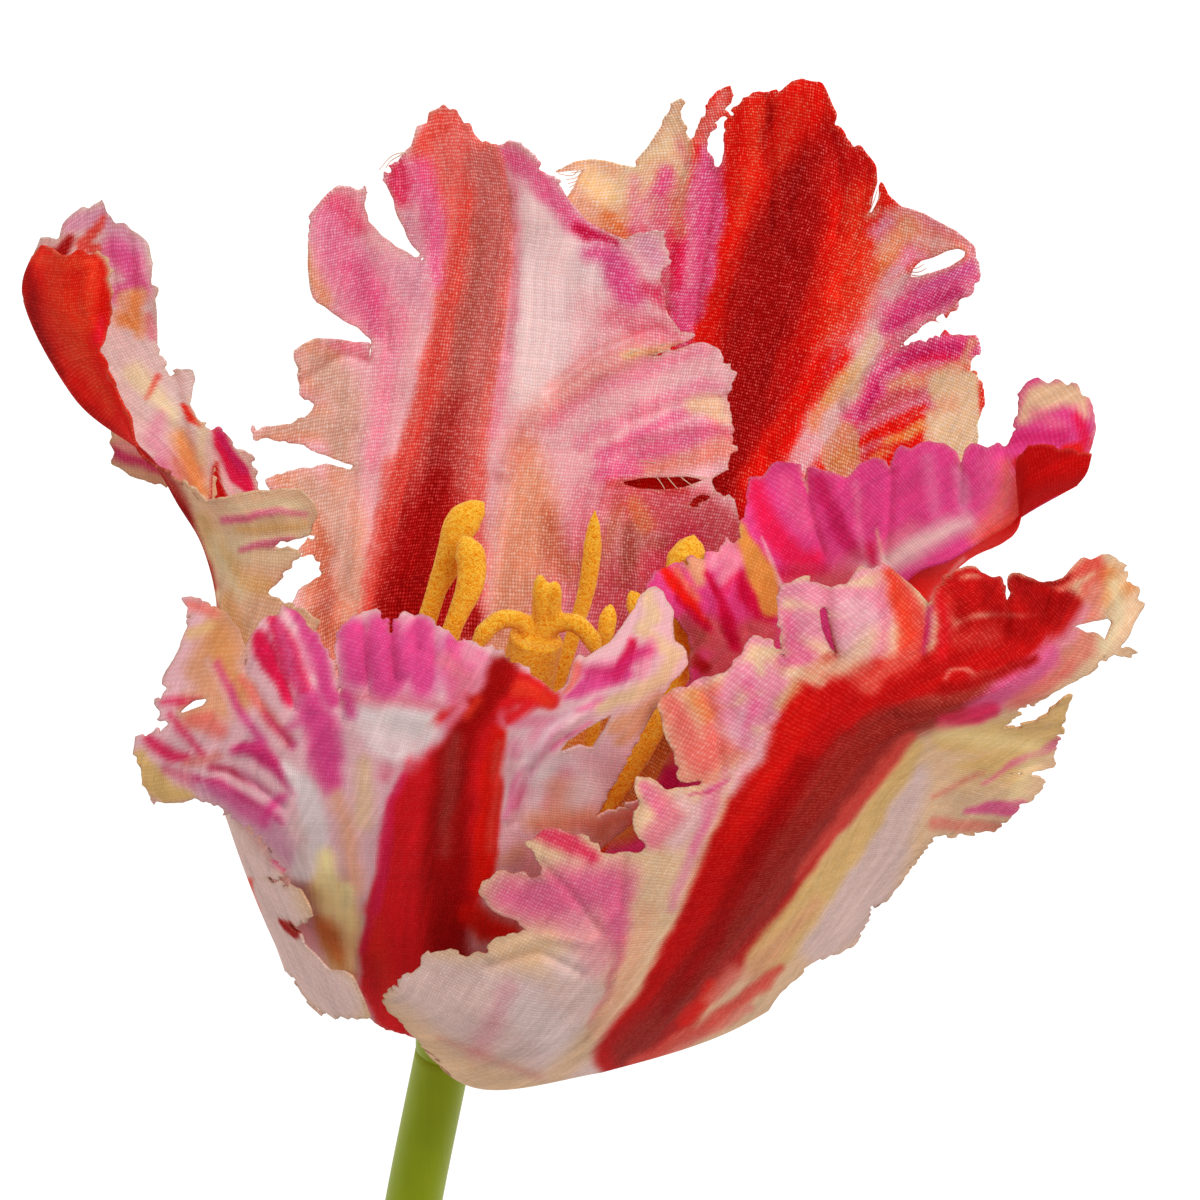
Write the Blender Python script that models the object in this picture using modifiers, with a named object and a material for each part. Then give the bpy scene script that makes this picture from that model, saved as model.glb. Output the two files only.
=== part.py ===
"""Artificial parrot tulip lying on a table: cloth petals, flocked stamens, a plastic stem.

Lengths below are millimetres in the bloom's own frame and become metres when a mesh is made.
In that frame X runs to the bloom's right, Y up the bloom and Z out of its open face.
"""
import math

import bmesh
import bpy
from mathutils import Matrix, Vector

MM = 0.001

# Driving dimensions, in millimetres and degrees.
CLOTH = 0.8
CELL = 2.7
FOOT_HALF_WIDTH = 1.6
WHORL_RADIUS = (4.4, 5.5)
WHORL_HEIGHT = (3.0, 0.5)
STEM_RADIUS = 2.85
STEM_SPACING = 8.0
STAMEN_SPACING = 3.5
LIE_TILT = 18.0
LIE_ROLL = 0.0
BLOOM_PLACE = (2.2, 73.9, 23.0)

# The bloom's middle line leaves the hub here, leaning right and out of the face.
HUB = Vector((-14.5, -40.0, 0.0))
AXIS = Vector((0.190, 0.845, 0.500)).normalized()
RIGHT = Vector((0.976, -0.219, 0.0)).normalized()
FRONT = RIGHT.cross(AXIS).normalized()

# The hub's outer side from its top to its bottom: distance along the middle line, radius.
HUB_PROFILE = ((4.5, 2.5), (3.4, 3.9), (0.0, 5.2), (-6.0, 3.4))

# The stem leaves the hub along its middle line and bends down to lie flat at its cut end.
STEM_ROUTE = (
    (-15.71, -45.36, -3.17), (-19.1, -62.4, -13.7), (-21.5, -78.8, -24.4), (-23, -94.9, -35.1),
    (-23.9, -111.1, -45.5), (-24.4, -127.4, -55.3), (-24.6, -144.4, -64.4), (-24.6, -162.2, -72.6),
    (-24.7, -181.2, -79.8),
)

# Each stamen runs from the hub to its tip; its radius runs from the first value to the second.
STAMENS = (
    ((-17.4, -34.5, 0.5), (-19.3, -13, 4), (-17, 0, 7.5), (-15.5, 5, 9), (-13, 9.3, 10), (0.7, 1.75)),
    ((-17.2, -34.8, 4.2), (-18.6, -15, 9.5), (-15.3, -3.5, 13), (-13.3, 2, 14), (-13.4, 5.5, 14), (0.7, 1.5)),
    ((-13.5, -34, -0.6), (-7.5, -18, 3), (-3.2, -4, 7.5), (-1.2, 3, 9.5), (-0.4, 8.7, 11), (0.7, 1.0)),
    ((-9.2, -35.6, 4.6), (-2.2, -20, 11.5), (0.6, -6, 17), (1, -2.5, 18.5), (1.1, -0.3, 18.5), (0.6, 0.6)),
    ((-11, -35.2, -1.2), (0.5, -21, 3.5), (7, -9, 8), (8, -2, 10.5), (8.6, 3, 11), (0.7, 1.25)),
    ((-9.4, -35.3, 1.6), (0.2, -19, 8.5), (4, -6, 14.5), (4.4, -1.2, 16), (3.4, 0.8, 16.5), (0.7, 1.0)),
)

# The pistil's body follows the middle line; its three stigma arms curl back from the top.
PISTIL_BODY = ((5.0, 2.2), (12.0, 3.2), (34.0, 2.8), (43.0, 2.6))
PISTIL_ARM_RADIUS = 1.2
PISTIL_ARMS = (
    ((-6.6, -5, 20.8), (-7.2, -2.3, 22), (-9.5, -1.3, 23), (-11.3, -2.7, 23), (-12, -4.5, 22.5)),
    ((-6.4, -5, 20.8), (-5.2, -2.7, 22.2), (-2.8, -2, 23), (-1.2, -3.4, 23), (-0.8, -5.2, 22.5)),
    ((-6.5, -5, 20.8), (-5.9, -2.5, 22), (-5.4, 0, 23.5), (-5.2, 2.3, 24.5)),
)

# Colour, roughness.
MATERIALS = {
    "petal_back_left": ((0.80, 0.42, 0.40), 0.85),
    "petal_back_right": ((0.70, 0.03, 0.03), 0.85),
    "petal_right": ((0.75, 0.10, 0.32), 0.85),
    "petal_front_right": ((0.72, 0.45, 0.30), 0.85),
    "petal_front_left": ((0.74, 0.30, 0.34), 0.85),
    "petal_left": ((0.72, 0.40, 0.26), 0.85),
    "pistil": ((0.80, 0.38, 0.03), 0.9),
    "stamen": ((0.82, 0.40, 0.03), 0.9),
    "receptacle": ((0.20, 0.28, 0.02), 0.6),
    "stem": ((0.25, 0.33, 0.01), 0.5),
}

# The petals' cages and outlines. A cage row is five points across the cloth, from the margin at
# u = -1 to the margin at u = +1, and the rows go from just above the foot to the tip. The outline
# is drawn in the bloom's X and Y: "edge" cuts the whole cloth, or only its u > 0 half where
# "back" cuts the other, folded one. Azimuth is the foot's place around the hub, 0 at the front.
PETALS = {
    "petal_back_left": {
        "azimuth": 205,
        "whorl": 0,
        "crease": 0.0,
        "rows": [
            [(-5.6, -25.4, -8), (-10.5, -23, -11), (-16, -21.8, -10), (-21, -23, -6), (-24.5, -25.8, -1)],
            [(9, -4, -10), (-4, -3.5, -13), (-19.2, -3, -13), (-25, -4.5, -11), (-31, -7.5, -6)],
            [(16.5, 5.5, -9), (0, 8, -12), (-17, 8.5, -14), (-25.5, 7, -12.5), (-36, 4, -6)],
            [(17, 17, -9), (1, 18.5, -10), (-15, 20, -12), (-24.5, 19.5, -11), (-36.5, 17.5, -4)],
            [(16, 28, -6), (0, 30, -7), (-13, 31.5, -8.5), (-22.5, 31.5, -7), (-32.5, 28.5, 0)],
            [(9, 38.5, -3), (-3, 40, -3), (-12, 41, -4), (-20, 40.5, -2), (-31, 38.5, 4)],
            [(0, 45, 0), (-6.5, 47.5, 1), (-13.8, 51, 1), (-18, 50.5, 3), (-25, 45, 6)],
        ],
        "edge": [
            (-18, -36), (-21, -33), (-27, -22), (-30.5, -12), (-31.5, -4), (-31.2, -0.5), (-30, 1),
            (-28.2, 2.5), (-28, 4), (-30, 4.5), (-30, 5.2), (-28.8, 6.2), (-30, 8), (-33, 10.8),
            (-33.5, 12), (-31, 13), (-27.5, 13.6), (-25, 13), (-24.7, 13.6), (-27, 14.5), (-31, 16),
            (-34.8, 16.4), (-35, 17.2), (-31.2, 17.5), (-29.7, 18.4), (-28.4, 19.7), (-29, 20.3),
            (-29.8, 20.2), (-30.3, 23), (-30.7, 25), (-29.8, 25.7), (-28.5, 26.1), (-25, 25.9),
            (-23.3, 25.9), (-23.1, 23.5), (-22.9, 26.2), (-24.5, 27.5), (-27.5, 29.5), (-28.8, 30.2),
            (-29.2, 33), (-29.3, 36.5), (-29, 38.5), (-28, 40), (-26.2, 41.4), (-24.5, 41),
            (-23.3, 41.2), (-23.7, 40), (-23.4, 38), (-21.5, 36.2), (-19.5, 34.8), (-17.8, 34.2),
            (-19, 36), (-20.2, 38.5), (-21, 41), (-21.6, 42.2), (-20.8, 43.8), (-19.5, 44.9),
            (-18.7, 45.5), (-18.3, 47.5), (-17.3, 47.8), (-17.1, 48.9), (-15.7, 49.6), (-14.8, 49.3),
            (-13.7, 48.2), (-12.8, 47), (-11.7, 45.7), (-10.5, 45.6), (-9.3, 45.9), (-8, 45.7),
            (-7, 44.8), (-6, 43.3), (-4.5, 42.5), (-3.3, 40.3), (-2, 39), (-1.2, 37.9), (1, 36.7),
            (2.5, 36), (4, 36.8), (5.5, 37.2), (6.3, 36.8), (6.4, 35.2), (6.8, 34.2), (5.8, 33.2),
            (6.5, 30), (6.8, 28.5), (8, 26.8), (9.5, 26.7), (8.5, 26), (5, 24.6), (7, 24.9), (9, 25.6),
            (10.5, 25.7), (12, 25), (12.5, 24), (13.5, 23.2), (13.2, 22), (13.3, 21.2), (12.3, 20.3),
            (13, 19.7), (13, 18.5), (13.7, 17.2), (13.3, 16.2), (13.7, 15.3), (13, 14.2), (12.8, 13.3),
            (11.5, 12.6), (10.8, 11.8), (11.2, 11.2), (10, 10.5), (8, 9.3), (10, 10.1), (11.5, 10.8),
            (12.8, 10.5), (13.3, 10), (14, 7.5), (14.8, 5.5), (14.5, 3), (13, -1), (10, -6), (5, -14),
            (-2, -24), (-9, -32), (-13, -36.5),
        ],
        "holes": [
            [(1.8, 11.8), (5, 12.1), (9, 12.2), (7, 11.4), (4, 11.3)],
        ],
    },
    "petal_back_right": {
        "azimuth": 160,
        "whorl": 1,
        "crease": 0.0,
        "rows": [
            [(6, -31.4, -3), (2.3, -27.4, -9), (-3.2, -24.1, -13), (-10.4, -21.8, -14.5), (-16, -20.9, -14)],
            [(21.9, -18.6, -4), (15.6, -11.9, -12), (6.2, -6.3, -16), (-6, -3, -17.5), (-19, -1, -15)],
            [(32, -4, -3), (24, 3.5, -13), (11.8, 10, -17), (-1, 11.5, -17), (-18, 12, -17.2)],
            [(40, 12, -4), (27.5, 17, -13), (14, 21, -16.6), (1, 22, -16), (-16, 21.5, -16.6)],
            [(41, 23, -4), (29.5, 28, -11), (16.8, 31, -12.5), (6, 32, -13), (-12, 31.5, -12.5)],
            [(41, 36, -3), (30.5, 38.5, -6), (20.3, 42, -7.5), (11, 43.5, -7.5), (-8, 42, -8)],
            [(35, 48.5, -1), (28.5, 50.5, 0), (21.2, 54, 0), (13.5, 54, -1), (0, 53, -4)],
        ],
        "edge": [
            (-9.5, -37.5), (0, -31), (10, -25), (19, -17), (26, -8), (31, 0), (36, 6), (38.5, 12),
            (37.7, 15.5), (38, 18), (38.4, 19.5), (38.3, 21), (37.8, 23), (37.2, 22.3), (36.7, 23),
            (37.5, 24.3), (38.1, 25), (37.8, 26.6), (34.7, 26.8), (31.5, 25.7), (29.3, 24.7),
            (28.4, 24.1), (29.5, 25.2), (31.3, 26.9), (32.5, 27.8), (35.5, 29.1), (36.5, 30),
            (37.5, 31), (38.2, 33.2), (37.7, 34.5), (37.7, 35.5), (35.5, 37), (32.5, 38.7),
            (31.8, 39.2), (30.3, 39.5), (28.4, 41.4), (27.9, 41), (27.6, 39.7), (26.8, 38.7),
            (27.2, 40), (27.7, 42), (27.6, 43.5), (27, 44.5), (26, 45.3), (24.5, 45.9), (24.4, 47),
            (24, 47.5), (23.3, 47.2), (23.7, 48.8), (23.2, 50), (22.2, 51.9), (20.3, 52.3), (19.3, 52),
            (17.6, 50.5), (17.7, 51.2), (16.5, 50.7), (15.7, 51), (14.5, 50.4), (12.7, 48),
            (12.7, 46.5), (12.3, 44), (11.7, 43.3), (11.2, 44.3), (10.6, 45), (10.7, 46.2),
            (12.2, 48.8), (13, 50), (13.2, 51), (13, 51.6), (12.2, 51.2), (11.2, 50.2), (10.4, 49),
            (9.5, 46.7), (9, 46), (8.4, 48.1), (7.9, 48.5), (8.1, 49.8), (7.9, 50.3), (6.8, 48.7),
            (6.3, 47.7), (5.5, 46.3), (4.5, 45.2), (3.5, 44.1), (4, 42.9), (3.2, 43.5), (1.2, 43.8),
            (-0.8, 44.3), (-2.5, 44.1), (-3.7, 43.5), (-4.6, 43), (-1.5, 43.4), (-3.2, 40.5),
            (-6.5, 36), (-10, 31), (-13.5, 26), (-15.5, 18), (-17, 8), (-17.5, -3), (-17.5, -14),
            (-17, -24), (-15, -33), (-13.8, -37.5),
        ],
        "holes": [
            [(31.2, 32.5), (32.5, 33.8), (34.5, 35), (36, 35.3), (36.5, 34.8), (35.5, 34), (33.5, 33),
             (32, 32.3)],
        ],
    },
    "petal_right": {
        "azimuth": 97,
        "whorl": 0,
        "crease": 1.0,
        "rows": [
            [(-1, -39, 13), (2, -36.8, 8), (3.1, -34.1, 3), (2, -31, -2), (-1.2, -27.8, -5)],
            [(12, -33, 20), (16, -29, 15), (17.7, -23.3, 10), (15.8, -17.9, 3), (7.5, -13.5, 5)],
            [(25, -21, 20), (26.5, -16.5, 19), (24.8, -11.4, 17), (18.5, -5.1, 10), (3.6, -0.2, 19)],
            [(32.2, -1.5, 14), (31.7, -0.5, 18), (30, 1.2, 22), (24, 5.5, 13), (12.5, 12, 5)],
            [(36.4, 3.8, 16), (36.2, 4.1, 21), (35.3, 4.2, 27), (30.5, 10, 18), (24, 17, 12)],
            [(41.6, 7.2, 27.5), (41.4, 7.3, 29), (40.8, 7.6, 30), (36, 12.5, 22), (31.5, 19, 16)],
            [(42, 14.8, 37), (42.8, 11.5, 36), (43.5, 9.3, 32), (41, 15, 26), (39, 20.5, 22)],
            [(49, 14.5, 37), (48.5, 12.8, 36), (47.5, 11.5, 34), (50, 20, 30), (45, 24.5, 27)],
        ],
        "back": [],
        "edge": [
            (-11, -38), (-4, -29), (2, -20), (7.5, -12), (9, -8), (8.9, -6), (9.3, -5.2), (8.8, -3.4),
            (7.2, -1.3), (5.2, -0.8), (4.2, -0.1), (4.7, 1.6), (5.3, 2.6), (6, 3.3), (7.5, 3.6),
            (9, 3.1), (9.1, 4), (10.2, 4), (10.5, 4.8), (11.1, 4.9), (11.7, 4.6), (12.3, 5.5),
            (12.8, 5.8), (13.4, 5.4), (14.2, 7), (14.8, 10), (15.1, 12.2), (16.5, 12.3), (17.2, 13.7),
            (19, 13.8), (20, 13.5), (20.6, 11.5), (20.9, 13.3), (23.2, 12.6), (24.8, 12.2), (26, 13.4),
            (27.5, 14.3), (28.5, 13.8), (29.1, 12.6), (29.6, 14.8), (30.2, 15.4), (31.2, 15),
            (33, 15.8), (34.5, 15.5), (35.5, 14.8), (36.1, 12.8), (36.6, 14.8), (37.2, 15.6),
            (38.8, 15), (39.8, 15.6), (40.6, 15), (41.3, 16), (41.7, 18), (42, 20.5), (42.8, 21.7),
            (43.7, 22.2), (44.8, 21.4), (45.7, 22.2), (46.7, 21.3), (47.4, 21.9), (48, 20.5),
            (48.8, 20.2), (49.2, 18.5), (49.2, 17), (48.5, 14.5), (50, 9), (46, 6), (42, 4), (36, 0),
            (30, -6), (27, -16), (18, -28), (6, -37), (-7, -41),
        ],
        "holes": [],
    },
    "petal_front_right": {
        "azimuth": 47,
        "whorl": 1,
        "crease": 0.6,
        "rows": [
            [(-15, -45, 14), (-11, -46.2, 13), (-6, -45, 10), (-1.5, -42.2, 6), (1, -39, 1)],
            [(-20.2, -43, 24), (-12, -48.6, 25), (0.5, -47, 22), (11.5, -43.7, 13), (19.5, -39, 2)],
            [(-24, -36, 34), (-8, -43, 38), (8, -40, 36), (20, -35.5, 24), (29, -30.5, 10)],
            [(-17, -27, 43), (0, -33.5, 46), (14.5, -31.5, 44), (25, -27, 33), (36, -25, 20)],
            [(-8, -17, 48), (8, -23, 51), (20.5, -23, 51), (30, -19, 40), (45, -22, 26)],
            [(3, -4, 46), (18, -12.5, 52), (26.5, -15, 53), (36, -13.5, 44), (48.5, -15, 31)],
            [(16, 4.5, 44), (27, -4, 51), (34.5, -10.8, 54), (41.5, -10.5, 46), (49, -12, 36)],
            [(31, 5, 46), (37.5, -1, 50), (42, -7, 52), (46, -7, 46), (53, -8, 37)],
            [(45, 6, 44), (46.5, 5, 45), (48.7, 4, 46), (53, 5, 42), (56, -4, 37)],
        ],
        "edge": [
            (-21.5, -39.6), (-20, -38.5), (-19.6, -37.5), (-17.8, -36.5), (-17.6, -35.5), (-16.4, -35),
            (-11.2, -35.5), (-10.9, -34), (-8.8, -33.6), (-7.2, -32.6), (-10, -31.3), (-11.5, -29.5),
            (-12, -29), (-11.4, -28), (-10, -26.8), (-8.8, -27.2), (-5.3, -28), (-6.2, -25.5),
            (-7, -24), (-5.5, -23.2), (-4, -22.8), (-1, -23.8), (0.7, -25.5), (2.5, -25), (4, -25.2),
            (4.5, -24.5), (3.2, -21.8), (4, -20), (3.4, -18.8), (3.7, -17.6), (5, -17.8), (6.8, -19),
            (9, -18.4), (13.5, -17.4), (10, -18.2), (8.2, -18.2), (6.8, -14), (6, -10.8), (6.4, -9.8),
            (8, -8.8), (9, -8.5), (10, -7.7), (12, -7.2), (13.8, -6), (14.2, -5), (15, -3.7),
            (16, -3.6), (17.2, -4.2), (18.4, -5.8), (17.8, -3), (17.8, 0.8), (19.5, 1.8), (20.3, 2.2),
            (22, 1.5), (22.6, 1.2), (23.3, 1.5), (24.5, 1.4), (25.8, 3.2), (27, 2.7), (28.2, 3.5),
            (28.8, 3.2), (30.5, 1.7), (32.4, 0), (32.4, -5.5), (33.3, -1), (34.5, 1.2), (36.5, 2.8),
            (37.2, 3.1), (38, 2.5), (39, 2.2), (40, 2.4), (40.4, -1), (40.7, 2.3), (41.8, 2.6),
            (43.5, 1.7), (45, 1.8), (46, 2.2), (47.8, 4), (49, 4.5), (50.5, 4.5), (52.2, 3.6),
            (52.1, 2), (53.5, 0.8), (53.2, 0), (54, -0.5), (52.8, -3), (52, -4.5), (53.7, -5.2),
            (50, -5.8), (49, -6.8), (47, -8), (45, -9.2), (41.8, -11), (39.8, -12.7), (42, -12.6),
            (44, -11.8), (45.2, -10.6), (47.3, -8.8), (46.3, -11), (46, -12.5), (45.2, -15),
            (45, -16.5), (44, -17), (40, -17.3), (43.8, -17.5), (44.2, -18.4), (44, -19.3), (43, -20),
            (41.8, -20.3), (41.4, -21.2), (40.5, -22), (38.5, -21.9), (40.7, -22.7), (40, -23.2),
            (37.5, -23.2), (33.2, -23.3), (33, -24.2), (32, -25), (31.2, -26.2), (29.3, -28.5),
            (26.8, -30.5), (26.2, -33), (25.5, -34.5), (24.5, -35), (21, -36.2), (20, -37), (19, -38.3),
            (17.7, -39.3), (15, -44), (5, -50), (-10, -52), (-15, -48.5), (-15, -47.3), (-17.5, -44.6),
            (-19.5, -42.5), (-21.5, -40.2),
        ],
        "holes": [
            [(21.8, -1), (22.4, -0.5), (23.2, -3.5), (23.6, -5.5), (22.8, -4.8), (22, -2.8)],
            [(47, -2.6), (50.5, -1.8), (51, -2.2), (50.3, -4), (49.3, -3.2), (48.5, -3.3)],
        ],
    },
    "petal_front_left": {
        "azimuth": -15,
        "whorl": 0,
        "crease": 0.0,
        "rows": [
            [(-27.5, -39, 6), (-24, -43.3, 8.5), (-18.5, -44.6, 12), (-13.5, -44, 12), (-9, -41.5, 9)],
            [(-31.8, -33, 10), (-26.5, -35.3, 18), (-19.2, -36.2, 28), (-12.5, -36.5, 28), (-6, -34, 23)],
            [(-36, -25.5, 26), (-28, -26, 33), (-17.5, -26, 41), (-8.8, -26.5, 40), (-1, -26, 34)],
            [(-47, -20, 26), (-32, -18, 38), (-15, -19, 48), (-7, -18.5, 46), (5, -20, 40)],
            [(-50, -12, 28), (-31, -10, 41), (-13.8, -13.5, 52), (-4.5, -13.5, 50), (8, -14, 43)],
            [(-49, -2, 28), (-29, -2.5, 40), (-10.5, -9, 53), (-1, -8, 50), (10, -5, 43)],
            [(-42, 4, 28), (-23, 1.5, 37), (-8.2, -4, 50), (0, 1, 46), (8, 4, 41)],
        ],
        "edge": [
            (-18.5, -43.7), (-20.5, -43.3), (-22.4, -42), (-25, -40.5), (-28, -38.5), (-29.6, -36),
            (-29.4, -33), (-28.2, -31), (-28, -29), (-29.3, -27), (-31.4, -25.8), (-33.5, -24),
            (-35, -22.5), (-38, -20.6), (-40.3, -19.5), (-41.5, -20.2), (-44.2, -20), (-45, -19.3),
            (-45.7, -17.5), (-45.7, -16.5), (-46.5, -15), (-46.1, -14), (-43.8, -12.8), (-43.2, -12.2),
            (-44.2, -11.9), (-43.7, -11.2), (-44.2, -10.2), (-42.8, -8.8), (-43.6, -8.3), (-43.3, -7.2),
            (-41.8, -4.8), (-41, -2.2), (-40.9, -1.3), (-41.7, 0.2), (-40, 0.1), (-37.5, -0.9),
            (-36, -3), (-35.3, -6.5), (-34.9, -4.5), (-33.8, -2.2), (-33, -1.7), (-31.9, -1.7),
            (-31.7, -0.6), (-30.5, -1.2), (-28.2, -3.4), (-26.7, -6), (-25.7, -10.5), (-25.9, -7),
            (-26.4, -4.5), (-26, -3), (-24.5, -1.7), (-23.8, -1.7), (-22.5, -0.8), (-21.2, -2.2),
            (-20.9, -4), (-20.5, -2.5), (-19.5, -1.3), (-18.5, -1.8), (-17.5, -1.6), (-16.5, -2.2),
            (-15.2, -3.4), (-14, -4.2), (-13, -4), (-11.5, -5), (-10.7, -4.8), (-9.2, -5.7),
            (-7.3, -6.8), (-6.5, -7.7), (-4.4, -9.2), (-3.3, -8.8), (-2.8, -6.5), (-2.2, -5.5),
            (-1.5, -6), (0, -5), (1.2, -4), (3.2, -1.5), (4, 0), (4.8, 1), (5.5, 1.2), (6.2, 0.8),
            (7.2, -1.2), (7, -2.5), (7.2, -4), (8.6, -5.2), (8.5, -6.5), (6.5, -8.8), (5.5, -10.5),
            (3.2, -14.8), (1.2, -18.5), (-0.8, -22), (0.5, -21.2), (4, -20), (5, -22), (4, -27),
            (0, -32), (-6, -37.5), (-12, -42),
        ],
        "holes": [
            [(-4.1, -15.2), (-3.2, -14), (-1.5, -12.8), (1.2, -11.3), (0.5, -12.8), (-0.8, -14.8),
             (-2, -14.4)],
            [(-42, -11.4), (-41.7, -10.9), (-40.5, -10), (-39, -9.8), (-39.5, -10.5)],
        ],
    },
    "petal_left": {
        "azimuth": -95,
        "whorl": 1,
        "crease": 1.0,
        "rows": [
            [(-22, -31.7, -5), (-25, -33.5, -2), (-28.5, -36.8, 2), (-29, -40.6, 7), (-23, -44, 13)],
            [(-28, -19, -7), (-32.5, -23, -1), (-34.3, -29, 8), (-31.3, -36, 19), (-22.5, -43, 27)],
            [(-31, -8, -5), (-35, -11, 1), (-37.3, -20, 10), (-35.8, -25, 17), (-27.5, -31, 34)],
            [(-32, -4, -2), (-36, -5, 4), (-39, -10, 11), (-38.5, -16, 16), (-31, -24.3, 16)],
            [(-30, 4, 4), (-34.5, 4, 9), (-38.2, -1.5, 14), (-37, -5, 19), (-27, -9, 24)],
            [(-30, 5, 10), (-34.5, 5, 14), (-39.5, 5, 19), (-35.5, 4, 24), (-27, 3, 28)],
            [(-31, 12, 16), (-37.5, 12, 20), (-42, 9.5, 24), (-36, 9, 29), (-27, 11, 32)],
            [(-33, 18.5, 22), (-40.5, 17, 25), (-45.2, 14.4, 28), (-44.8, 13.8, 31), (-44, 13.2, 32)],
            [(-39, 25.5, 26), (-46, 23, 27), (-52.2, 20, 29), (-49.5, 22, 34), (-47, 20.5, 35)],
            [(-42, 33, 28), (-49, 31, 28), (-57.4, 29.8, 30), (-53, 29, 36), (-47.8, 30, 37)],
            [(-44, 38.5, 30), (-50, 42, 30), (-56, 35.8, 32), (-53, 36, 37), (-48.5, 36, 37)],
        ],
        "back": [
            (-25, -26), (-31, -15), (-33.8, -8), (-34, 2), (-33.8, 6), (-32.5, 8), (-34.5, 11),
            (-34.7, 14.5), (-36.3, 15), (-37.8, 17.3), (-38.8, 16.8), (-40, 17.6), (-41, 19.5),
            (-40.6, 22), (-40.8, 23), (-42.2, 22.9), (-44, 21.2), (-43, 22.2), (-44.2, 25), (-44.4, 29),
            (-44.2, 31), (-44.8, 31.5), (-44.7, 33), (-45.2, 35.5), (-46.5, 36.8), (-47.5, 37.7),
            (-48.5, 37.5), (-49.7, 39.8), (-51, 38.9), (-51.6, 39.3), (-53.5, 37.5), (-53.8, 36),
            (-60, 36), (-60, 26), (-54, 18), (-44, 6), (-41, -10), (-40, -24), (-32, -38), (-24, -40),
        ],
        "edge": [
            (-15, -40), (-22.8, -42.5), (-22.2, -42), (-21.7, -40.3), (-22.2, -39.7), (-23, -38.9),
            (-24.5, -37.8), (-25.5, -37.1), (-27, -37), (-28.2, -35.6), (-29.5, -34.5), (-30, -33.4),
            (-31.7, -32), (-30, -32.5), (-28.9, -31.5), (-29.2, -30.5), (-30, -28.9), (-33.8, -27.8),
            (-31, -27.6), (-31, -26.5), (-32.5, -24.5), (-33.8, -22.5), (-34, -14), (-30, -8),
            (-28, -2), (-32.2, 0), (-33.2, 0.7), (-32.2, 2), (-31, 3.2), (-30, 4.2), (-30, 5),
            (-33.8, 5.2), (-31.5, 6), (-29, 6.5), (-28.8, 6.3), (-28.3, 8.5), (-28.8, 9.7), (-30, 11),
            (-34.5, 10.8), (-36, 10.5), (-39, 9.7), (-42, 11.8), (-43.5, 13.2), (-45, 14.7),
            (-46.2, 17), (-47.5, 19.5), (-49.2, 23.5), (-50, 24.8), (-49.3, 26), (-48.8, 28.5),
            (-48.7, 31), (-49, 34.2), (-50.5, 35), (-52.5, 34.5), (-53.8, 33.8), (-55, 34.6),
            (-55.8, 35.3), (-56.7, 34.3), (-60, 33), (-60, 26), (-54, 18), (-44, 6), (-41, -10),
            (-40, -24), (-35, -34), (-30.4, -37.8), (-29.8, -39.2), (-28.7, -40.4), (-27.5, -41.2),
            (-24.2, -41.8),
        ],
        "holes": [],
    },
    "petal_left_lobe": {
        "azimuth": None,
        "whorl": 1,
        "crease": 0.0,
        "rows": [
            [(-37, 8, 20.3), (-37.3, 9.8, 20.6), (-37.6, 11.5, 21), (-38, 13.2, 21.6), (-38.5, 15, 22.3)],
            [(-41.5, 9, 20.8), (-42, 10.9, 21.2), (-42.5, 12.7, 21.6), (-43.2, 14.5, 22.2), (-44, 16.3, 23)],
            [(-45, 9.8, 21.5), (-45.2, 11.9, 22), (-45.4, 13.8, 22.5), (-45.8, 15.7, 23),
             (-46.3, 17.6, 23.7)],
            [(-50, 10.5, 22.5), (-50, 12.5, 23), (-50, 14.3, 23.5), (-50, 16.2, 24), (-50, 18.3, 24.5)],
        ],
        "edge": [
            (-38.6, 9.8), (-41.8, 10.8), (-43.5, 11.6), (-45, 12), (-47, 12.5), (-48.2, 13),
            (-48.9, 14.3), (-48.7, 15), (-48.9, 16), (-48.7, 17.2), (-47, 17), (-44, 15.2), (-42, 14.5),
            (-38.6, 13.6),
        ],
        "holes": [],
    },
}


def foot_row(azimuth, whorl):
    """Five points across the narrow foot that joins a petal to the hub."""
    a = math.radians(azimuth)
    out = math.cos(a) * FRONT + math.sin(a) * RIGHT
    side = math.cos(a) * RIGHT - math.sin(a) * FRONT
    centre = HUB + AXIS * WHORL_HEIGHT[whorl] + out * WHORL_RADIUS[whorl]
    return [centre + side * (FOOT_HALF_WIDTH * u) for u in (-1, -0.5, 0, 0.5, 1)]


def blend(a, b, c, d, x):
    """The smooth curve from b to c, at a fraction x of the way."""
    square = 2 * a - 5 * b + 4 * c - d
    cube = 3 * b - a - 3 * c + d
    return 0.5 * (2 * b + (c - a) * x + square * x ** 2 + cube * x ** 3)


def through(points, x):
    """A point at x on the curve through points, whose first and last only set its ends' slopes."""
    x = min(max(x, -0.2), len(points) - 2.8)
    i = min(max(int(x), 0), len(points) - 4)
    return blend(points[i], points[i + 1], points[i + 2], points[i + 3], x - i)


def extended(points):
    """The points with one more at each end, in line with the last two."""
    return [2 * points[0] - points[1]] + points + [2 * points[-1] - points[-2]]


def inside(outline, x, y):
    """Distance from a closed outline, positive inside it."""
    nearest = math.inf
    odd = False
    for (x0, y0), (x1, y1) in zip(outline, outline[1:] + outline[:1]):
        dx, dy = x1 - x0, y1 - y0
        k = ((x - x0) * dx + (y - y0) * dy) / (dx * dx + dy * dy)
        k = min(max(k, 0.0), 1.0)
        nearest = min(nearest, math.hypot(x - x0 - k * dx, y - y0 - k * dy))
        if (y0 > y) != (y1 > y) and x < dx * (y - y0) / dy + x0:
            odd = not odd
    return nearest if odd else -nearest


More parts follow.
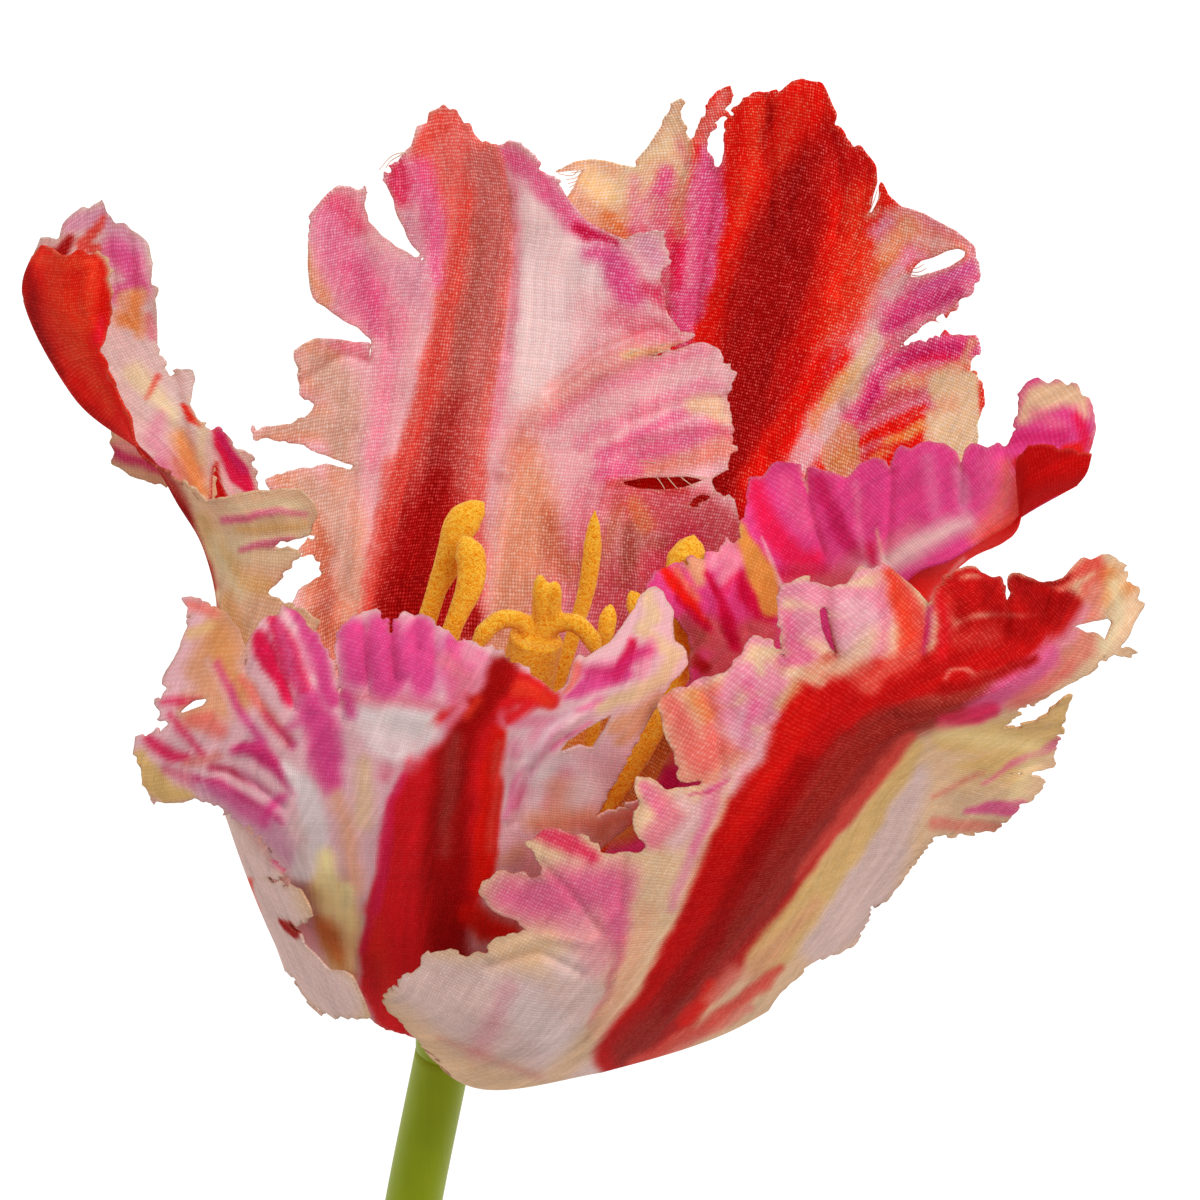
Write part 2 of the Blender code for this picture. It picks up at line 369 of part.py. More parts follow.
class Cloth:
    """A petal's cloth: u runs across it from -1 to 1, t along it from the foot in millimetres."""

    def __init__(self, petal):
        rows = [[Vector(point) for point in row] for row in petal["rows"]]
        if petal["azimuth"] is not None:
            rows.insert(0, foot_row(petal["azimuth"], petal["whorl"]))
        self.crease = petal["crease"]
        before = [2 * a - b for a, b in zip(rows[0], rows[1])]
        after = [2 * a - b for a, b in zip(rows[-1], rows[-2])]
        self.rows = [before, *rows, after]
        self.stations = [0.0]
        for low, high in zip(rows, rows[1:]):
            step = sum((high[i] - low[i]).length for i in (1, 2, 3)) / 3
            self.stations.append(self.stations[-1] + step)
        self.length = self.stations[-1]
        self.widths = [
            ((row[0] - row[1]).length + (row[1] - row[2]).length,
             (row[4] - row[3]).length + (row[3] - row[2]).length)
            for row in rows
        ]
        self.widest = max(max(pair) for pair in self.widths)

    def place(self, t):
        """The row below t and the fraction of the way to the next one."""
        t = min(max(t, 0.0), self.length - 1e-6)
        j = max(k for k, station in enumerate(self.stations) if station <= t)
        return j, (t - self.stations[j]) / (self.stations[j + 1] - self.stations[j])

    def half_width(self, t, side):
        j, x = self.place(t)
        x = x * x * (3 - 2 * x)
        return self.widths[j][side] * (1 - x) + self.widths[j + 1][side] * x

    def across(self, row, u):
        """A point of one row, on a curve that is smooth or creased down the middle."""
        soft = through(extended(row), (u + 1) * 2)
        half = row[:3] if u < 0 else row[2:]
        ends = [2 * half[0] - half[1]] + half + [2 * half[2] - half[1]]
        hard = through(ends, (u + 1) * 2 if u < 0 else u * 2)
        return soft.lerp(hard, self.crease)

    def point(self, u, t):
        j, x = self.place(t)
        return blend(*(self.across(self.rows[j + k], u) for k in range(4)), x)


def flat_place(cloth, corner):
    """A grid corner's u and t on the cloth, and the cloth's half width there."""
    s = corner.x * 2 * cloth.widest
    t = (corner.y + 0.5) * cloth.length
    half = cloth.half_width(t, 0 if s < 0 else 1)
    return s / half, t, half


def reach_at(petal, cloth, corner):
    """How far inside the petal's outline a grid corner lies, negative outside."""
    u, t, half = flat_place(cloth, corner)
    if abs(u) > 1.3:
        return -9.0
    point = cloth.point(u, t)
    reach = (1 - abs(u)) * half
    outline = petal.get("back", petal["edge"]) if u < 0 else petal["edge"]
    if outline:
        reach = min(reach, inside(outline, point.x, point.y))
    for hole in petal["holes"]:
        reach = min(reach, -inside(hole, point.x, point.y))
    return reach if abs(reach) > 1e-4 else 1e-4


def cut_faces(bm, layer):
    """Splits each face that the outline crosses, between the corners put on the outline."""
    for face in list(bm.faces):
        marks = [v for v in face.verts if v[layer] == 0.0]
        if len(marks) < 2:
            continue
        half, _ = bmesh.utils.face_split(face, marks[0], marks[1])
        for piece in (face, half):
            rest = [v for v in piece.verts if v[layer] == 0.0 and v not in marks[:2]]
            if len(rest) == 2:
                bmesh.utils.face_split(piece, rest[0], rest[1])


def keep_largest_patch(bm):
    """Deletes loose scraps and faces that hang on by one corner."""
    waiting = set(bm.faces)
    best = set()
    while waiting:
        patch = set()
        edge = {waiting.pop()}
        while edge:
            patch |= edge
            edge = {n for f in edge for e in f.edges for n in e.link_faces} - patch
        waiting -= patch
        best = max(best, patch, key=len)
    bmesh.ops.delete(bm, geom=[f for f in bm.faces if f not in best], context="FACES")
    pinched = [v for v in bm.verts if not v.is_manifold]
    while pinched:
        bmesh.ops.delete(bm, geom=[pinched[0]], context="VERTS")
        pinched = [v for v in bm.verts if not v.is_manifold]


def cloth_mesh(name, petal):
    """The petal's cloth as an open mesh: a flat grid cut to its outline, then bent to its cage."""
    cloth = Cloth(petal)
    bm = bmesh.new()
    across = 2 * round(cloth.widest / CELL)
    along = round(cloth.length / CELL)
    bmesh.ops.create_grid(bm, x_segments=across, y_segments=along, size=0.5)
    layer = bm.verts.layers.float.new("reach")
    for v in bm.verts:
        v[layer] = reach_at(petal, cloth, v.co)
    crossing = {}
    for e in bm.edges:
        a, b = (v[layer] for v in e.verts)
        if (a > 0) != (b > 0):
            crossing[e] = min(max(a / (a - b), 0.12), 0.88)
    cut = bmesh.ops.bisect_edges(bm, edges=list(crossing), cuts=1, edge_percents=crossing)
    for item in cut["geom_split"]:
        if isinstance(item, bmesh.types.BMVert):
            item[layer] = 0.0
    cut_faces(bm, layer)
    bmesh.ops.delete(bm, geom=[v for v in bm.verts if v[layer] < 0.0], context="VERTS")
    keep_largest_patch(bm)
    for v in bm.verts:
        u, t, _ = flat_place(cloth, v.co)
        v.co = cloth.point(u, t) * MM
    mesh = bpy.data.meshes.new(name)
    bm.to_mesh(mesh)
    bm.free()
    mesh.shade_smooth()
    return mesh


def material(name):
    colour, roughness = MATERIALS[name]
    made = bpy.data.materials.new(name)
    made.use_nodes = True
    shader = made.node_tree.nodes["Principled BSDF"]
    shader.inputs["Base Color"].default_value = (*colour, 1.0)
    shader.inputs["Roughness"].default_value = roughness
    shader.inputs["Metallic"].default_value = 0.0
    return made


def add_object(name, data, collection, frame, look):
    ob = bpy.data.objects.new(name, data)
    collection.objects.link(ob)
    ob.parent = frame
    data.materials.append(material(look))
    return ob


def add_petal(name, petal, collection, frame, look):
    """A petal: its cloth, thickened evenly to both sides."""
    ob = add_object(name, cloth_mesh(name, petal), collection, frame, look)
    solid = ob.modifiers.new("thickness", "SOLIDIFY")
    solid.thickness = CLOTH * MM
    solid.offset = 0.0
    solid.use_quality_normals = True
    return ob


def turned_mesh(name, profile):
    """A closed profile, as (height, radius) pairs from top to bottom, turned about the middle line."""
    ends = [(profile[0][0], 0.0), *profile, (profile[-1][0], 0.0)]
    bm = bmesh.new()
    corners = [bm.verts.new((radius * MM, 0.0, height * MM)) for height, radius in ends]
    for a, b in zip(corners, corners[1:]):
        bm.edges.new((a, b))
    mesh = bpy.data.meshes.new(name)
    bm.to_mesh(mesh)
    bm.free()
    return mesh


def add_turned(name, profile, collection, frame, look, steps):
    """A turned solid standing on the bloom's middle line at the hub."""
    ob = add_object(name, turned_mesh(name, profile), collection, frame, look)
    ob.location = HUB * MM
    ob.rotation_euler = AXIS.to_track_quat("Z", "Y").to_euler()
    screw = ob.modifiers.new("turn", "SCREW")
    screw.steps = steps
    screw.render_steps = steps
    screw.use_merge_vertices = True
    screw.merge_threshold = 0.00001
    return ob


def add_tube(name, route, radii, spacing, collection, frame, look, resolution=2):
    """A round tube along a smooth curve through route, from the first radius to the second."""
    points = extended([Vector(p) for p in route])
    length = sum((b - a).length for a, b in zip(points[1:], points[2:-1]))
    count = max(round(length / spacing), 6)
    data = bpy.data.curves.new(name, "CURVE")
    data.dimensions = "3D"
    data.bevel_depth = MM
    data.bevel_resolution = resolution
    data.use_fill_caps = True
    line = data.splines.new("POLY")
    line.points.add(count)
    for i, p in enumerate(line.points):
        x = i / count
        p.co = (*(through(points, x * (len(route) - 1)) * MM), 1.0)
        p.radius = radii[0] * (1 - x) + radii[1] * x
    return add_object(name, data, collection, frame, look)


def as_mesh(ob):
    """Replaces a curve object by a welded mesh object."""
    graph = bpy.context.evaluated_depsgraph_get()
    mesh = bpy.data.meshes.new_from_object(ob.evaluated_get(graph))
    bm = bmesh.new()
    bm.from_mesh(mesh)
    bmesh.ops.remove_doubles(bm, verts=bm.verts, dist=0.000001)
    bm.to_mesh(mesh)
    bm.free()
    made = bpy.data.objects.new(ob.name + "_mesh", mesh)
    made.parent = ob.parent
    made.matrix_local = ob.matrix_local
    for collection in ob.users_collection:
        collection.objects.link(made)
    bpy.data.objects.remove(ob)
    return made


def join(body, piece):
    """Unites a piece with a body; the piece itself stays as a hidden guide."""
    union = body.modifiers.new("join " + piece.name, "BOOLEAN")
    union.operation = "UNION"
    union.object = piece
    piece.hide_render = True
    piece.display_type = "WIRE"


def add_petals(parts, guides, frame):
    for name, petal in PETALS.items():
        if name != "petal_left_lobe":
            add_petal(name, petal, parts, frame, name)
    lobe = add_petal("petal_left_lobe", PETALS["petal_left_lobe"], guides, frame, "petal_left")
    join(bpy.data.objects["petal_left"], lobe)


def add_pistil(parts, guides, frame):
    body = add_turned("pistil", PISTIL_BODY[::-1], parts, frame, "pistil", 12)
    for i, route in enumerate(PISTIL_ARMS, 1):
        radii = (PISTIL_ARM_RADIUS, PISTIL_ARM_RADIUS)
        arm = add_tube("pistil_arm_%d" % i, route, radii, 1.5, guides, frame, "pistil")
        join(body, as_mesh(arm))


def add_stamens(parts, frame):
    for i, (*route, radii) in enumerate(STAMENS, 1):
        add_tube("stamen_%d" % i, route, radii, STAMEN_SPACING, parts, frame, "stamen")


def add_hub_and_stem(parts, frame):
    add_turned("receptacle", HUB_PROFILE, parts, frame, "receptacle", 20)
    radii = (STEM_RADIUS, STEM_RADIUS)
    add_tube("stem", STEM_ROUTE, radii, STEM_SPACING, parts, frame, "stem", resolution=4)


def main():
    for ob in list(bpy.data.objects):
        bpy.data.objects.remove(ob, do_unlink=True)
    parts = bpy.data.collections.new("parrot_tulip")
    guides = bpy.data.collections.new("guides")
    bpy.context.scene.collection.children.link(parts)
    bpy.context.scene.collection.children.link(guides)

    # The bloom leans back on the floor; the flower fills a box whose bottom centre is the origin.
    frame = bpy.data.objects.new("bloom_frame", None)
    parts.objects.link(frame)
    lie = Matrix.Rotation(math.radians(LIE_ROLL), 3, "Y") @ Matrix.Rotation(math.radians(-LIE_TILT), 3, "X")
    frame.rotation_euler = lie.to_euler()
    frame.location = Vector(BLOOM_PLACE) * MM

    add_petals(parts, guides, frame)
    add_pistil(parts, guides, frame)
    add_stamens(parts, frame)
    add_hub_and_stem(parts, frame)
    bpy.context.view_layer.update()


main()
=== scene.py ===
"""Artificial parrot tulip: printed cloth petals, flocked stamens and pistil, a moulded stem.

Run as a script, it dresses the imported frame. Lengths in the data below are millimetres in the
bloom's own frame: X to the bloom's right, Y up the bloom, Z out of its open face.
"""

import math
from functools import partial

import bmesh
import bpy
import numpy as np
from bpy.props import FloatProperty, FloatVectorProperty, PointerProperty
from mathutils import Matrix, Vector


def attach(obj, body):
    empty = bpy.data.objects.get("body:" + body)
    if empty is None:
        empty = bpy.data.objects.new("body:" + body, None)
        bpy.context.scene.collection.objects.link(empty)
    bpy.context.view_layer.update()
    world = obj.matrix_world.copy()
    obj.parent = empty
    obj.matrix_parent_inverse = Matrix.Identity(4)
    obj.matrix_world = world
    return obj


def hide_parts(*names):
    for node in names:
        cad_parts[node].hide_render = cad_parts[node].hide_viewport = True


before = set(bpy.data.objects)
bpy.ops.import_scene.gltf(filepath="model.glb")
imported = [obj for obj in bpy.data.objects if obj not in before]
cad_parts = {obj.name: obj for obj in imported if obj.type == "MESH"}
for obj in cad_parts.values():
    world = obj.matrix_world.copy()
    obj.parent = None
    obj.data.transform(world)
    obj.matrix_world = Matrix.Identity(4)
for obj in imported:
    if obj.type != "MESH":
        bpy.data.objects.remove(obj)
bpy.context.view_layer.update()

bl_info = {
    "name": "Parrot tulip",
    "version": (1, 0, 0),
    "blender": (4, 5, 0),
    "location": "3D Viewport > Sidebar > Tulip",
    "description": "Dresses an artificial parrot tulip: cloth petals, flocked stamens, stem and stage",
    "category": "Object",
}

MM = 0.001

# The bloom's own frame leans back on the floor by this turn about X, then moves to this place.
LIE_TILT = 18.0
BLOOM_PLACE = np.array((2.2, 73.9, 23.0))
LIE = np.array(Matrix.Rotation(math.radians(-LIE_TILT), 3, "X"))

# The bloom's middle line leaves the hub here, leaning right and out of the face.
HUB = np.array((-14.5, -40.0, 0.0))
AXIS = np.array(Vector((0.190, 0.845, 0.500)).normalized())
RIGHT = np.array(Vector((0.976, -0.219, 0.0)).normalized())
FRONT = np.cross(RIGHT, AXIS) / np.linalg.norm(np.cross(RIGHT, AXIS))

FOOT_HALF_WIDTH = 1.6
WHORL_RADIUS = (4.4, 5.5)
WHORL_HEIGHT = (3.0, 0.5)

# The moulded hub, up the middle line: height, radius. It swells out of the stem's end.
HUB_RISE = ((-6.8, 2.75), (-6.0, 2.95), (-4.0, 3.3), (-2.0, 4.2), (0.0, 5.1), (3.4, 3.9), (4.5, 2.4))

# Loose threads: their radius, and how far each point stands further off the cloth than the last.
THREAD_RADIUS = 0.07
THREAD_RISE = 0.15

# The cut rims: teeth of torn weave, in patches, on a slower unevenness; their sizes across.
TOOTH = 0.55
TOOTH_PATCH = 4.5
RIM_WAVE = 1.4

# How far from the rim the heat-singed edge reaches.
SINGED = 0.45

# How far past a petal's cage, in half widths, its cloth may reach.
WIDEST_REACH = 1.3

# The weft's threads lie this much further apart than the warp's.
WEFT_SPACING = 1.36

# The stem leaves the hub along its middle line and bends down to lie flat at its cut end.
STEM_ROUTE = (
    (-15.71, -45.36, -3.17), (-19.1, -62.4, -13.7), (-21.5, -78.8, -24.4), (-23, -94.9, -35.1),
    (-23.9, -111.1, -45.5), (-24.4, -127.4, -55.3), (-24.6, -144.4, -64.4), (-24.6, -162.2, -72.6),
    (-24.7, -181.2, -79.8),
)

# Each stamen is a thin flocked filament that widens to a flat pointed blade:
# points along it, then the half widths of the filament and of the blade.
STAMENS = (
    ((-17.4, -34.5, 0.5), (-19.5, -13, 4), (-17, -1, 7.5), (-14.9, 4.4, 9), (-14, 7.4, 10),
     (-11.6, 9.9, 10), (0.8, 1.75)),
    ((-17.2, -34.8, 4.2), (-18.4, -15, 9.5), (-15, -3.5, 13), (-13.1, 1.2, 14), (-12.9, 4, 14),
     (-13.8, 6.5, 14), (0.8, 1.55)),
    ((-13.5, -34, -0.6), (-7.5, -18, 3), (-2.4, -2.6, 7.5), (-1, 3, 9.5), (-0.5, 9, 11), (0.6, 0.95)),
    ((-9.2, -35.6, 4.6), (-2.2, -20, 11.5), (0.2, -6, 17), (0.6, -3, 18.5), (1.1, -0.3, 18.5), (0.6, 0.95)),
    ((-11, -35.2, -1.2), (0.5, -21, 3.5), (7.4, -9, 8), (8.1, -2, 10.5), (8.6, 3, 11), (9.4, 6.6, 11),
     (0.9, 2.1)),
    ((-9.4, -35.3, 1.6), (0.2, -19, 8.5), (4, -6, 14.5), (4, -1.6, 16), (3, 1, 16.5), (0.8, 1.1)),
)

# The pistil's body follows the middle line: height, radius. Its three stigma arms curl back from
# the top: points along each, then its radius.
PISTIL_BODY = ((5.0, 2.2), (12.0, 3.2), (34.0, 2.9), (43.0, 2.7))
PISTIL_ARMS = (
    ((-6.6, -5, 20.8), (-7.4, -2.5, 22), (-9.6, -1.9, 23), (-11.4, -3.1, 23), (-12.6, -5, 22.5), 0.95),
    ((-6.4, -5, 20.8), (-4.8, -2.7, 22.2), (-2.6, -2.3, 23), (-1, -3.7, 23), (-0.2, -5.6, 22.5), 0.95),
    ((-6.5, -5, 20.8), (-6, -2.5, 22), (-5.9, 0, 23.5), (-6, 2.5, 24.5), 0.9),
    ((-5.5, -5, 20.8), (-4.8, -2.5, 22), (-4.6, 0, 23.5), (-4.5, 1.9, 24.3), 0.8),
)

# The point of the bloom that the camera looks straight at.
FACE_CENTRE = (0.0, 0.0, 20.0)

# How each petal is cut: a cage of five points a row, from its foot up, bends it. The edge and the
# holes that it is cut to are seen from the front; back is the edge of a folded petal's hidden half.
# Folds are (height, (x, y, half width), ...), threads are routes of (x, y), azimuth and whorl are
# its place on the hub, and crease is how sharply it folds along its middle.
BACK_LEFT_CUT = dict(azimuth=205, whorl=0, crease=0.0, rows=[
    [(-5.6, -25.4, -8), (-10.5, -23, -11), (-16, -21.8, -10), (-21, -23, -6), (-24.5, -25.8, -1)],
    [(9, -4, -10), (-4, -3.5, -13), (-19.2, -3, -13), (-25, -4.5, -11), (-31, -7.5, -6)],
    [(16.5, 5.5, -9), (0, 8, -12), (-17, 8.5, -14), (-25.5, 7, -12.5), (-36, 4, -6)],
    [(17, 17, -9), (1, 18.5, -10), (-15, 20, -12), (-24.5, 19.5, -11), (-36.5, 17.5, -4)],
    [(16, 28, -6), (0, 30, -7), (-13, 31.5, -8.5), (-22.5, 31.5, -7), (-32.5, 28.5, 0)],
    [(9, 38.5, -3), (-3, 40, -3), (-12, 41, -4), (-20, 40.5, -2), (-31, 38.5, 4)],
    [(0, 45, 0), (-6.5, 47.5, 1), (-13.8, 51, 1), (-18, 50.5, 3), (-25, 45, 6)],
], edge=[
    (-18, -36), (-21, -33), (-27, -22), (-30.5, -12), (-31.5, -4), (-31.2, -.5), (-30, 1), (-28.2, 2.5),
    (-28, 4), (-30, 4.5), (-30, 5.2), (-28.8, 6.2), (-30, 8), (-33, 10.8), (-33.5, 12), (-31, 13),
    (-27.5, 13.6), (-25, 13), (-24.7, 13.6), (-31, 16), (-34.8, 16.4), (-35, 17.2), (-31.2, 17.5),
    (-29.7, 18.4), (-28.4, 19.7), (-29, 20.3), (-29.8, 20.2), (-30.7, 25), (-29.8, 25.7), (-28.5, 26.1),
    (-23.3, 25.9), (-23.1, 23.5), (-22.9, 26.2), (-24.5, 27.5), (-28.8, 30.2), (-29.2, 33), (-29.3, 36.5),
    (-29, 38.5), (-28, 40), (-26.2, 41.4), (-24.5, 41), (-23.3, 41.2), (-23.7, 40), (-23.4, 38),
    (-21.5, 36.2), (-19.5, 34.8), (-17.8, 34.2), (-19, 36), (-20.2, 38.5), (-21, 41), (-21.6, 42.2),
    (-20.8, 43.8), (-18.7, 45.5), (-18.3, 47.5), (-17.3, 47.8), (-17.1, 48.9), (-15.7, 49.6), (-14.8, 49.3),
    (-13.7, 48.2), (-11.7, 45.7), (-10.5, 45.6), (-9.3, 45.9), (-8, 45.7), (-7, 44.8), (-6, 43.3),
    (-4.5, 42.5), (-3.3, 40.3), (-2, 39), (-1.2, 37.9), (2.5, 36), (4, 36.8), (5.5, 37.2), (6.3, 36.8),
    (6.4, 35.2), (6.8, 34.2), (5.8, 33.2), (6.8, 28.5), (8, 26.8), (9.5, 26.7), (8.5, 26), (5, 24.6),
    (7, 24.9), (9, 25.6), (10.5, 25.7), (12, 25), (12.5, 24), (13.5, 23.2), (13.2, 22), (13.3, 21.2),
    (12.3, 20.3), (13, 19.7), (13, 18.5), (13.7, 17.2), (13.3, 16.2), (13.7, 15.3), (13, 14.2),
    (12.8, 13.3), (11.5, 12.6), (10.9, 12), (11.4, 11.1), (8.2, 9.4), (9.8, 9.5), (11.6, 10.4),
    (12.8, 10.3), (12.8, 10.5), (13.3, 10), (14, 7.5), (14.8, 5.5), (14.5, 3), (13, -1), (5, -14),
    (-2, -24), (-13, -36.5),
], holes=[
    [(1.8, 11.8), (4.4, 12.3), (8.9, 12.4), (10.4, 12.1), (8.6, 11.4), (6.4, 11.1), (4, 11.2)],
], folds=[
    (1, (5, 25.6, .9), (-1, 22.6, 1), (-6, 18.6, 1.1), (-9.6, 13, 1.2)),
    (-.8, (6, 27.4, .6), (0, 25, .7), (-5, 21, .7)),
    (.6, (-12.6, 46, .7), (-14, 35, .8), (-16.4, 22, .9), (-19.4, 8, 1)),
    (-.6, (-9.6, 46, .6), (-8.6, 35, .6), (-9.6, 25, .6)),
    (-.5, (-24, 36.6, .6), (-22, 31, .7), (-21.4, 25, .7)),
    (-.6, (-30, 22, .5), (-26, 24.6, .6), (-23.4, 24, .5)),
    (-.4, (3, 18, .5), (9, 20, .5), (12.6, 20.4, .4)),
    (.4, (2, 16, .6), (8, 17.6, .6), (13, 17.6, .5)),
    (-.5, (-24.6, 17, .4), (-25, 8, .5), (-25.4, 0, .5)),
], threads=[
    ((-19.4, 45), (-20.9, 44.6), (-22.2, 43.2)), ((-19.8, 44.8), (-21, 44.1), (-21.5, 43.4)),
    ((5.4, 12.7), (6, 12), (6.5, 11.2)), ((6.6, 12.8), (7, 12.1), (7.8, 11.2)),
    ((7.8, 12.7), (8.6, 12), (9.6, 11.3)), ((8.6, 12.6), (9.8, 12.4), (11, 12.2)),
    ((2.3, 24.5), (4, 25.2), (6.6, 25.8)), ((3, 24), (5, 24.6), (7, 25.2)),
    ((3.4, 23.6), (5, 24.2), (6.2, 25.1)), ((2, 13.7), (3.8, 14), (5.6, 13.8)),
])
BACK_RIGHT_CUT = dict(azimuth=160, whorl=1, crease=0.0, rows=[
    [(6, -31.4, -3), (2.3, -27.4, -9), (-3.2, -24.1, -13), (-10.4, -21.8, -14.5), (-16, -20.9, -14)],
    [(21.9, -18.6, -4), (15.6, -11.9, -12), (6.2, -6.3, -16), (-6, -3, -17.5), (-19, -1, -15)],
    [(32, -4, -3), (24, 3.5, -13), (11.8, 10, -17), (-1, 11.5, -17), (-18, 12, -17.2)],
    [(40, 12, -4), (27.5, 17, -13), (14, 21, -16.6), (1, 22, -16), (-16, 21.5, -16.6)],
    [(41, 23, -4), (29.5, 28, -11), (16.8, 31, -12.5), (6, 32, -13), (-12, 31.5, -12.5)],
    [(41, 36, -3), (30.5, 38.5, -6), (20.3, 42, -7.5), (11, 43.5, -7.5), (-8, 42, -8)],
    [(35, 48.5, -1), (28.5, 50.5, 0), (21.2, 54, 0), (13.5, 54, -1), (0, 53, -4)],
], edge=[
    (-9.5, -37.5), (0, -31), (10, -25), (19, -17), (26, -8), (31, 0), (36, 6), (38.5, 12), (37.7, 15.5),
    (38, 18), (38.4, 19.5), (38.3, 21), (37.8, 23), (37.2, 22.3), (36.7, 23), (38.1, 25), (37.8, 26.6),
    (34.7, 26.8), (31.5, 25.7), (29.3, 24.7), (28.4, 24.1), (31.3, 26.9), (32.5, 27.8), (35.5, 29.1),
    (37.5, 31), (38.2, 33.2), (37.7, 34.5), (37.7, 35.5), (35.5, 37), (31.8, 39.2), (30.3, 39.5),
    (29, 40.6), (28.3, 41.8), (28.2, 40.8), (27.6, 38.9), (26.6, 38.6), (27.2, 40), (27.7, 42),
    (27.6, 43.5), (27, 44.5), (26, 45.3), (24.5, 45.9), (24.4, 47), (24, 47.5), (23.3, 47.2), (23.7, 48.8),
    (22.2, 51.9), (20.3, 52.3), (19.3, 52), (17.6, 50.5), (17.7, 51.2), (16.5, 50.7), (15.7, 51),
    (14.5, 50.4), (12.7, 48), (12.7, 46.5), (12.3, 44), (11.7, 43.3), (11.2, 44.3), (10.6, 45),
    (10.7, 46.2), (13, 50), (13.2, 51), (13, 51.6), (12.2, 51.2), (11.2, 50.2), (10.4, 49), (9.5, 46.7),
    (9, 46), (8.4, 48.1), (7.9, 48.5), (8.1, 49.8), (7.9, 50.3), (6.8, 48.7), (5.5, 46.3), (3.5, 44.1),
    (4, 42.9), (3.2, 43.5), (-.8, 44.3), (-2.5, 44.1), (-4.6, 43), (-1.5, 43.4), (-3.2, 40.5), (-13.5, 26),
    (-15.5, 18), (-17, 8), (-17.5, -3), (-17.5, -14), (-17, -24), (-15, -33), (-13.8, -37.5),
], holes=[
    [(31.1, 32.5), (32.4, 32.5), (35.2, 33.5), (36.6, 34.4), (36.8, 35), (36, 35.4), (34.8, 35.1),
     (33.4, 34.4), (32.2, 34.1), (31.5, 33.4)],
], folds=[
    (-.8, (16.6, 50.6, .6), (17.2, 44, .7), (17, 37, .7)),
    (.6, (14.6, 50, .9), (14.2, 42, 1)),
    (.7, (21, 51.4, 1), (21, 44, 1.2), (20, 36, 1.2)),
    (-.6, (23.4, 47, .6), (24.2, 42, .7), (23.6, 37, .6)),
    (-.8, (11.6, 43, .5), (10.6, 36, .6), (9.4, 28, .6)),
    (.6, (9.6, 46, .6), (8.6, 38, .8), (7.4, 30, .8)),
    (.7, (36, 35, .7), (30, 31, .8), (24, 24, 1), (18, 15, 1)),
    (-.6, (36, 30.6, .6), (30, 27.4, .7), (24, 20, .7)),
    (.6, (35, 28, .6), (30, 26, .6), (25, 19.6, .8)),
    (-.5, (27, 44, .5), (26, 38, .6), (24, 31, .6)),
], threads=[
    ((-1.9, 43.6), (-2.8, 42.7), (-4.2, 42.9)), ((-1.6, 43.3), (-2.4, 42.5), (-3.4, 42.3)),
    ((-1.7, 42.9), (-2.3, 42.2), (-3.2, 41.9)), ((-1.8, 42.5), (-2.4, 41.9), (-3.1, 41.5)),
    ((-2, 42.1), (-2.5, 41.6), (-3, 41.1)), ((-2.2, 41.7), (-2.6, 41.3), (-3.1, 40.8)),
    ((-1.4, 43.5), (-2, 43.1), (-2.9, 43)), ((27, 38.8), (27.5, 40), (27.9, 41.3)),
    ((27.3, 38.9), (27.9, 40), (28.2, 41)), ((26.6, 38.9), (27.1, 39.8), (27.3, 40.6)),
    ((31.2, 33.4), (31.9, 33.4), (32.6, 33.8)), ((31.3, 33), (32.1, 33), (32.9, 33.4)),
    ((31.4, 32.7), (32.2, 32.6), (33.1, 32.9)),
])
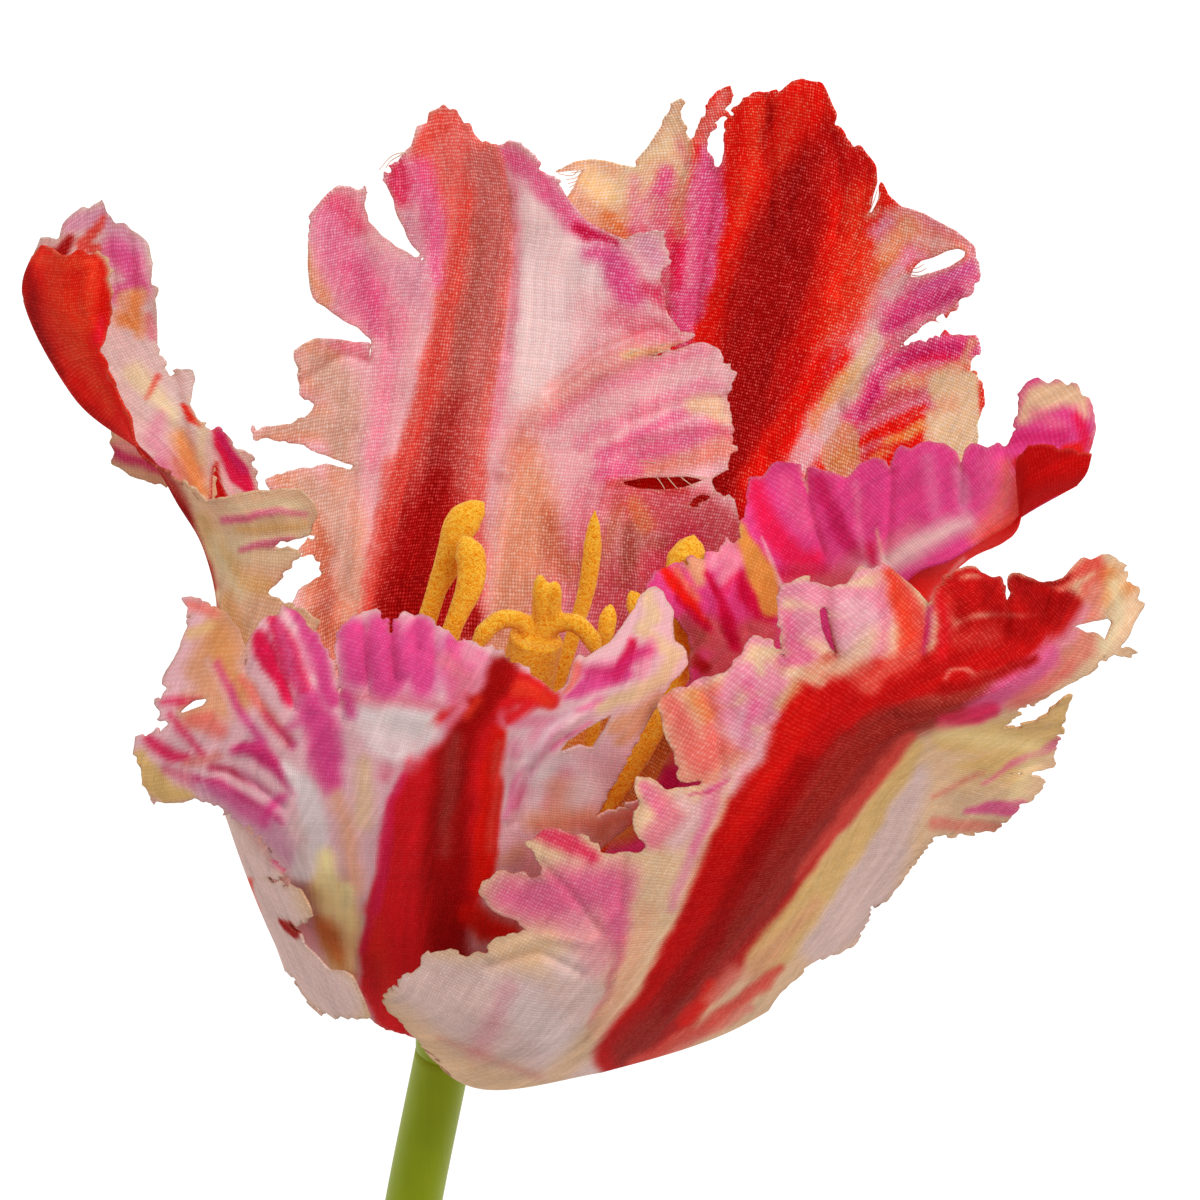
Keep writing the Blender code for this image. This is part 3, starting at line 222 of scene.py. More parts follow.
RIGHT_CUT = dict(azimuth=97, whorl=0, crease=1.0, rows=[
    [(-1, -39, 13), (2, -36.8, 8), (3.1, -34.1, 3), (2, -31, -2), (-1.2, -27.8, -5)],
    [(12, -33, 20), (16, -29, 15), (17.7, -23.3, 10), (15.8, -17.9, 3), (7.5, -13.5, 5)],
    [(25, -21, 20), (26.5, -16.5, 19), (24.8, -11.4, 17), (18.5, -5.1, 10), (3.6, -.2, 19)],
    [(32.2, -1.5, 14), (31.7, -.5, 18), (30, 1.2, 22), (24, 5.5, 13), (12.5, 12, 5)],
    [(36.4, 3.8, 16), (36.2, 4.1, 21), (35.3, 4.2, 27), (30.5, 10, 18), (24, 17, 12)],
    [(41.6, 7.2, 27.5), (41.4, 7.3, 29), (40.8, 7.6, 30), (36, 12.5, 22), (31.5, 19, 16)],
    [(42, 14.8, 37), (42.8, 11.5, 36), (43.5, 9.3, 32), (41, 15, 26), (39, 20.5, 22)],
    [(49, 14.5, 37), (48.5, 12.8, 36), (47.5, 11.5, 34), (50, 20, 30), (45, 24.5, 27)],
], back=[
], edge=[
    (-11, -38), (-4, -29), (7.5, -12), (9, -8), (8.9, -6), (9.3, -5.2), (8.8, -3.4), (7.2, -1.3),
    (5.2, -.8), (4.2, -.1), (4.7, 1.6), (5.3, 2.6), (6, 3.3), (7.5, 3.6), (9, 3.1), (9.1, 4), (10.2, 4),
    (10.5, 4.8), (11.1, 4.9), (11.7, 4.6), (12.3, 5.5), (12.8, 5.8), (13.4, 5.4), (14.2, 7), (15.1, 12.2),
    (16.5, 12.3), (17.2, 13.7), (19, 13.8), (20, 13.5), (20.6, 11.5), (20.9, 13.3), (24.8, 12.2),
    (26, 13.4), (27.5, 14.3), (28.5, 13.8), (29.1, 12.6), (29.6, 14.8), (30.2, 15.4), (31.2, 15),
    (33, 15.8), (34.5, 15.5), (35.5, 14.8), (36.1, 12.8), (36.6, 14.8), (37.2, 15.6), (38.8, 15),
    (39.8, 15.6), (40.6, 15), (41.3, 16), (42, 20.5), (42.8, 21.7), (43.7, 22.2), (44.8, 21.4),
    (45.7, 22.2), (46.7, 21.3), (47.4, 21.9), (48, 20.5), (48.8, 20.2), (49.2, 18.5), (49.2, 17),
    (48.5, 14.5), (50, 9), (46, 6), (42, 4), (36, 0), (30, -6), (27, -16), (18, -28), (6, -37), (-7, -41),
], holes=[
], folds=[
    (-.8, (20.7, 13, .45), (21.1, 8.6, .45), (22.4, 4.6, .4)),
    (-.7, (29.3, 12.6, .45), (29, 8, .45), (28.6, 4, .4)),
    (-.6, (36.2, 13, .45), (36, 9.6, .4)),
    (.5, (23.2, 12.4, .8), (24.6, 8, .9), (26.4, 5, .8)),
    (.4, (33, 15, 1.2), (32.6, 9, 1.2)),
    (-.5, (40.6, 15, .5), (40.2, 11, .5)),
    (.5, (11.4, 4.2, .6), (12.6, 0, .6), (13.4, -3.4, .5)),
    (-.6, (13.4, 5, .5), (14, 1, .5), (14.6, -3, .4)),
    (-.5, (8.8, 3, .4), (10.6, 0, .5), (12, -3.4, .4)),
])
FRONT_RIGHT_CUT = dict(azimuth=47, whorl=1, crease=0.6, rows=[
    [(-15, -45, 14), (-11, -46.2, 13), (-6, -45, 10), (-1.5, -42.2, 6), (1, -39, 1)],
    [(-20.2, -43, 24), (-12, -48.6, 25), (.5, -47, 22), (11.5, -43.7, 13), (19.5, -39, 2)],
    [(-24, -36, 34), (-8, -43, 38), (8, -40, 36), (20, -35.5, 24), (29, -30.5, 10)],
    [(-17, -27, 43), (0, -33.5, 46), (14.5, -31.5, 44), (25, -27, 33), (36, -25, 20)],
    [(-8, -17, 48), (8, -23, 51), (20.5, -23, 51), (30, -19, 40), (45, -22, 26)],
    [(3, -4, 46), (18, -12.5, 52), (26.5, -15, 53), (36, -13.5, 44), (48.5, -15, 31)],
    [(16, 4.5, 44), (27, -4, 51), (34.5, -10.8, 54), (41.5, -10.5, 46), (49, -12, 36)],
    [(31, 5, 46), (37.5, -1, 50), (42, -7, 52), (46, -7, 46), (53, -8, 37)],
    [(45, 6, 44), (46.5, 5, 45), (48.7, 4, 46), (53, 5, 42), (56, -4, 37)],
], edge=[
    (-21.5, -39.6), (-20, -38.5), (-19.6, -37.5), (-17.8, -36.5), (-17.6, -35.5), (-16.4, -35),
    (-11.2, -35.5), (-10.9, -34), (-8.8, -33.6), (-7.2, -32.6), (-10, -31.3), (-12, -29), (-11.4, -28),
    (-10, -26.8), (-5.3, -28), (-6.2, -25.5), (-7, -24), (-5.5, -23.2), (-4, -22.8), (-1, -23.8),
    (.7, -25.5), (2.5, -25), (4, -25.2), (4.5, -24.5), (3.2, -21.8), (4, -20), (3.4, -18.8), (3.7, -17.6),
    (5, -17.8), (6.8, -19), (13.5, -17.4), (10, -18.2), (8.2, -18.2), (6.8, -14), (6, -10.8), (6.4, -9.8),
    (8, -8.8), (9, -8.5), (10, -7.7), (12, -7.2), (13.8, -6), (14.2, -5), (15, -3.7), (16, -3.6),
    (17.2, -4.2), (18.4, -5.8), (17.8, -3), (17.8, .8), (20.3, 2.2), (22.6, 1.2), (23.3, 1.5), (24.5, 1.4),
    (25.8, 3.2), (27, 2.7), (28.2, 3.5), (28.8, 3.2), (32.4, 0), (32.7, -.6), (33.3, .8), (34.2, 1.9),
    (35.4, 2.8), (36.5, 3.1), (37.2, 3.1), (38, 2.5), (39, 2.2), (40, 2.4), (40.4, -1), (40.7, 2.3),
    (41.8, 2.6), (43.5, 1.7), (45, 1.8), (46, 2.2), (47.8, 4), (49, 4.5), (50.5, 4.5), (52.2, 3.6),
    (52.1, 2), (53.5, .8), (53.2, 0), (54, -.5), (52, -4.5), (53.7, -5.2), (50, -5.8), (49, -6.8),
    (41.8, -11), (39.8, -12.7), (42, -12.6), (44, -11.8), (47.3, -8.8), (46.3, -11), (46, -12.5),
    (45.2, -15), (45, -16.5), (44, -17), (40, -17.3), (43.8, -17.5), (44.2, -18.4), (44, -19.3), (43, -20),
    (41.8, -20.3), (41.4, -21.2), (40.5, -22), (38.5, -21.9), (40.2, -22.5), (39.4, -22.9), (37.5, -23.2),
    (33.2, -23.3), (33, -24.2), (32, -25), (29.6, -28.6), (28.4, -30), (27, -30.6), (26.2, -33),
    (25.5, -34.5), (24.5, -35), (21, -36.2), (20, -37), (19, -38.3), (17.7, -39.3), (15, -44), (5, -50),
    (-10, -52), (-15, -48.5), (-15, -47.3), (-21.5, -40.2),
], holes=[
    [(21.8, -1), (22.4, -.5), (23.6, -5.5), (22.8, -4.8), (22, -2.8)],
    [(47, -2.6), (50.5, -1.8), (51, -2.2), (50.3, -4), (49.3, -3.2), (48.5, -3.3)],
], folds=[
    (-.9, (22.6, .8, .4), (22.8, -2, .45), (23.4, -5.6, .4)),
    (-.8, (32.4, -.6, .4), (32.3, -3, .4), (32, -6, .4)),
    (-.7, (40.4, 1.8, .4), (40.6, -1, .45), (40.4, -3.4, .4)),
    (.5, (20.4, 1, .8), (20.8, -5, .8)),
    (.5, (26.4, 2, 1), (27, -4, 1)),
    (.5, (36.4, 2, 1), (36, -5, 1)),
    (-.6, (44.6, 1.4, .5), (44, -2.4, .5)),
    (.7, (30, -11, .7), (36, -9.8, .7), (42, -7.4, .7), (48, -3.4, .6), (52, 1.4, .6)),
    (-.6, (18, -4.4, .5), (17.6, -8, .5), (16.2, -12, .5)),
    (-.6, (10.2, -8, .5), (11.4, -12, .5), (12, -17, .5)),
    (.5, (14.4, -5, .8), (14.2, -11, .8)),
    (-.6, (4, -20, .5), (2.4, -25.2, .5), (2, -30, .5)),
    (-.6, (-6, -26, .5), (-3, -29, .6), (0, -33, .6)),
    (.6, (-10.6, -35.4, .5), (-6, -33.4, .6), (-1, -34, .6)),
    (-.6, (-11, -36.4, .5), (-6, -35, .6), (-2, -37, .5)),
    (.5, (-1, -43.6, .4), (1.2, -39, .5), (2.2, -34, .5)),
    (.4, (38, -16, .6), (44.6, -12.6, .6)),
    (-.4, (37, -18, .5), (44, -16.2, .5)),
])
FRONT_LEFT_CUT = dict(azimuth=-15, whorl=0, crease=0.0, rows=[
    [(-27.5, -39, 6), (-24, -43.3, 8.5), (-18.5, -44.6, 12), (-13.5, -44, 12), (-9, -41.5, 9)],
    [(-31.8, -33, 10), (-26.5, -35.3, 18), (-19.2, -36.2, 28), (-12.5, -36.5, 28), (-6, -34, 23)],
    [(-36, -25.5, 26), (-28, -26, 33), (-17.5, -26, 41), (-8.8, -26.5, 40), (-1, -26, 34)],
    [(-47, -20, 26), (-32, -18, 38), (-15, -19, 48), (-7, -18.5, 46), (5, -20, 40)],
    [(-50, -12, 28), (-31, -10, 41), (-13.8, -13.5, 52), (-4.5, -13.5, 50), (8, -14, 43)],
    [(-49, -2, 28), (-29, -2.5, 40), (-10.5, -9, 53), (-1, -8, 50), (10, -5, 43)],
    [(-42, 4, 28), (-23, 1.5, 37), (-8.2, -4, 50), (0, 1, 46), (8, 4, 41)],
], edge=[
    (-18.5, -43.7), (-20.5, -43.3), (-28, -38.5), (-29.6, -36), (-30.4, -32), (-30.4, -28.5), (-31.2, -27),
    (-33.5, -24), (-35, -22.5), (-38, -20.6), (-40.3, -19.5), (-41.5, -20.2), (-44.2, -20), (-45, -19.3),
    (-45.7, -17.5), (-45.7, -16.5), (-46.5, -15), (-46.1, -14), (-43.8, -12.8), (-43.2, -12.2),
    (-44.2, -11.9), (-43.7, -11.2), (-44.2, -10.2), (-42.8, -8.8), (-43.6, -8.3), (-43.3, -7.2),
    (-41.8, -4.8), (-41, -2.2), (-40.9, -1.3), (-41.7, .2), (-40, .1), (-37.5, -.9), (-36, -3),
    (-35.3, -6.5), (-34.9, -4.5), (-33.8, -2.2), (-33, -1.7), (-31.9, -1.7), (-31.7, -.6), (-30.5, -1.2),
    (-28.2, -3.4), (-26.7, -6), (-25.7, -10.5), (-25.9, -7), (-26.4, -4.5), (-26, -3), (-24.5, -1.7),
    (-23.8, -1.7), (-22.5, -.8), (-21.2, -2.2), (-20.9, -4), (-20.5, -2.5), (-19.5, -1.3), (-18.5, -1.8),
    (-17.5, -1.6), (-16.5, -2.2), (-15.2, -3.4), (-14, -4.2), (-13, -4), (-11.5, -5), (-10.7, -4.8),
    (-7.3, -6.8), (-6.5, -7.7), (-4.4, -9.2), (-3.3, -8.8), (-2.8, -6.5), (-2.2, -5.5), (-1.5, -6),
    (1.2, -4), (3.2, -1.5), (4, 0), (4.8, 1), (5.5, 1.2), (6.2, .8), (7.2, -1.2), (7, -2.5), (7.2, -4),
    (8.6, -5.2), (8.5, -6.5), (6.5, -8.8), (-.8, -22), (.5, -21.2), (4, -20), (5, -22), (4, -27), (0, -32),
    (-6, -37.5), (-12, -42),
], holes=[
    [(-4.1, -15.2), (-3.2, -14), (-1.5, -12.8), (1.2, -11.3), (.5, -12.8), (-.8, -14.8), (-2, -14.4)],
    [(-42, -11.4), (-41.7, -10.9), (-40.5, -10), (-39, -9.8), (-39.5, -10.5)],
], folds=[
    (-.9, (-20.9, -2.5, .45), (-20.7, -5, .45), (-20.4, -8, .4)),
    (-.8, (-23.6, -2, .4), (-23.4, -5, .45), (-22.9, -9.5, .4)),
    (-.6, (-18.4, -2, .4), (-18.2, -5, .4)),
    (-.6, (-16.4, -3, .4), (-16.5, -6, .4)),
    (.5, (-22.2, -1, .6), (-22, -7, .6)),
    (.5, (-19.4, -2, .6), (-19.3, -7, .6)),
    (-1.2, (-21, -13.2, 1.8), (-18.8, -13.6, 1.8)),
    (.7, (-31.6, -2, .7), (-30.4, -5.5, .8), (-28.6, -10.5, .8)),
    (-.6, (-33, -4, .4), (-31.4, -8, .4), (-30.2, -10.8, .4)),
    (-.6, (-26, -4, .5), (-26, -8, .5), (-25.6, -12, .5)),
    (.6, (-38.5, -18.4, .7), (-35, -19.6, .8), (-32, -22, .9), (-30, -25, .9)),
    (-.6, (-38, -16.9, .4), (-34.5, -18, .5), (-31.4, -20.6, .5)),
    (.5, (-36.5, -15, .5), (-33.6, -15.2, .6), (-31, -17.6, .6)),
    (-.5, (-35.3, -6.8, .4), (-33.2, -11, .4), (-30.6, -14.6, .4)),
    (.6, (-9.2, -21.6, .5), (-8, -17, .5), (-5, -13.4, .5), (-1, -11, .5)),
    (-.6, (-8.4, -22, .5), (-6.8, -17, .5), (-3.6, -13.6, .5)),
    (.5, (-1.5, -6.2, .5), (1, -6.4, .6), (4, -3, .6)),
])
LEFT_CUT = dict(azimuth=-95, whorl=1, crease=1.0, rows=[
    [(-22, -31.7, -5), (-25, -33.5, -2), (-28.5, -36.8, 2), (-29, -40.6, 7), (-23, -44, 13)],
    [(-28, -19, -7), (-32.5, -23, -1), (-34.3, -29, 8), (-31.3, -36, 19), (-22.5, -43, 27)],
    [(-31, -8, -5), (-35, -11, 1), (-37.3, -20, 10), (-35.8, -25, 17), (-27.5, -31, 34)],
    [(-32, -4, -2), (-36, -5, 4), (-39, -10, 11), (-38.5, -16, 16), (-31, -24.3, 16)],
    [(-30, 4, 4), (-34.5, 4, 9), (-38.2, -1.5, 14), (-37, -5, 19), (-27, -9, 24)],
    [(-30, 5, 10), (-34.5, 5, 14), (-39.5, 5, 19), (-35.5, 4, 24), (-27, 3, 28)],
    [(-31, 12, 16), (-37.5, 12, 20), (-42, 9.5, 24), (-36, 9, 29), (-27, 11, 32)],
    [(-33, 18.5, 22), (-40.5, 17, 25), (-45.2, 14.4, 28), (-44.8, 13.8, 31), (-44, 13.2, 32)],
    [(-39, 25.5, 26), (-46, 23, 27), (-52.2, 20, 29), (-49.5, 22, 34), (-47, 20.5, 35)],
    [(-42, 33, 28), (-49, 31, 28), (-57.4, 29.8, 30), (-53, 29, 36), (-47.8, 30, 37)],
    [(-44, 38.5, 30), (-50, 42, 30), (-56, 35.8, 32), (-53, 36, 37), (-48.5, 36, 37)],
], back=[
    (-25, -26), (-31, -15), (-33.8, -8), (-34, 2), (-33.8, 6), (-32.5, 8), (-34.5, 11), (-34.7, 14.5),
    (-36.3, 15), (-37.8, 17.3), (-38.8, 16.8), (-40, 17.6), (-41, 19.5), (-40.6, 22), (-40.8, 23),
    (-42.2, 22.9), (-44, 21.2), (-43, 22.2), (-44.2, 25), (-44.4, 29), (-44.2, 31), (-44.8, 31.5),
    (-44.7, 33), (-45.2, 35.5), (-47.5, 37.7), (-48.5, 37.5), (-49.7, 39.8), (-51, 38.9), (-51.6, 39.3),
    (-53.5, 37.5), (-53.8, 36), (-60, 36), (-60, 26), (-54, 18), (-44, 6), (-41, -10), (-40, -24),
    (-32, -38), (-24, -40),
], edge=[
    (-15, -40), (-22.8, -42.5), (-22.2, -42), (-21.7, -40.3), (-23, -38.9), (-25.5, -37.1), (-27, -37),
    (-28.2, -35.6), (-29.5, -34.5), (-30, -33.4), (-31.7, -32), (-30, -32.5), (-28.9, -31.5),
    (-29.2, -30.5), (-30, -28.9), (-33.8, -27.8), (-31, -27.6), (-31, -26.5), (-33.8, -22.5), (-34, -14),
    (-30, -8), (-28, -2), (-32.2, 0), (-33.2, .7), (-32.2, 2), (-30, 4.2), (-30, 5), (-33.8, 5.2),
    (-31.5, 6), (-29, 6.5), (-28.8, 6.3), (-28.3, 8.5), (-28.8, 9.7), (-30, 11), (-34.5, 10.8), (-39, 9.7),
    (-42, 11.8), (-45, 14.7), (-47.5, 19.5), (-49.2, 23.5), (-50, 24.8), (-49.3, 26), (-48.8, 28.5),
    (-48.7, 31), (-49, 34.2), (-50.2, 34.7), (-51, 34.3), (-52, 34.9), (-52.9, 34.2), (-53.8, 34.3),
    (-54.6, 34.9), (-55.6, 35.3), (-57.2, 33.6), (-57.6, 31), (-57, 26), (-54, 18), (-44, 6), (-41, -10),
    (-40, -24), (-35, -34), (-30.4, -37.8), (-29.8, -39.2), (-28.7, -40.4), (-27.5, -41.2), (-24.2, -41.8),
], holes=[
], folds=[
    (.6, (-51, 33, .7), (-50.8, 28, .7), (-48.6, 22, .6)),
    (-.5, (-47, 36, .5), (-46.6, 31, .5)),
    (-.6, (-42.4, 22, .5), (-41.6, 17, .5), (-40, 12, .5)),
    (.4, (-37, 8.4, .4), (-31, 8.9, .4)),
    (.4, (-36, 5.4, .4), (-31, 6.2, .4)),
    (-.5, (-32.6, -26, .5), (-28, -29, .5)),
    (-.5, (-33.6, -31.4, .4), (-29.6, -31.6, .4)),
])
LEFT_LOBE_CUT = dict(azimuth=None, whorl=1, crease=0.0, rows=[
    [(-37, 8, 20.3), (-37.3, 9.8, 20.6), (-37.6, 11.5, 21), (-38, 13.2, 21.6), (-38.5, 15, 22.3)],
    [(-41.5, 9, 20.8), (-42, 10.9, 21.2), (-42.5, 12.7, 21.6), (-43.2, 14.5, 22.2), (-44, 16.3, 23)],
    [(-45, 9.8, 21.5), (-45.2, 11.9, 22), (-45.4, 13.8, 22.5), (-45.8, 15.7, 23), (-46.3, 17.6, 23.7)],
    [(-50, 10.5, 22.5), (-50, 12.5, 23), (-50, 14.3, 23.5), (-50, 16.2, 24), (-50, 18.3, 24.5)],
], edge=[
    (-38.6, 9.8), (-41.8, 10.8), (-43.5, 11.6), (-47, 12.5), (-48.2, 13), (-48.9, 14.3), (-48.7, 15),
    (-48.9, 16), (-48.7, 17.2), (-47, 17), (-44, 15.2), (-42, 14.5), (-38.6, 13.6),
], holes=[
], folds=[
])
PETALS = {
    "petal_back_left": BACK_LEFT_CUT,
    "petal_back_right": BACK_RIGHT_CUT,
    "petal_right": RIGHT_CUT,
    "petal_front_right": FRONT_RIGHT_CUT,
    "petal_front_left": FRONT_LEFT_CUT,
    "petal_left": LEFT_CUT,
    "petal_left_lobe": LEFT_LOBE_CUT,
}

# How each petal is printed: strokes over a ground, (dye, opacity, softness, (x, y, half width), ...). A few
# strokes paint shade, shadow, highlight and reflection instead of dye; each is marked.
# Weave is how strongly its threads show. Its brightness factor scales its colours up: painted light that
# lightens petals standing in shade.
BACK_LEFT_PRINT = dict(ground="blush", weave=0.95, bright=1.07, print=[
    ("white", .9, 1.6, (-5, 39.5, 3), (-4, 35, 4.8), (-4.5, 30, 4.5), (-7, 21, 2.2)),
    ("blush", .7, 1.5, (-1, 29, 2), (0, 25, 2)),
    ("tan", .9, 1.6, (-7.5, 15, 1.2), (-7, 11, 2.4), (-7, 6, 3.4), (-8, -6, 4)),
    ("rose", .6, 2, (-1, 10, 2), (-1, 4, 4), (-2, -4, 5)),
    ("pink", .8, .8, (-5, 18, .8), (0, 21, 1.1), (5, 23.3, 1.2), (10, 25, 1)),
    ("blush", .9, .7, (-1, 19.5, .8), (10, 23.3, .9)),
    ("pink", .8, .6, (-2, 16, .8), (4, 19, .9), (10, 21.5, .7), (12, 21.8, .4)),
    ("hot_pink", .75, .6, (0, 14.5, .7), (9, 19, .4)),
    ("cream", .9, .6, (9.5, 19.6, .7), (11.5, 19.6, 1), (12, 18, 1.1)),
    ("hot_pink", .7, .8, (0, 12.8, .8), (6, 15.3, 1.2), (11, 17.2, 1), (12.8, 16.6, .6)),
    ("salmon", .75, .8, (4, 12.9, .5), (9, 14.2, .9), (12.5, 15.5, 1.2)),
    ("hot_pink", .8, .6, (1, 12.4, .4), (4, 13, .5)),
    ("dusky", .95, 1, (2, 10, 1.6), (6, 9, 2.8), (10, 8.6, 2.6), (13, 6.5, 2.2), (9, 3, 4.6), (4, -1, 5)),
    ("dusky", .6, 2, (-1, 6, 1.5), (0, 0, 3)),
    ("ochre", .5, .6, (3.5, 10, .7), (4.5, 7.5, 1.1)),
    ("deep_red", .6, .6, (1, 11.8, .4), (5, 11.6, .5), (8.5, 11.2, .4)),
    # Painted shade: a soft salmon line along the crease of the lower lobe.
    ("salmon", .45, 1.4, (6, 26.2, .8), (0, 23.4, 1.1), (-4, 20.6, 1), (-7, 18, 1), (-8.5, 15, 1)),
    ("yellow", .8, .3, (2.3, 24.6, .3), (8, 26, .3)),
    ("magenta", .8, 1, (-1, 35, .6), (1, 34.5, 1.2), (2.2, 32.5, 1.6), (3, 30.8, 1.3)),
    ("lilac", .9, .8, (4.5, 36, .9), (5.8, 34.5, 1)),
    ("crimson", .65, .7, (4.6, 31.5, .6), (6, 30.8, .9), (7, 29.6, .7)),
    ("rose", .8, 1.2, (1.5, 28.5, 1), (4, 27.7, 1.3), (7.5, 26.8, 1)),
    ("hot_pink", .85, .8, (-9.3, 44.8, 1), (-6.8, 43, 1.1), (-2.6, 38, 1), (.2, 36.6, .7)),
    ("wine", .8, .4, (-2.4, 37.6, .5), (-1.2, 36.9, .5), (1.4, 36.1, .3)),
    ("magenta", .45, 1.6, (-27.2, 38.6, 2), (-26, 34.8, 2.6), (-23.8, 31, 2.8), (-22, 28, 1.6)),
    ("crimson", .4, 1, (-27.3, 40.6, .9), (-25.6, 39.8, 1.3), (-24.6, 37.8, 1)),
    ("raspberry", .3, 1, (-25, 33.5, .8), (-23, 30.5, 1), (-22, 27, .8)),
    ("lilac", .75, 1, (-24.4, 36, .4), (-19, 31.8, 1.4), (-18, 29, 1.2)),
    ("tan", .9, .7, (-29.7, 35, .6), (-27.8, 29.9, .7)),
    ("pink", .8, 1, (-20.5, 28.5, 1.6), (-21.6, 19, 1.2), (-23, 14, 1)),
    ("blush", .6, .8, (-18.4, 29, .9), (-20, 21, .7), (-21.8, 15, .5)),
    ("tan", .9, 1, (-29, 25.3, 1.2), (-28.6, 22.5, 1.5), (-27.2, 24.5, 1)),
    ("rose", .7, .6, (-26.5, 25.7, .6), (-24.4, 25.4, .7), (-23.4, 24.6, .5)),
    ("tan", .95, .8, (-34.2, 16.3, .6), (-28.5, 17.6, 1.2), (-28, 19, .8)),
    ("tan", .9, 1.2, (-32.6, 12.3, .8), (-30, 11.4, 1.4), (-27, -4, 2.6)),
    ("salmon", .7, 1, (-28.6, 5, 1), (-27, -5, 2.2)),
    ("peach", .8, 1, (-25.6, 12, 1), (-24.8, 7, 1.2), (-24.8, -4, 1.4)),
    ("coral", 1, .55, (-15.3, 47.8, 2.6), (-14.6, 45, 4.3), (-12.5, 40, 3.6), (-12.1, 35, 3.5),
      (-12.9, 30, 3.6), (-14.8, 20, 4.1), (-16.7, 10, 4.9), (-18.8, -6, 5.8)),
    ("red_coral", .7, .7, (-15.8, 48.5, 1.2), (-18.6, 44.8, .5)),
    ("red_coral", .8, .9, (-13.3, 42, .5), (-14.6, 30, 1), (-18.3, 15, 1.3), (-20, 10, 1.3)),
    ("pink", .75, .6, (-8.6, 42, .4), (-8.3, 35, .5), (-8.8, 28, .5), (-10.8, 17, .6)),
    ("rose_brown", .9, .9, (-11.8, 43.8, 1.7), (-10.7, 40, 1.9), (-11, 35, 2.2), (-14, 20, 2.5),
      (-16.6, 10, 2.9)),
    ("umber", .5, .9, (-12.4, 38, .7), (-12.8, 32, .9), (-15, 20, 1), (-16.4, 15, 1.2)),
    ("red_coral", .9, .8, (-20.4, 14, .7), (-23.2, -2, 1.2)),
    ("dark_red", .55, 2.4, (-14.6, 20, .8), (-15.8, 15, 2), (-17.4, 6, 3.6)),
    ("maroon", .95, 1.6, (-16.8, 12.5, .6), (-17.8, 8, 2.2), (-18.4, 4, 2.8), (-19, -2, 3.2)),
    ("coral", .9, .9, (-12, 13, .5), (-12.4, 8.5, .8), (-12.3, 4, 1), (-12.6, -1, 1)),
    ("crimson", .75, .7, (-20.6, 43.8, .9), (-20.2, 42, 1.3), (-19.8, 40.6, .9)),
    ("hot_pink", .8, .9, (-18, 43.5, 1.2), (-17.2, 40, 1.3), (-16.6, 36.5, 1), (-16.4, 32, .6)),
    ("lilac", .8, .7, (-19.4, 38.8, .5), (-18, 33.5, .8)),
    # Painted shade: the dark golden inside of the bloom, seen in shade through the gap between the front
    # petals.
    ("ochre", 1, 1.2, (-3, -14, 2.4), (1, -13, 2.6), (5, -14, 3), (3, -19, 3), (-1, -22, 3)),
    ("brown", .7, 1.2, (5.5, -11, 1), (3, -18, 1.2)),
    ("wine", .35, 1.2, (6, 3, 1.4), (9, 6, 1.6), (7, 0, 1.4)),
    ("maroon", .9, 1.4, (-19, 3, 2), (-20, -3, 3)),
    ("deep_red", .6, 1.2, (-14.4, 9, .6), (-14, 4, 1.2), (-14.2, 0, 1.4)),
    ("tan", .8, 1.4, (-26.4, 11, 1.2), (-25.2, 20, .8)),
    ("pearl", .8, 1.4, (-29.4, 24, .8), (-26, 21.6, 1.4), (-24.6, 16, .8), (-26.6, 3, .5)),
    ("umber", .6, .9, (-28, -1.4, .7), (-26.8, 6, .3)),
    ("maroon", .9, 1.2, (-12.6, 1, .3), (-12.8, -3, 1.2)),
    ("umber", .9, .8, (2.6, 3.8, .7), (3, 7.2, .6)),
    ("orange", .8, .7, (7.2, 3.4, .5), (8.6, 4.6, .6)),
    # Painted shade: more of the shaded inside seen through the gap.
    ("ochre", 1, 1, (1.6, -11.4, 2), (4, -14, 2.4), (3.4, -18, 2.4)),
    ("sand", .85, 1.6, (-29.4, 24.4, .8), (-26.6, 22, 1.8), (-25.6, 18.6, 1.2), (-26, 14, .8)),
    ("clay", .85, 1.2, (-28.6, 1.4, .7), (-27.6, 5, .9), (-28, 8.6, .5)),
    ("clay", .8, 1, (-28.8, -1.6, .6), (-27, -3.4, 1)),
    ("clay", .9, 1.4, (-5.4, 9, .6), (-4.6, 5, 1), (-3.4, 3, 1), (-1.4, 4.4, .5)),
    ("umber", .7, 1, (2.4, 2, .6), (3.4, 6, .8), (6, 5.6, .7)),
    ("sand", 1, 1.2, (-29.6, 11.4, 1.2), (-27, 9.4, 1.3), (-26, 5.4, 1), (-25.4, 1, .7)),
    ("sand", 1, .8, (-34.6, 16.8, .3), (-28, 18, 1), (-26.4, 15.4, .8)),
    ("clay", .75, 1.3, (-1.6, 1.4, .8), (.4, 5, 1), (2, 9, .7)),
    ("white", .5, 1.4, (-7.4, 42, .5), (-6.6, 24, 1)),
    ("maroon", .9, 1.4, (-15.8, 12.4, .4), (-15.4, 3, 1.5), (-15.2, -2, 1.8)),
    ("coral", .8, .6, (-21.4, 14, .3), (-23.4, 2, .5)),
])
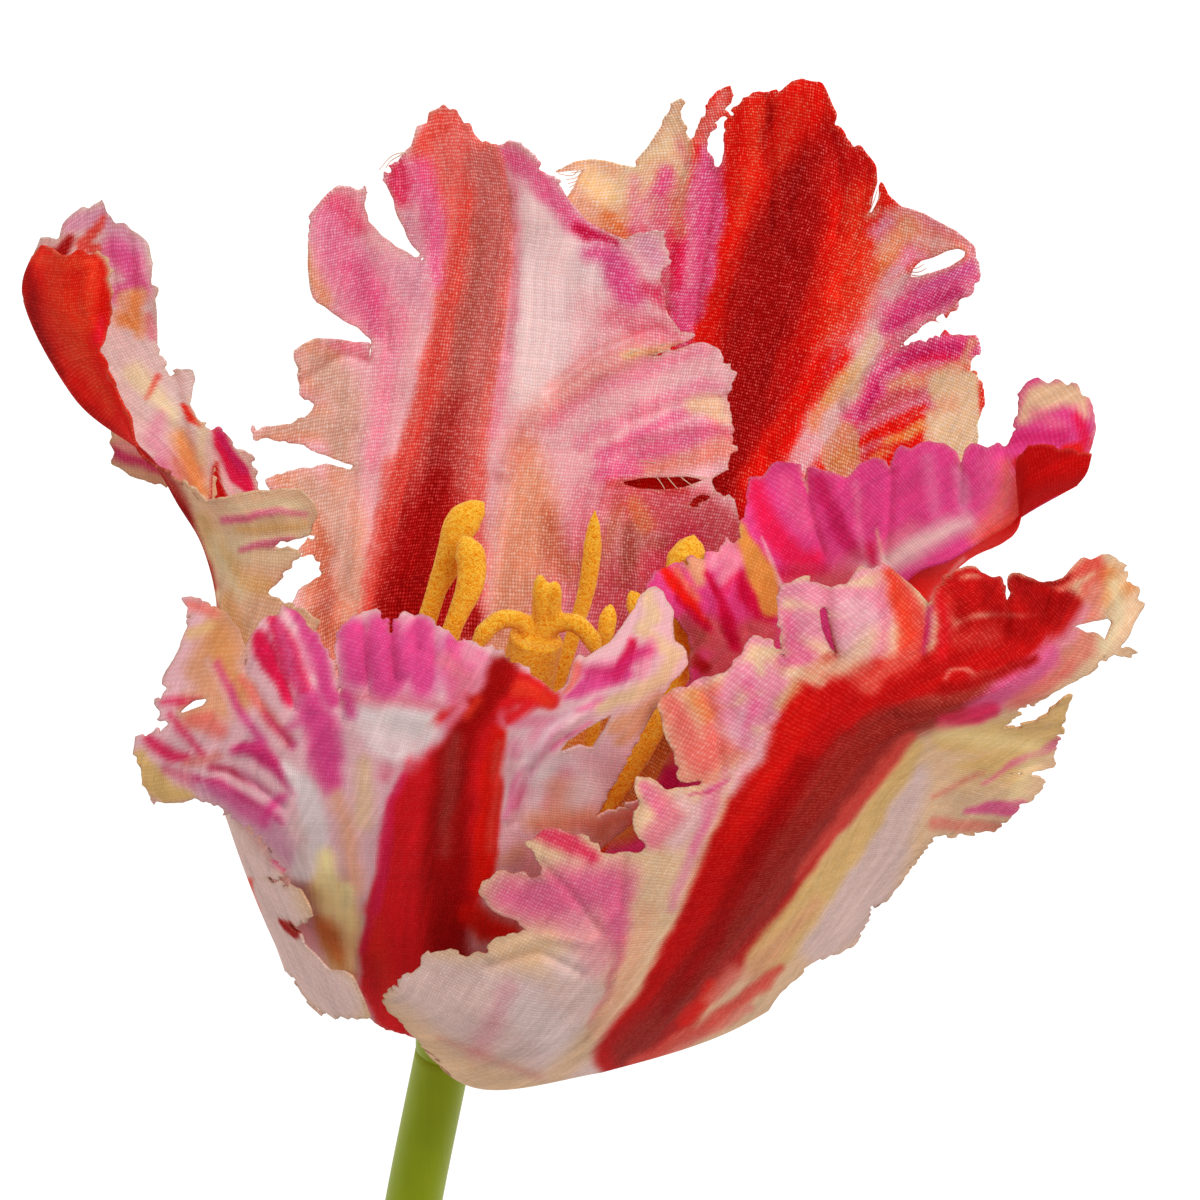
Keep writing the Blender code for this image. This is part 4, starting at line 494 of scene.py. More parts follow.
BACK_RIGHT_PRINT = dict(ground="scarlet", weave=1.15, bright=1.06, print=[
    ("cream", 1, .8, (-5, 43, 2.5), (1, 41, 4), (5, 39, 3.5), (8, 50, 2)),
    ("rose", 1, .8, (4.5, 36, 2.5), (6.5, 33, 2), (7.2, 30, 1.2)),
    ("hot_pink", 1, .6, (11.4, 47, .8), (10.4, 40, 2.2), (9.6, 33, 2), (8, 27, 1.4)),
    ("pink", 1, .8, (27.4, 32, 1.6), (31, 37, 2.6), (36, 35.6, 2.4), (37.4, 32, 2.2), (33, 31, 2.6),
      (28.4, 28.4, 2.4)),
    ("blush", 1, .9, (20.4, 13.4, 1), (25.6, 21.4, 1.7), (27.4, 25.6, 1.7)),
    ("hot_pink", 1, .7, (26, 19, 1.6), (29.6, 23.4, 2), (33, 25.2, 1.8), (38, 25.6, 1.6)),
    ("rose", 1, .7, (27, 16, 2), (34, 21, 1.6)),
    ("deep_red", .8, 1.5, (23, 46, 1.6), (25.5, 44.3, 1.6), (24, 42.5, 1.5)),
    ("deep_red", .9, 1.2, (14, 16, 1.6), (18, 20, 1.2), (20, 24, 1)),
    ("dark_red", .95, 1.7, (21.8, 45.2, 1), (20.2, 42.5, 2.2), (19.6, 39, 3.2), (18, 35, 3.9),
      (16.8, 30, 4.2), (15.4, 25, 3.6), (14.4, 20, 3), (11.6, 11, 2.6), (12.4, 7, 2), (10, 4, 3)),
    ("dark_red", .6, 1, (22.8, 48.6, .6), (23.2, 46.6, .8)),
    ("vermilion", .7, .7, (15.6, 49.4, .8), (15.7, 46, .9), (14, 38, .6)),
    ("vermilion", .6, .7, (20.2, 50, .6), (17.6, 43.6, .5)),
    ("vermilion", .7, 1.2, (25.9, 41, 1.2), (25.6, 36, 1.4), (22.8, 27.3, 1)),
    ("orange", .75, .7, (.8, 38.8, .7), (2.6, 36.3, .6)),
    ("pink", .7, .6, (3.5, 37.6, .6), (5.2, 41, .6)),
    ("rose", .9, .7, (6.6, 42.5, .9), (6.2, 38.2, 1.2)),
    ("coral", .9, .6, (8.2, 42, .5), (7.7, 37.2, .9)),
    ("crimson", .7, .5, (7.3, 37, .7), (7.8, 34.8, .9), (7.6, 31.5, .4)),
    ("rose", .6, .5, (7.2, 47.4, .4), (8.6, 44, .5)),
    ("coral", .95, .4, (12.6, 51, .5), (11.9, 49.6, .8), (10.3, 46.3, .7)),
    ("salmon", .95, .9, (22.6, 24.8, .9), (25, 27.5, .9), (27.2, 31, 1.1), (29.8, 38, 1.4), (36, 35, 1.4)),
    ("orange", .7, .8, (28, 33.3, .7), (31, 37.4, .7)),
    ("hot_pink", .9, .9, (30, 28.6, 1.5), (33, 30.2, 1.8), (37.5, 32, .8)),
    ("blush", .85, .8, (25.5, 26, .9), (28, 31.3, .7), (30, 33.2, .5)),
    ("hot_pink", .8, .9, (22, 23, .7), (25.6, 28.6, .7)),
    ("blush", .95, 1, (17.6, 13, 1.4), (20.5, 17, 1.4), (24, 20.5, 1.2), (26.4, 24, .9)),
    ("orange", .7, .9, (21.6, 17.8, .7), (23, 20.2, 1.1), (25.2, 22.2, 1.2)),
    ("peach", .9, .6, (29.5, 20.6, .5), (32.5, 22.3, .8), (35.5, 23.5, .8), (37.5, 24, .5)),
    ("scarlet", .95, .35, (26.2, 15.8, .4), (30.6, 18.6, .4), (32.8, 19.4, .3)),
    ("orange", .95, .4, (27.8, 14.6, .6), (32.4, 17.8, .8)),
    ("cream", 1, .4, (33.8, 21.8, .8), (35.8, 22, 1.6)),
    ("tan", .95, .3, (24.6, 16.5, 1.4), (24.2, 14.6, 2), (25, 12.8, 1.8)),
    ("ochre", .6, .8, (24.2, 14, .9), (25.4, 15, .9)),
    ("white", .5, .8, (32, 36.4, .5), (34.6, 35.9, .7)),
    # Painted shade: the dark golden inside of the bloom, seen in shade through the gap between the front
    # petals.
    ("ochre", 1, 1.2, (-3, -14, 2.4), (1, -13, 2.6), (5, -14, 3), (3, -19, 3), (-1, -22, 3)),
    ("scarlet", 1, .7, (15.6, 12, 1.4), (18.4, 16.4, 1.4), (22.8, 25, .7)),
    ("vermilion", .8, 1.2, (23.6, 26, .8), (25.6, 29, 1.3), (26.6, 33, 1.5), (26.4, 36, 1.2)),
    ("pearl", .9, .8, (22.4, 16.6, .5), (26.8, 24, 1.1), (28, 27.4, 1)),
    ("yellow", .8, .7, (22.8, 20.2, .6), (24.6, 22.6, .8), (26, 24, .5)),
    ("pink", .9, .5, (29.8, 26, .7), (37.2, 31.4, .6)),
    ("magenta", .9, .6, (28.8, 27.6, .6), (31, 29.2, .8), (36, 30.9, .7)),
    ("orchid", .9, .6, (32.4, 31.2, .5), (37.2, 33.6, .7)),
    ("pearl", .8, .6, (29.4, 31, .7), (30.6, 32.4, .5)),
    ("peach", .8, .9, (28.6, 35.4, .8), (31.4, 37.6, .8)),
    ("pink", .9, .7, (27.8, 37.2, .8), (29, 38, .6)),
    ("salmon", .9, .5, (26.9, 38.8, .3), (28, 39.4, .4)),
    ("raspberry", .9, .5, (26.4, 18.6, .5), (28.2, 22, .6), (31, 24.2, .6), (34, 25.2, .6),
      (37.4, 25.6, .5)),
    ("pink", .9, .5, (28.6, 22, .3), (30.6, 23.2, .4), (34, 24, .4)),
    ("tan", .9, .5, (29.6, 21.4, .5), (31.4, 22.4, .6)),
    ("crimson", .9, .4, (30.4, 23.3, .2), (33.4, 24.4, .35), (36.2, 24.6, .3)),
    ("dusky", .9, .5, (27.6, 19, .5), (30, 20.6, .6), (32, 21, .5)),
    ("cream", 1, .4, (34.8, 21.6, 1.6), (37.2, 14.6, 1.2), (34.4, 14.6, 1.8), (34.4, 18, 1.6)),
    ("scarlet", 1, .3, (26.8, 16, .4), (30.4, 17.6, .4), (32.6, 18.4, .3)),
    ("red", .8, .4, (26.6, 14.4, .3), (28.2, 15.3, .4), (30.6, 15.8, .3)),
    ("orange", 1, .4, (29, 15.9, .35), (32.6, 17.3, .45)),
    ("blush", .7, .8, (4, 39, .7), (5, 37.6, .5)),
    ("cream", .8, .8, (8, 44.6, .5), (8.4, 41, .4), (8, 39, .3)),
    ("pink", .7, .5, (9.8, 44, .3), (9.2, 38, .4), (8.9, 32, .4)),
    ("maroon", .7, .8, (17.4, 49.6, .3), (16.6, 47, .4), (16.8, 44, .3)),
    # Painted shade: more of the shaded inside seen through the gap.
    ("ochre", 1, 1, (1.6, -11.4, 2), (4, -14, 2.4), (2, -22, 2.4)),
    # Ivory here is partly paler cream, partly painted light on the lobe that the back left petal shades.
    ("ivory", 1, .8, (-.6, 42, 1.6), (1.6, 41, 1.2), (4, 44.4, .6), (6.4, 45.6, .8), (7.6, 48.6, .5)),
    ("hot_pink", .9, .8, (6.6, 43, .5), (6.2, 41.4, .8)),
    ("pink", .7, .8, (3.2, 42.4, .4), (3.8, 39.4, .6)),
    ("salmon", .8, .7, (7.4, 40.6, .6), (7.8, 37, .6)),
    ("ivory", 1, .5, (34.6, 21.8, 1.2), (36.8, 21.8, .8), (37.2, 18, .9), (34.6, 17.6, 1.2),
      (35.6, 15.4, 1.4)),
    ("ivory", .8, .7, (25.2, 21, .5), (27.4, 26.6, .6)),
    ("ivory", 1, .3, (37.4, 22.4, .7), (37.7, 14.6, 1.1)),
    # Painted light: pale yellow lightening the left lobe where it stands in shade.
    ("lit_straw", .8, .9, (-1.6, 42.6, .9), (.6, 40.8, 1.1)),
    ("tan", .8, .3, (36.6, 24.1, .3), (37.6, 26, .5)),
])
RIGHT_PRINT = dict(ground="magenta", weave=0.35, bright=1.04, back_ground="deep_red", print=[
    ("crimson", .95, .8, (15.6, 11.5, .7), (16.4, 9, 1.2), (17.6, 6.5, 1.3), (19.5, 4.2, 1.2),
      (21.5, 4, .8)),
    ("hot_pink", .8, .7, (18.6, 11.8, .9), (20.6, 7.6, 1)),
    ("raspberry", .95, .5, (22, 11.8, .6), (24.2, 7, .9), (25.6, 4.6, .7)),
    ("cream", .85, .2, (20.5, 13.6, .25), (20.9, 10.8, .12)),
    ("pink", .45, .5, (25.6, 11.6, .4), (26.4, 5, .3)),
    ("cream", .9, .2, (27.9, 7, .1), (28.6, 3.6, .2)),
    ("lilac", .35, .7, (33, 14, .7), (33.6, 9, .6)),
    ("lilac", .6, .6, (35.8, 13.2, .4), (36.4, 11, .7), (36.6, 8.8, .5)),
    ("hot_pink", .7, .8, (39, 13.8, 1), (38.6, 9, .8)),
    ("coral", .85, .9, (40.8, 13.4, .6), (40.6, 10.5, .9), (39.4, 7.8, 1), (37.6, 6.2, .8)),
    ("red_coral", .95, .6, (42, 12, .6), (41.6, 9, .7), (40.6, 7.4, .6), (38.6, 5.8, .5)),
    ("pearl", .9, 1.1, (37, 7.6, .6), (34.6, 7, 1), (31.6, 5.4, 1.3), (28.8, 3.6, 1.3), (26, 2.6, 1)),
    ("rose", .6, .8, (31.4, 7.4, .6), (29.4, 5.8, .5), (24, 3.4, .8)),
    ("dusky", .95, .9, (20, 1.6, 1.8), (25.4, 1.6, 1.3)),
    ("wine", .6, .7, (18.2, 2.6, .6), (22.2, 3, .5)),
    ("blush", .9, .2, (16.2, 6.2, .1), (17.4, 2.6, .3), (18.6, 1, .3)),
    ("deep_red", 1, .5, (42.2, 13.6, .7), (43.6, 12.6, 1.4), (43.6, 11, 1.4), (42.6, 10, .8)),
    ("scarlet", 1, .6, (46, 13.6, .6), (47.4, 13.4, 1), (46.4, 11.6, 1.3), (48.6, 13.6, .8)),
    ("cream", 1, .8, (42.4, 18, .6), (43.6, 20, 1.5), (46, 20.8, 1.4), (48, 20, .9), (48.6, 18.4, .4)),
    ("rose", .6, .7, (43.6, 18.6, .6), (46, 17.2, .7)),
    ("raspberry", .85, .6, (41.4, 16, .5), (46, 16.4, .7)),
    ("crimson", .95, .4, (47.6, 18.4, .4), (48, 17.2, .7), (48.6, 15.4, .5)),
    ("scarlet", .9, .3, (46.4, 15.2, .4), (47.6, 15.2, .5), (48, 14.2, .3)),
    ("tan", 1, .5, (9.6, 3.6, 1), (9.8, 1.8, .6)),
    ("orange", .6, .4, (7.6, 3, .4), (9.6, 0, .4)),
    ("dusky", 1, .8, (11, -3.4, 1.8), (13.4, -4.4, 1.8), (16, -3.2, 1.8), (12, -7, 1.8)),
    ("scarlet", .95, .4, (5.9, 3.6, .4), (7.2, 2, .6), (9, -.4, .6), (10.4, -2.4, .4)),
    ("wine", .85, .35, (7.6, .4, .3), (10.6, -2.9, .5)),
    ("wine", .95, .4, (10.6, 2.6, .4), (11.8, .4, .5), (12.6, -2, .7), (13.4, -4.4, .6)),
    ("pink", .95, .6, (11.4, 3.8, .9), (12.6, 5.4, 1), (13.6, 4.2, 1.1), (12.4, 2, .7)),
    ("wine", .95, .6, (14.2, 2.6, .5), (14.8, .6, 1.1), (16, -1, .9), (17.2, -1.8, .5)),
    ("crimson", .6, .5, (12.4, 1, .4), (13.8, 2.6, .4)),
    ("maroon", .8, .5, (9.6, -6, .7), (10.4, -6.6, .6)),
    # Painted shadow: the shaded patch beside the stamen.
    ("umber", .7, .8, (8.4, -2, .6), (9.8, -4, .9), (9, -5.6, .8)),
    # Painted shade: a shaded strip of the cream margin behind the front lobe, laid as ochre.
    ("ochre", 1, .4, (13.9, 7.2, .7), (16.2, 2.4, 1.3), (17.2, -.6, 1.2)),
    # Painted shade: the dark golden inside of the bloom, seen in shade through the gap between the front
    # petals.
    ("ochre", 1, 1.2, (5, -14, 3), (-1, -22, 3)),
    ("raspberry", .95, .5, (4.6, -17.2, 1), (7, -18, 1.2)),
    ("wine", .8, .6, (27.2, 5.4, .4), (27.6, 3.6, .5)),
    # Painted shade: more of the shaded inside seen through the gap.
    ("ochre", 1, 1, (4, -14, 2.4), (2, -22, 2.4)),
], back_print=[
    ("scarlet", .9, 1, (30, -2, 1.5), (34, 2, 1.2), (40, 6, 1.2), (44, 8, 1.2)),
    ("maroon", .7, .8, (24, -6, 2), (33, -.6, .6)),
    # Painted reflection: a pale pink gleam on the lower tip of the red underside.
    ("blush", .6, .3, (33, .3, .2), (36.2, 4.2, .3)),
])
FRONT_RIGHT_PRINT = dict(ground="cream", weave=0.45, print=[
    ("pearl", .95, 1.6, (-18, -38, 3), (-12, -40.5, 4.5), (-5, -42.5, 5), (1, -46, 4), (-3, -37, 2.5)),
    ("white", .45, 1.5, (-8, -40, 2), (-4, -44, 2)),
    ("rose", .35, 1.2, (-9, -38.5, .8), (-12, -45, 1)),
    ("rose_brown", .3, .5, (-16, -43.6, .3), (-6, -47.6, .4)),
    ("magenta", .7, 2, (-9, -29.4, 2), (-4, -29.5, 2.8), (1, -28.6, 2.6), (2, -33, 2)),
    ("pink", .6, 1.4, (-2, -32.5, 1.8), (0, -36, 1.4)),
    ("crimson", .75, .7, (-7, -22.8, .6), (-3, -24, 1.1), (-1, -25.4, .8)),
    ("raspberry", .75, .5, (2.6, -33.6, .4), (.8, -39.6, .5), (-1, -42.4, .3)),
    ("cream", .95, 1, (6.3, -26.4, 1.7), (3.2, -36, 1.3), (1, -41, 1.2), (-2, -45, 1.1), (-4.6, -47.4, .8)),
    ("peach", .6, .9, (4.6, -31, .8), (2.8, -37, .8), (-.4, -43, .8)),
    ("pink", .8, .6, (11, -18.8, .6), (10.2, -22.6, .6), (7, -30.4, .4)),
    ("hot_pink", .75, .5, (4.4, -18.6, .6), (6, -21.2, .6)),
    ("raspberry", .6, .25, (9, -19.2, .15), (11.2, -18.9, .2), (13, -17.9, .15)),
    ("deep_red", 1, .6, (1.5, -45.5, 2.2), (6.9, -40, 3.2), (10.3, -35, 4), (13.2, -30.5, 4.8),
      (16, -25.5, 5.2), (18.9, -20, 5.7), (25, -11.5, 6.4)),
    ("scarlet", .45, .9, (12.8, -23.6, .4), (17.6, -15.6, 1.4), (19.8, -11, 1.5)),
    # The plum band is partly print and partly painted shade on the face of the fold that turns away.
    ("plum", .9, .9, (2.5, -45, 1.5), (7.6, -40, 1.7), (15, -30.4, 2.3), (21.5, -20, 2.8),
      (25.5, -15.5, 2.6), (30, -12.2, 1.8), (40, -9, .7)),
    # Painted highlight: the thin coral line beyond the fold.
    ("red_coral", .75, .5, (19.4, -27.4, .4), (28.4, -16.4, 1), (30.6, -13.8, .7)),
    ("coral", .95, 1, (7, -10, .9), (10, -16, 1.7), (12, -14, 1.6), (11, -10, 1.6)),
    ("orange", .6, .7, (9, -9, .8), (10.6, -11.6, .9)),
    ("pink", .95, .7, (12.6, -9.6, .9), (13.6, -7.4, 1.1), (16, -7.6, 1.7), (18, -8.6, 1.1),
      (16, -11, 1.6), (13.2, -11.6, 1.3), (14.6, -14, 1.2)),
    ("hot_pink", .7, .7, (14.6, -8.6, .5), (15.4, -10.4, .6), (14.2, -12.4, .5)),
    ("cream", .95, .5, (15.6, -6, .8), (16, -7.2, .4)),
    ("blush", .7, .6, (11.6, -12.6, .5), (13, -13.6, .6), (14.2, -11.2, .4)),
    ("coral", .6, .8, (11.4, -13.2, .8), (13, -15.6, .9), (15, -16, .8)),
    ("blush", .9, .7, (16.6, -13.4, .6), (15.6, -15.6, .8), (14, -17.4, .6), (13, -19, .4)),
    ("yellow", .6, .5, (19.6, -8.6, .6), (18, -10.4, .5)),
    ("pink", .95, .8, (19, 1, .9), (27, -.6, 2), (26, -4, 2.2), (20, -2, 1.4)),
    ("blush", .7, 1, (25, -1, 1.2), (27, -2.6, 1.5), (24.6, -5.4, 1.3)),
    ("hot_pink", .8, .7, (18.4, -1.6, .6), (19.2, -4.2, .9), (20.8, -5.8, .8), (18.4, -6, .8)),
    ("cream", .8, .9, (27.4, -3.6, .8), (25.4, -6.4, 1), (21.6, -7, 1)),
    ("red_coral", 1, .6, (28.4, 3.2, .5), (30.6, -1, 1.5), (31.4, -3.4, 1.5), (31, -6.4, 1.6),
      (27, -8.6, 1)),
    ("vermilion", .7, .7, (28.6, 2.4, .4), (30.4, -1.6, .8), (30.4, -4.6, .8)),
    ("deep_red", 1, .6, (34, 1.4, 1.1), (36, 0, 1.9), (38.6, .4, 1.8), (42, .4, 2), (47, -.6, 1.2),
      (44.6, -3, 1.9), (41, -4.2, 2.6), (37, -4.8, 2.8), (34.4, -7, 2.2), (30, -8.6, 1.8)),
    ("raspberry", .8, .3, (32.9, -.8, .25), (32.7, -3.4, .4), (32.3, -5.2, .3)),
    ("maroon", .6, .9, (38.4, 1.2, .6), (39, -1, .7), (42.4, -3.4, .9)),
    ("maroon", .8, .9, (41.8, 1.6, .8), (43.4, -.6, 1.2), (46.4, .2, .9)),
    # Painted shade: the dark line under the fold of the upper lobe.
    ("plum", .8, .7, (27, -12.6, 1.4), (41, -8, .9)),
    ("salmon", .8, .2, (34.1, -7.9, .15), (34.8, -7, .15), (36.2, -7, .2), (37.1, -7.8, .2)),
    ("red_coral", .9, .6, (45.8, 1.6, .5), (49, 3.8, .9), (50, 2.6, .6), (48.6, 1, .8)),
    ("orange", .75, .8, (50.6, 2.6, .9), (50.6, .6, 1.1), (52.6, 1.4, .6)),
    ("salmon", .95, .7, (49.2, 1, .8), (48.6, -2, 1.2), (47.4, -4.6, 1.6), (42, -9.4, 1.4)),
    ("pink", .7, .6, (48.2, -.6, .5), (46.4, -3.4, .9), (43.6, -6, 1)),
    ("hot_pink", .9, .7, (44.6, -5.4, 1), (42.4, -7.4, 1.3), (37.6, -10.8, 1.1)),
    ("crimson", .8, .5, (38.6, -10.9, .9), (34, -12.1, .7)),
    ("coral", .6, .6, (46.6, -6.4, .5), (40.6, -10.6, .5)),
    ("yellow", .95, .8, (34, -13.8, .9), (37.6, -13.8, 1.5), (41.6, -13, 1.4), (46.6, -9.6, .7),
      (45.4, -13, 1.2), (36.6, -17.4, 1.6), (41, -17.6, 1.1)),
    ("cream", .7, .8, (33.6, -17.6, 1.2), (42, -19, 1.1)),
    ("hot_pink", .7, .25, (38.2, -18.2, .12), (40.6, -16.6, .25), (45.6, -14.1, .4)),
    ("coral", .5, .4, (33, -19.6, .25), (38, -17.2, .2)),
    ("hot_pink", .9, .35, (36.4, -20.9, .25), (38.6, -20.6, .6), (41.8, -20.5, .8)),
    ("salmon", .9, .4, (33.2, -22.2, .6), (40.6, -22.5, .5)),
    ("pearl", .95, 1, (31.6, -17.6, 1.2), (27.4, -25.8, 3), (25.6, -30.6, 3), (22, -34.6, 2)),
    ("yellow", .95, .6, (31.4, -14.8, .8), (26, -22.8, 1.3), (22.9, -27, 1.5), (19.8, -31.4, 1.9),
      (16.6, -35.6, 1.9)),
    ("tan", .7, .9, (21.4, -30.4, .6), (15.4, -36.8, 1.2)),
    ("scarlet", .8, .6, (11, -38.2, .6), (10, -40.2, .8), (8.4, -42, .7)),
    ("red_coral", .9, .5, (3, -46.2, .4), (6.4, -44.6, .7), (10, -42.8, .7), (13.6, -40.4, .7),
      (16.4, -38, .7), (18, -36.6, .4)),
    ("coral", .6, .4, (7, -45.2, .4), (15, -40.8, .4)),
    ("maroon", .6, .8, (36, -1, .6), (37, -4, .8), (42.4, -2.6, 1.2), (45, -1.6, .8)),
    ("red_coral", .5, .8, (34.4, 0, .6), (35.4, -4, .8), (39, -3.6, .9)),
    ("rose", .8, .8, (5.6, -19.4, 1), (7.4, -21.4, 1.2), (5.4, -23.6, 1.2)),
    ("blush", .8, .8, (8, -19.6, .6), (9.6, -21, .8), (7.6, -24, .9)),
    ("hot_pink", .5, .6, (12.6, -17, .4), (11.2, -21, .5), (9.2, -25, .4)),
    ("rose", .7, .8, (27.6, 2, .5), (28.4, -2, .6), (28, -5, .6)),
    ("red_coral", .8, 1, (26, -7.6, 1), (29, -6.6, 1.2), (31, -5.4, 1)),
    ("cream", .8, .6, (20, -7.4, .6), (22, -8.2, .4)),
    ("dark_red", .9, .5, (34, -9, .6), (40.4, -7.2, .6), (43, -5.8, .4)),
    ("maroon", .9, .8, (6.4, -40.6, .5), (10.4, -34.6, .8), (16.6, -22.6, 1.1), (20.4, -16.4, 1.1)),
    ("salmon", .8, .8, (11, -39.6, .6), (13.4, -37, .8)),
    ("deep_red", 1, .35, (35, 2.2, .4), (37, 2.9, .4), (38.6, 2.2, .35), (40, 2.2, .3)),
    ("maroon", 1, .35, (41.2, 2.3, .35), (43.6, 1.6, .35), (45.6, 1.8, .35), (46.6, 2.4, .3)),
    ("dark_red", 1, .22, (22.3, -1.4, .12), (22.9, -3.4, .26), (23.7, -5.6, .2)),
    ("salmon", .9, .4, (6.3, -10, .4), (8.2, -17.9, .4), (11.6, -17.7, .3)),
    ("pink", .9, .4, (8, -8.9, .4), (13.6, -6, .4), (14.6, -4.2, .5), (17, -4.2, .4)),
    ("pink", .9, .4, (18, -2.8, .35), (18, .8, .35), (28.4, 3.2, .3)),
    ("red", 1, .5, (33.5, .2, .5), (34.4, -2.4, .7), (34, -5.4, .6)),
    ("ivory", .9, .8, (51, 1.8, .7), (51.6, -1.6, .7), (50.2, -4.6, .7)),
    # Painted light: a lightened pale yellow over the yellow lobe.
    ("lit_straw", .55, 1, (34, -13, .6), (38, -13.6, .9), (43.6, -14.6, .9), (41.6, -19, .8)),
])
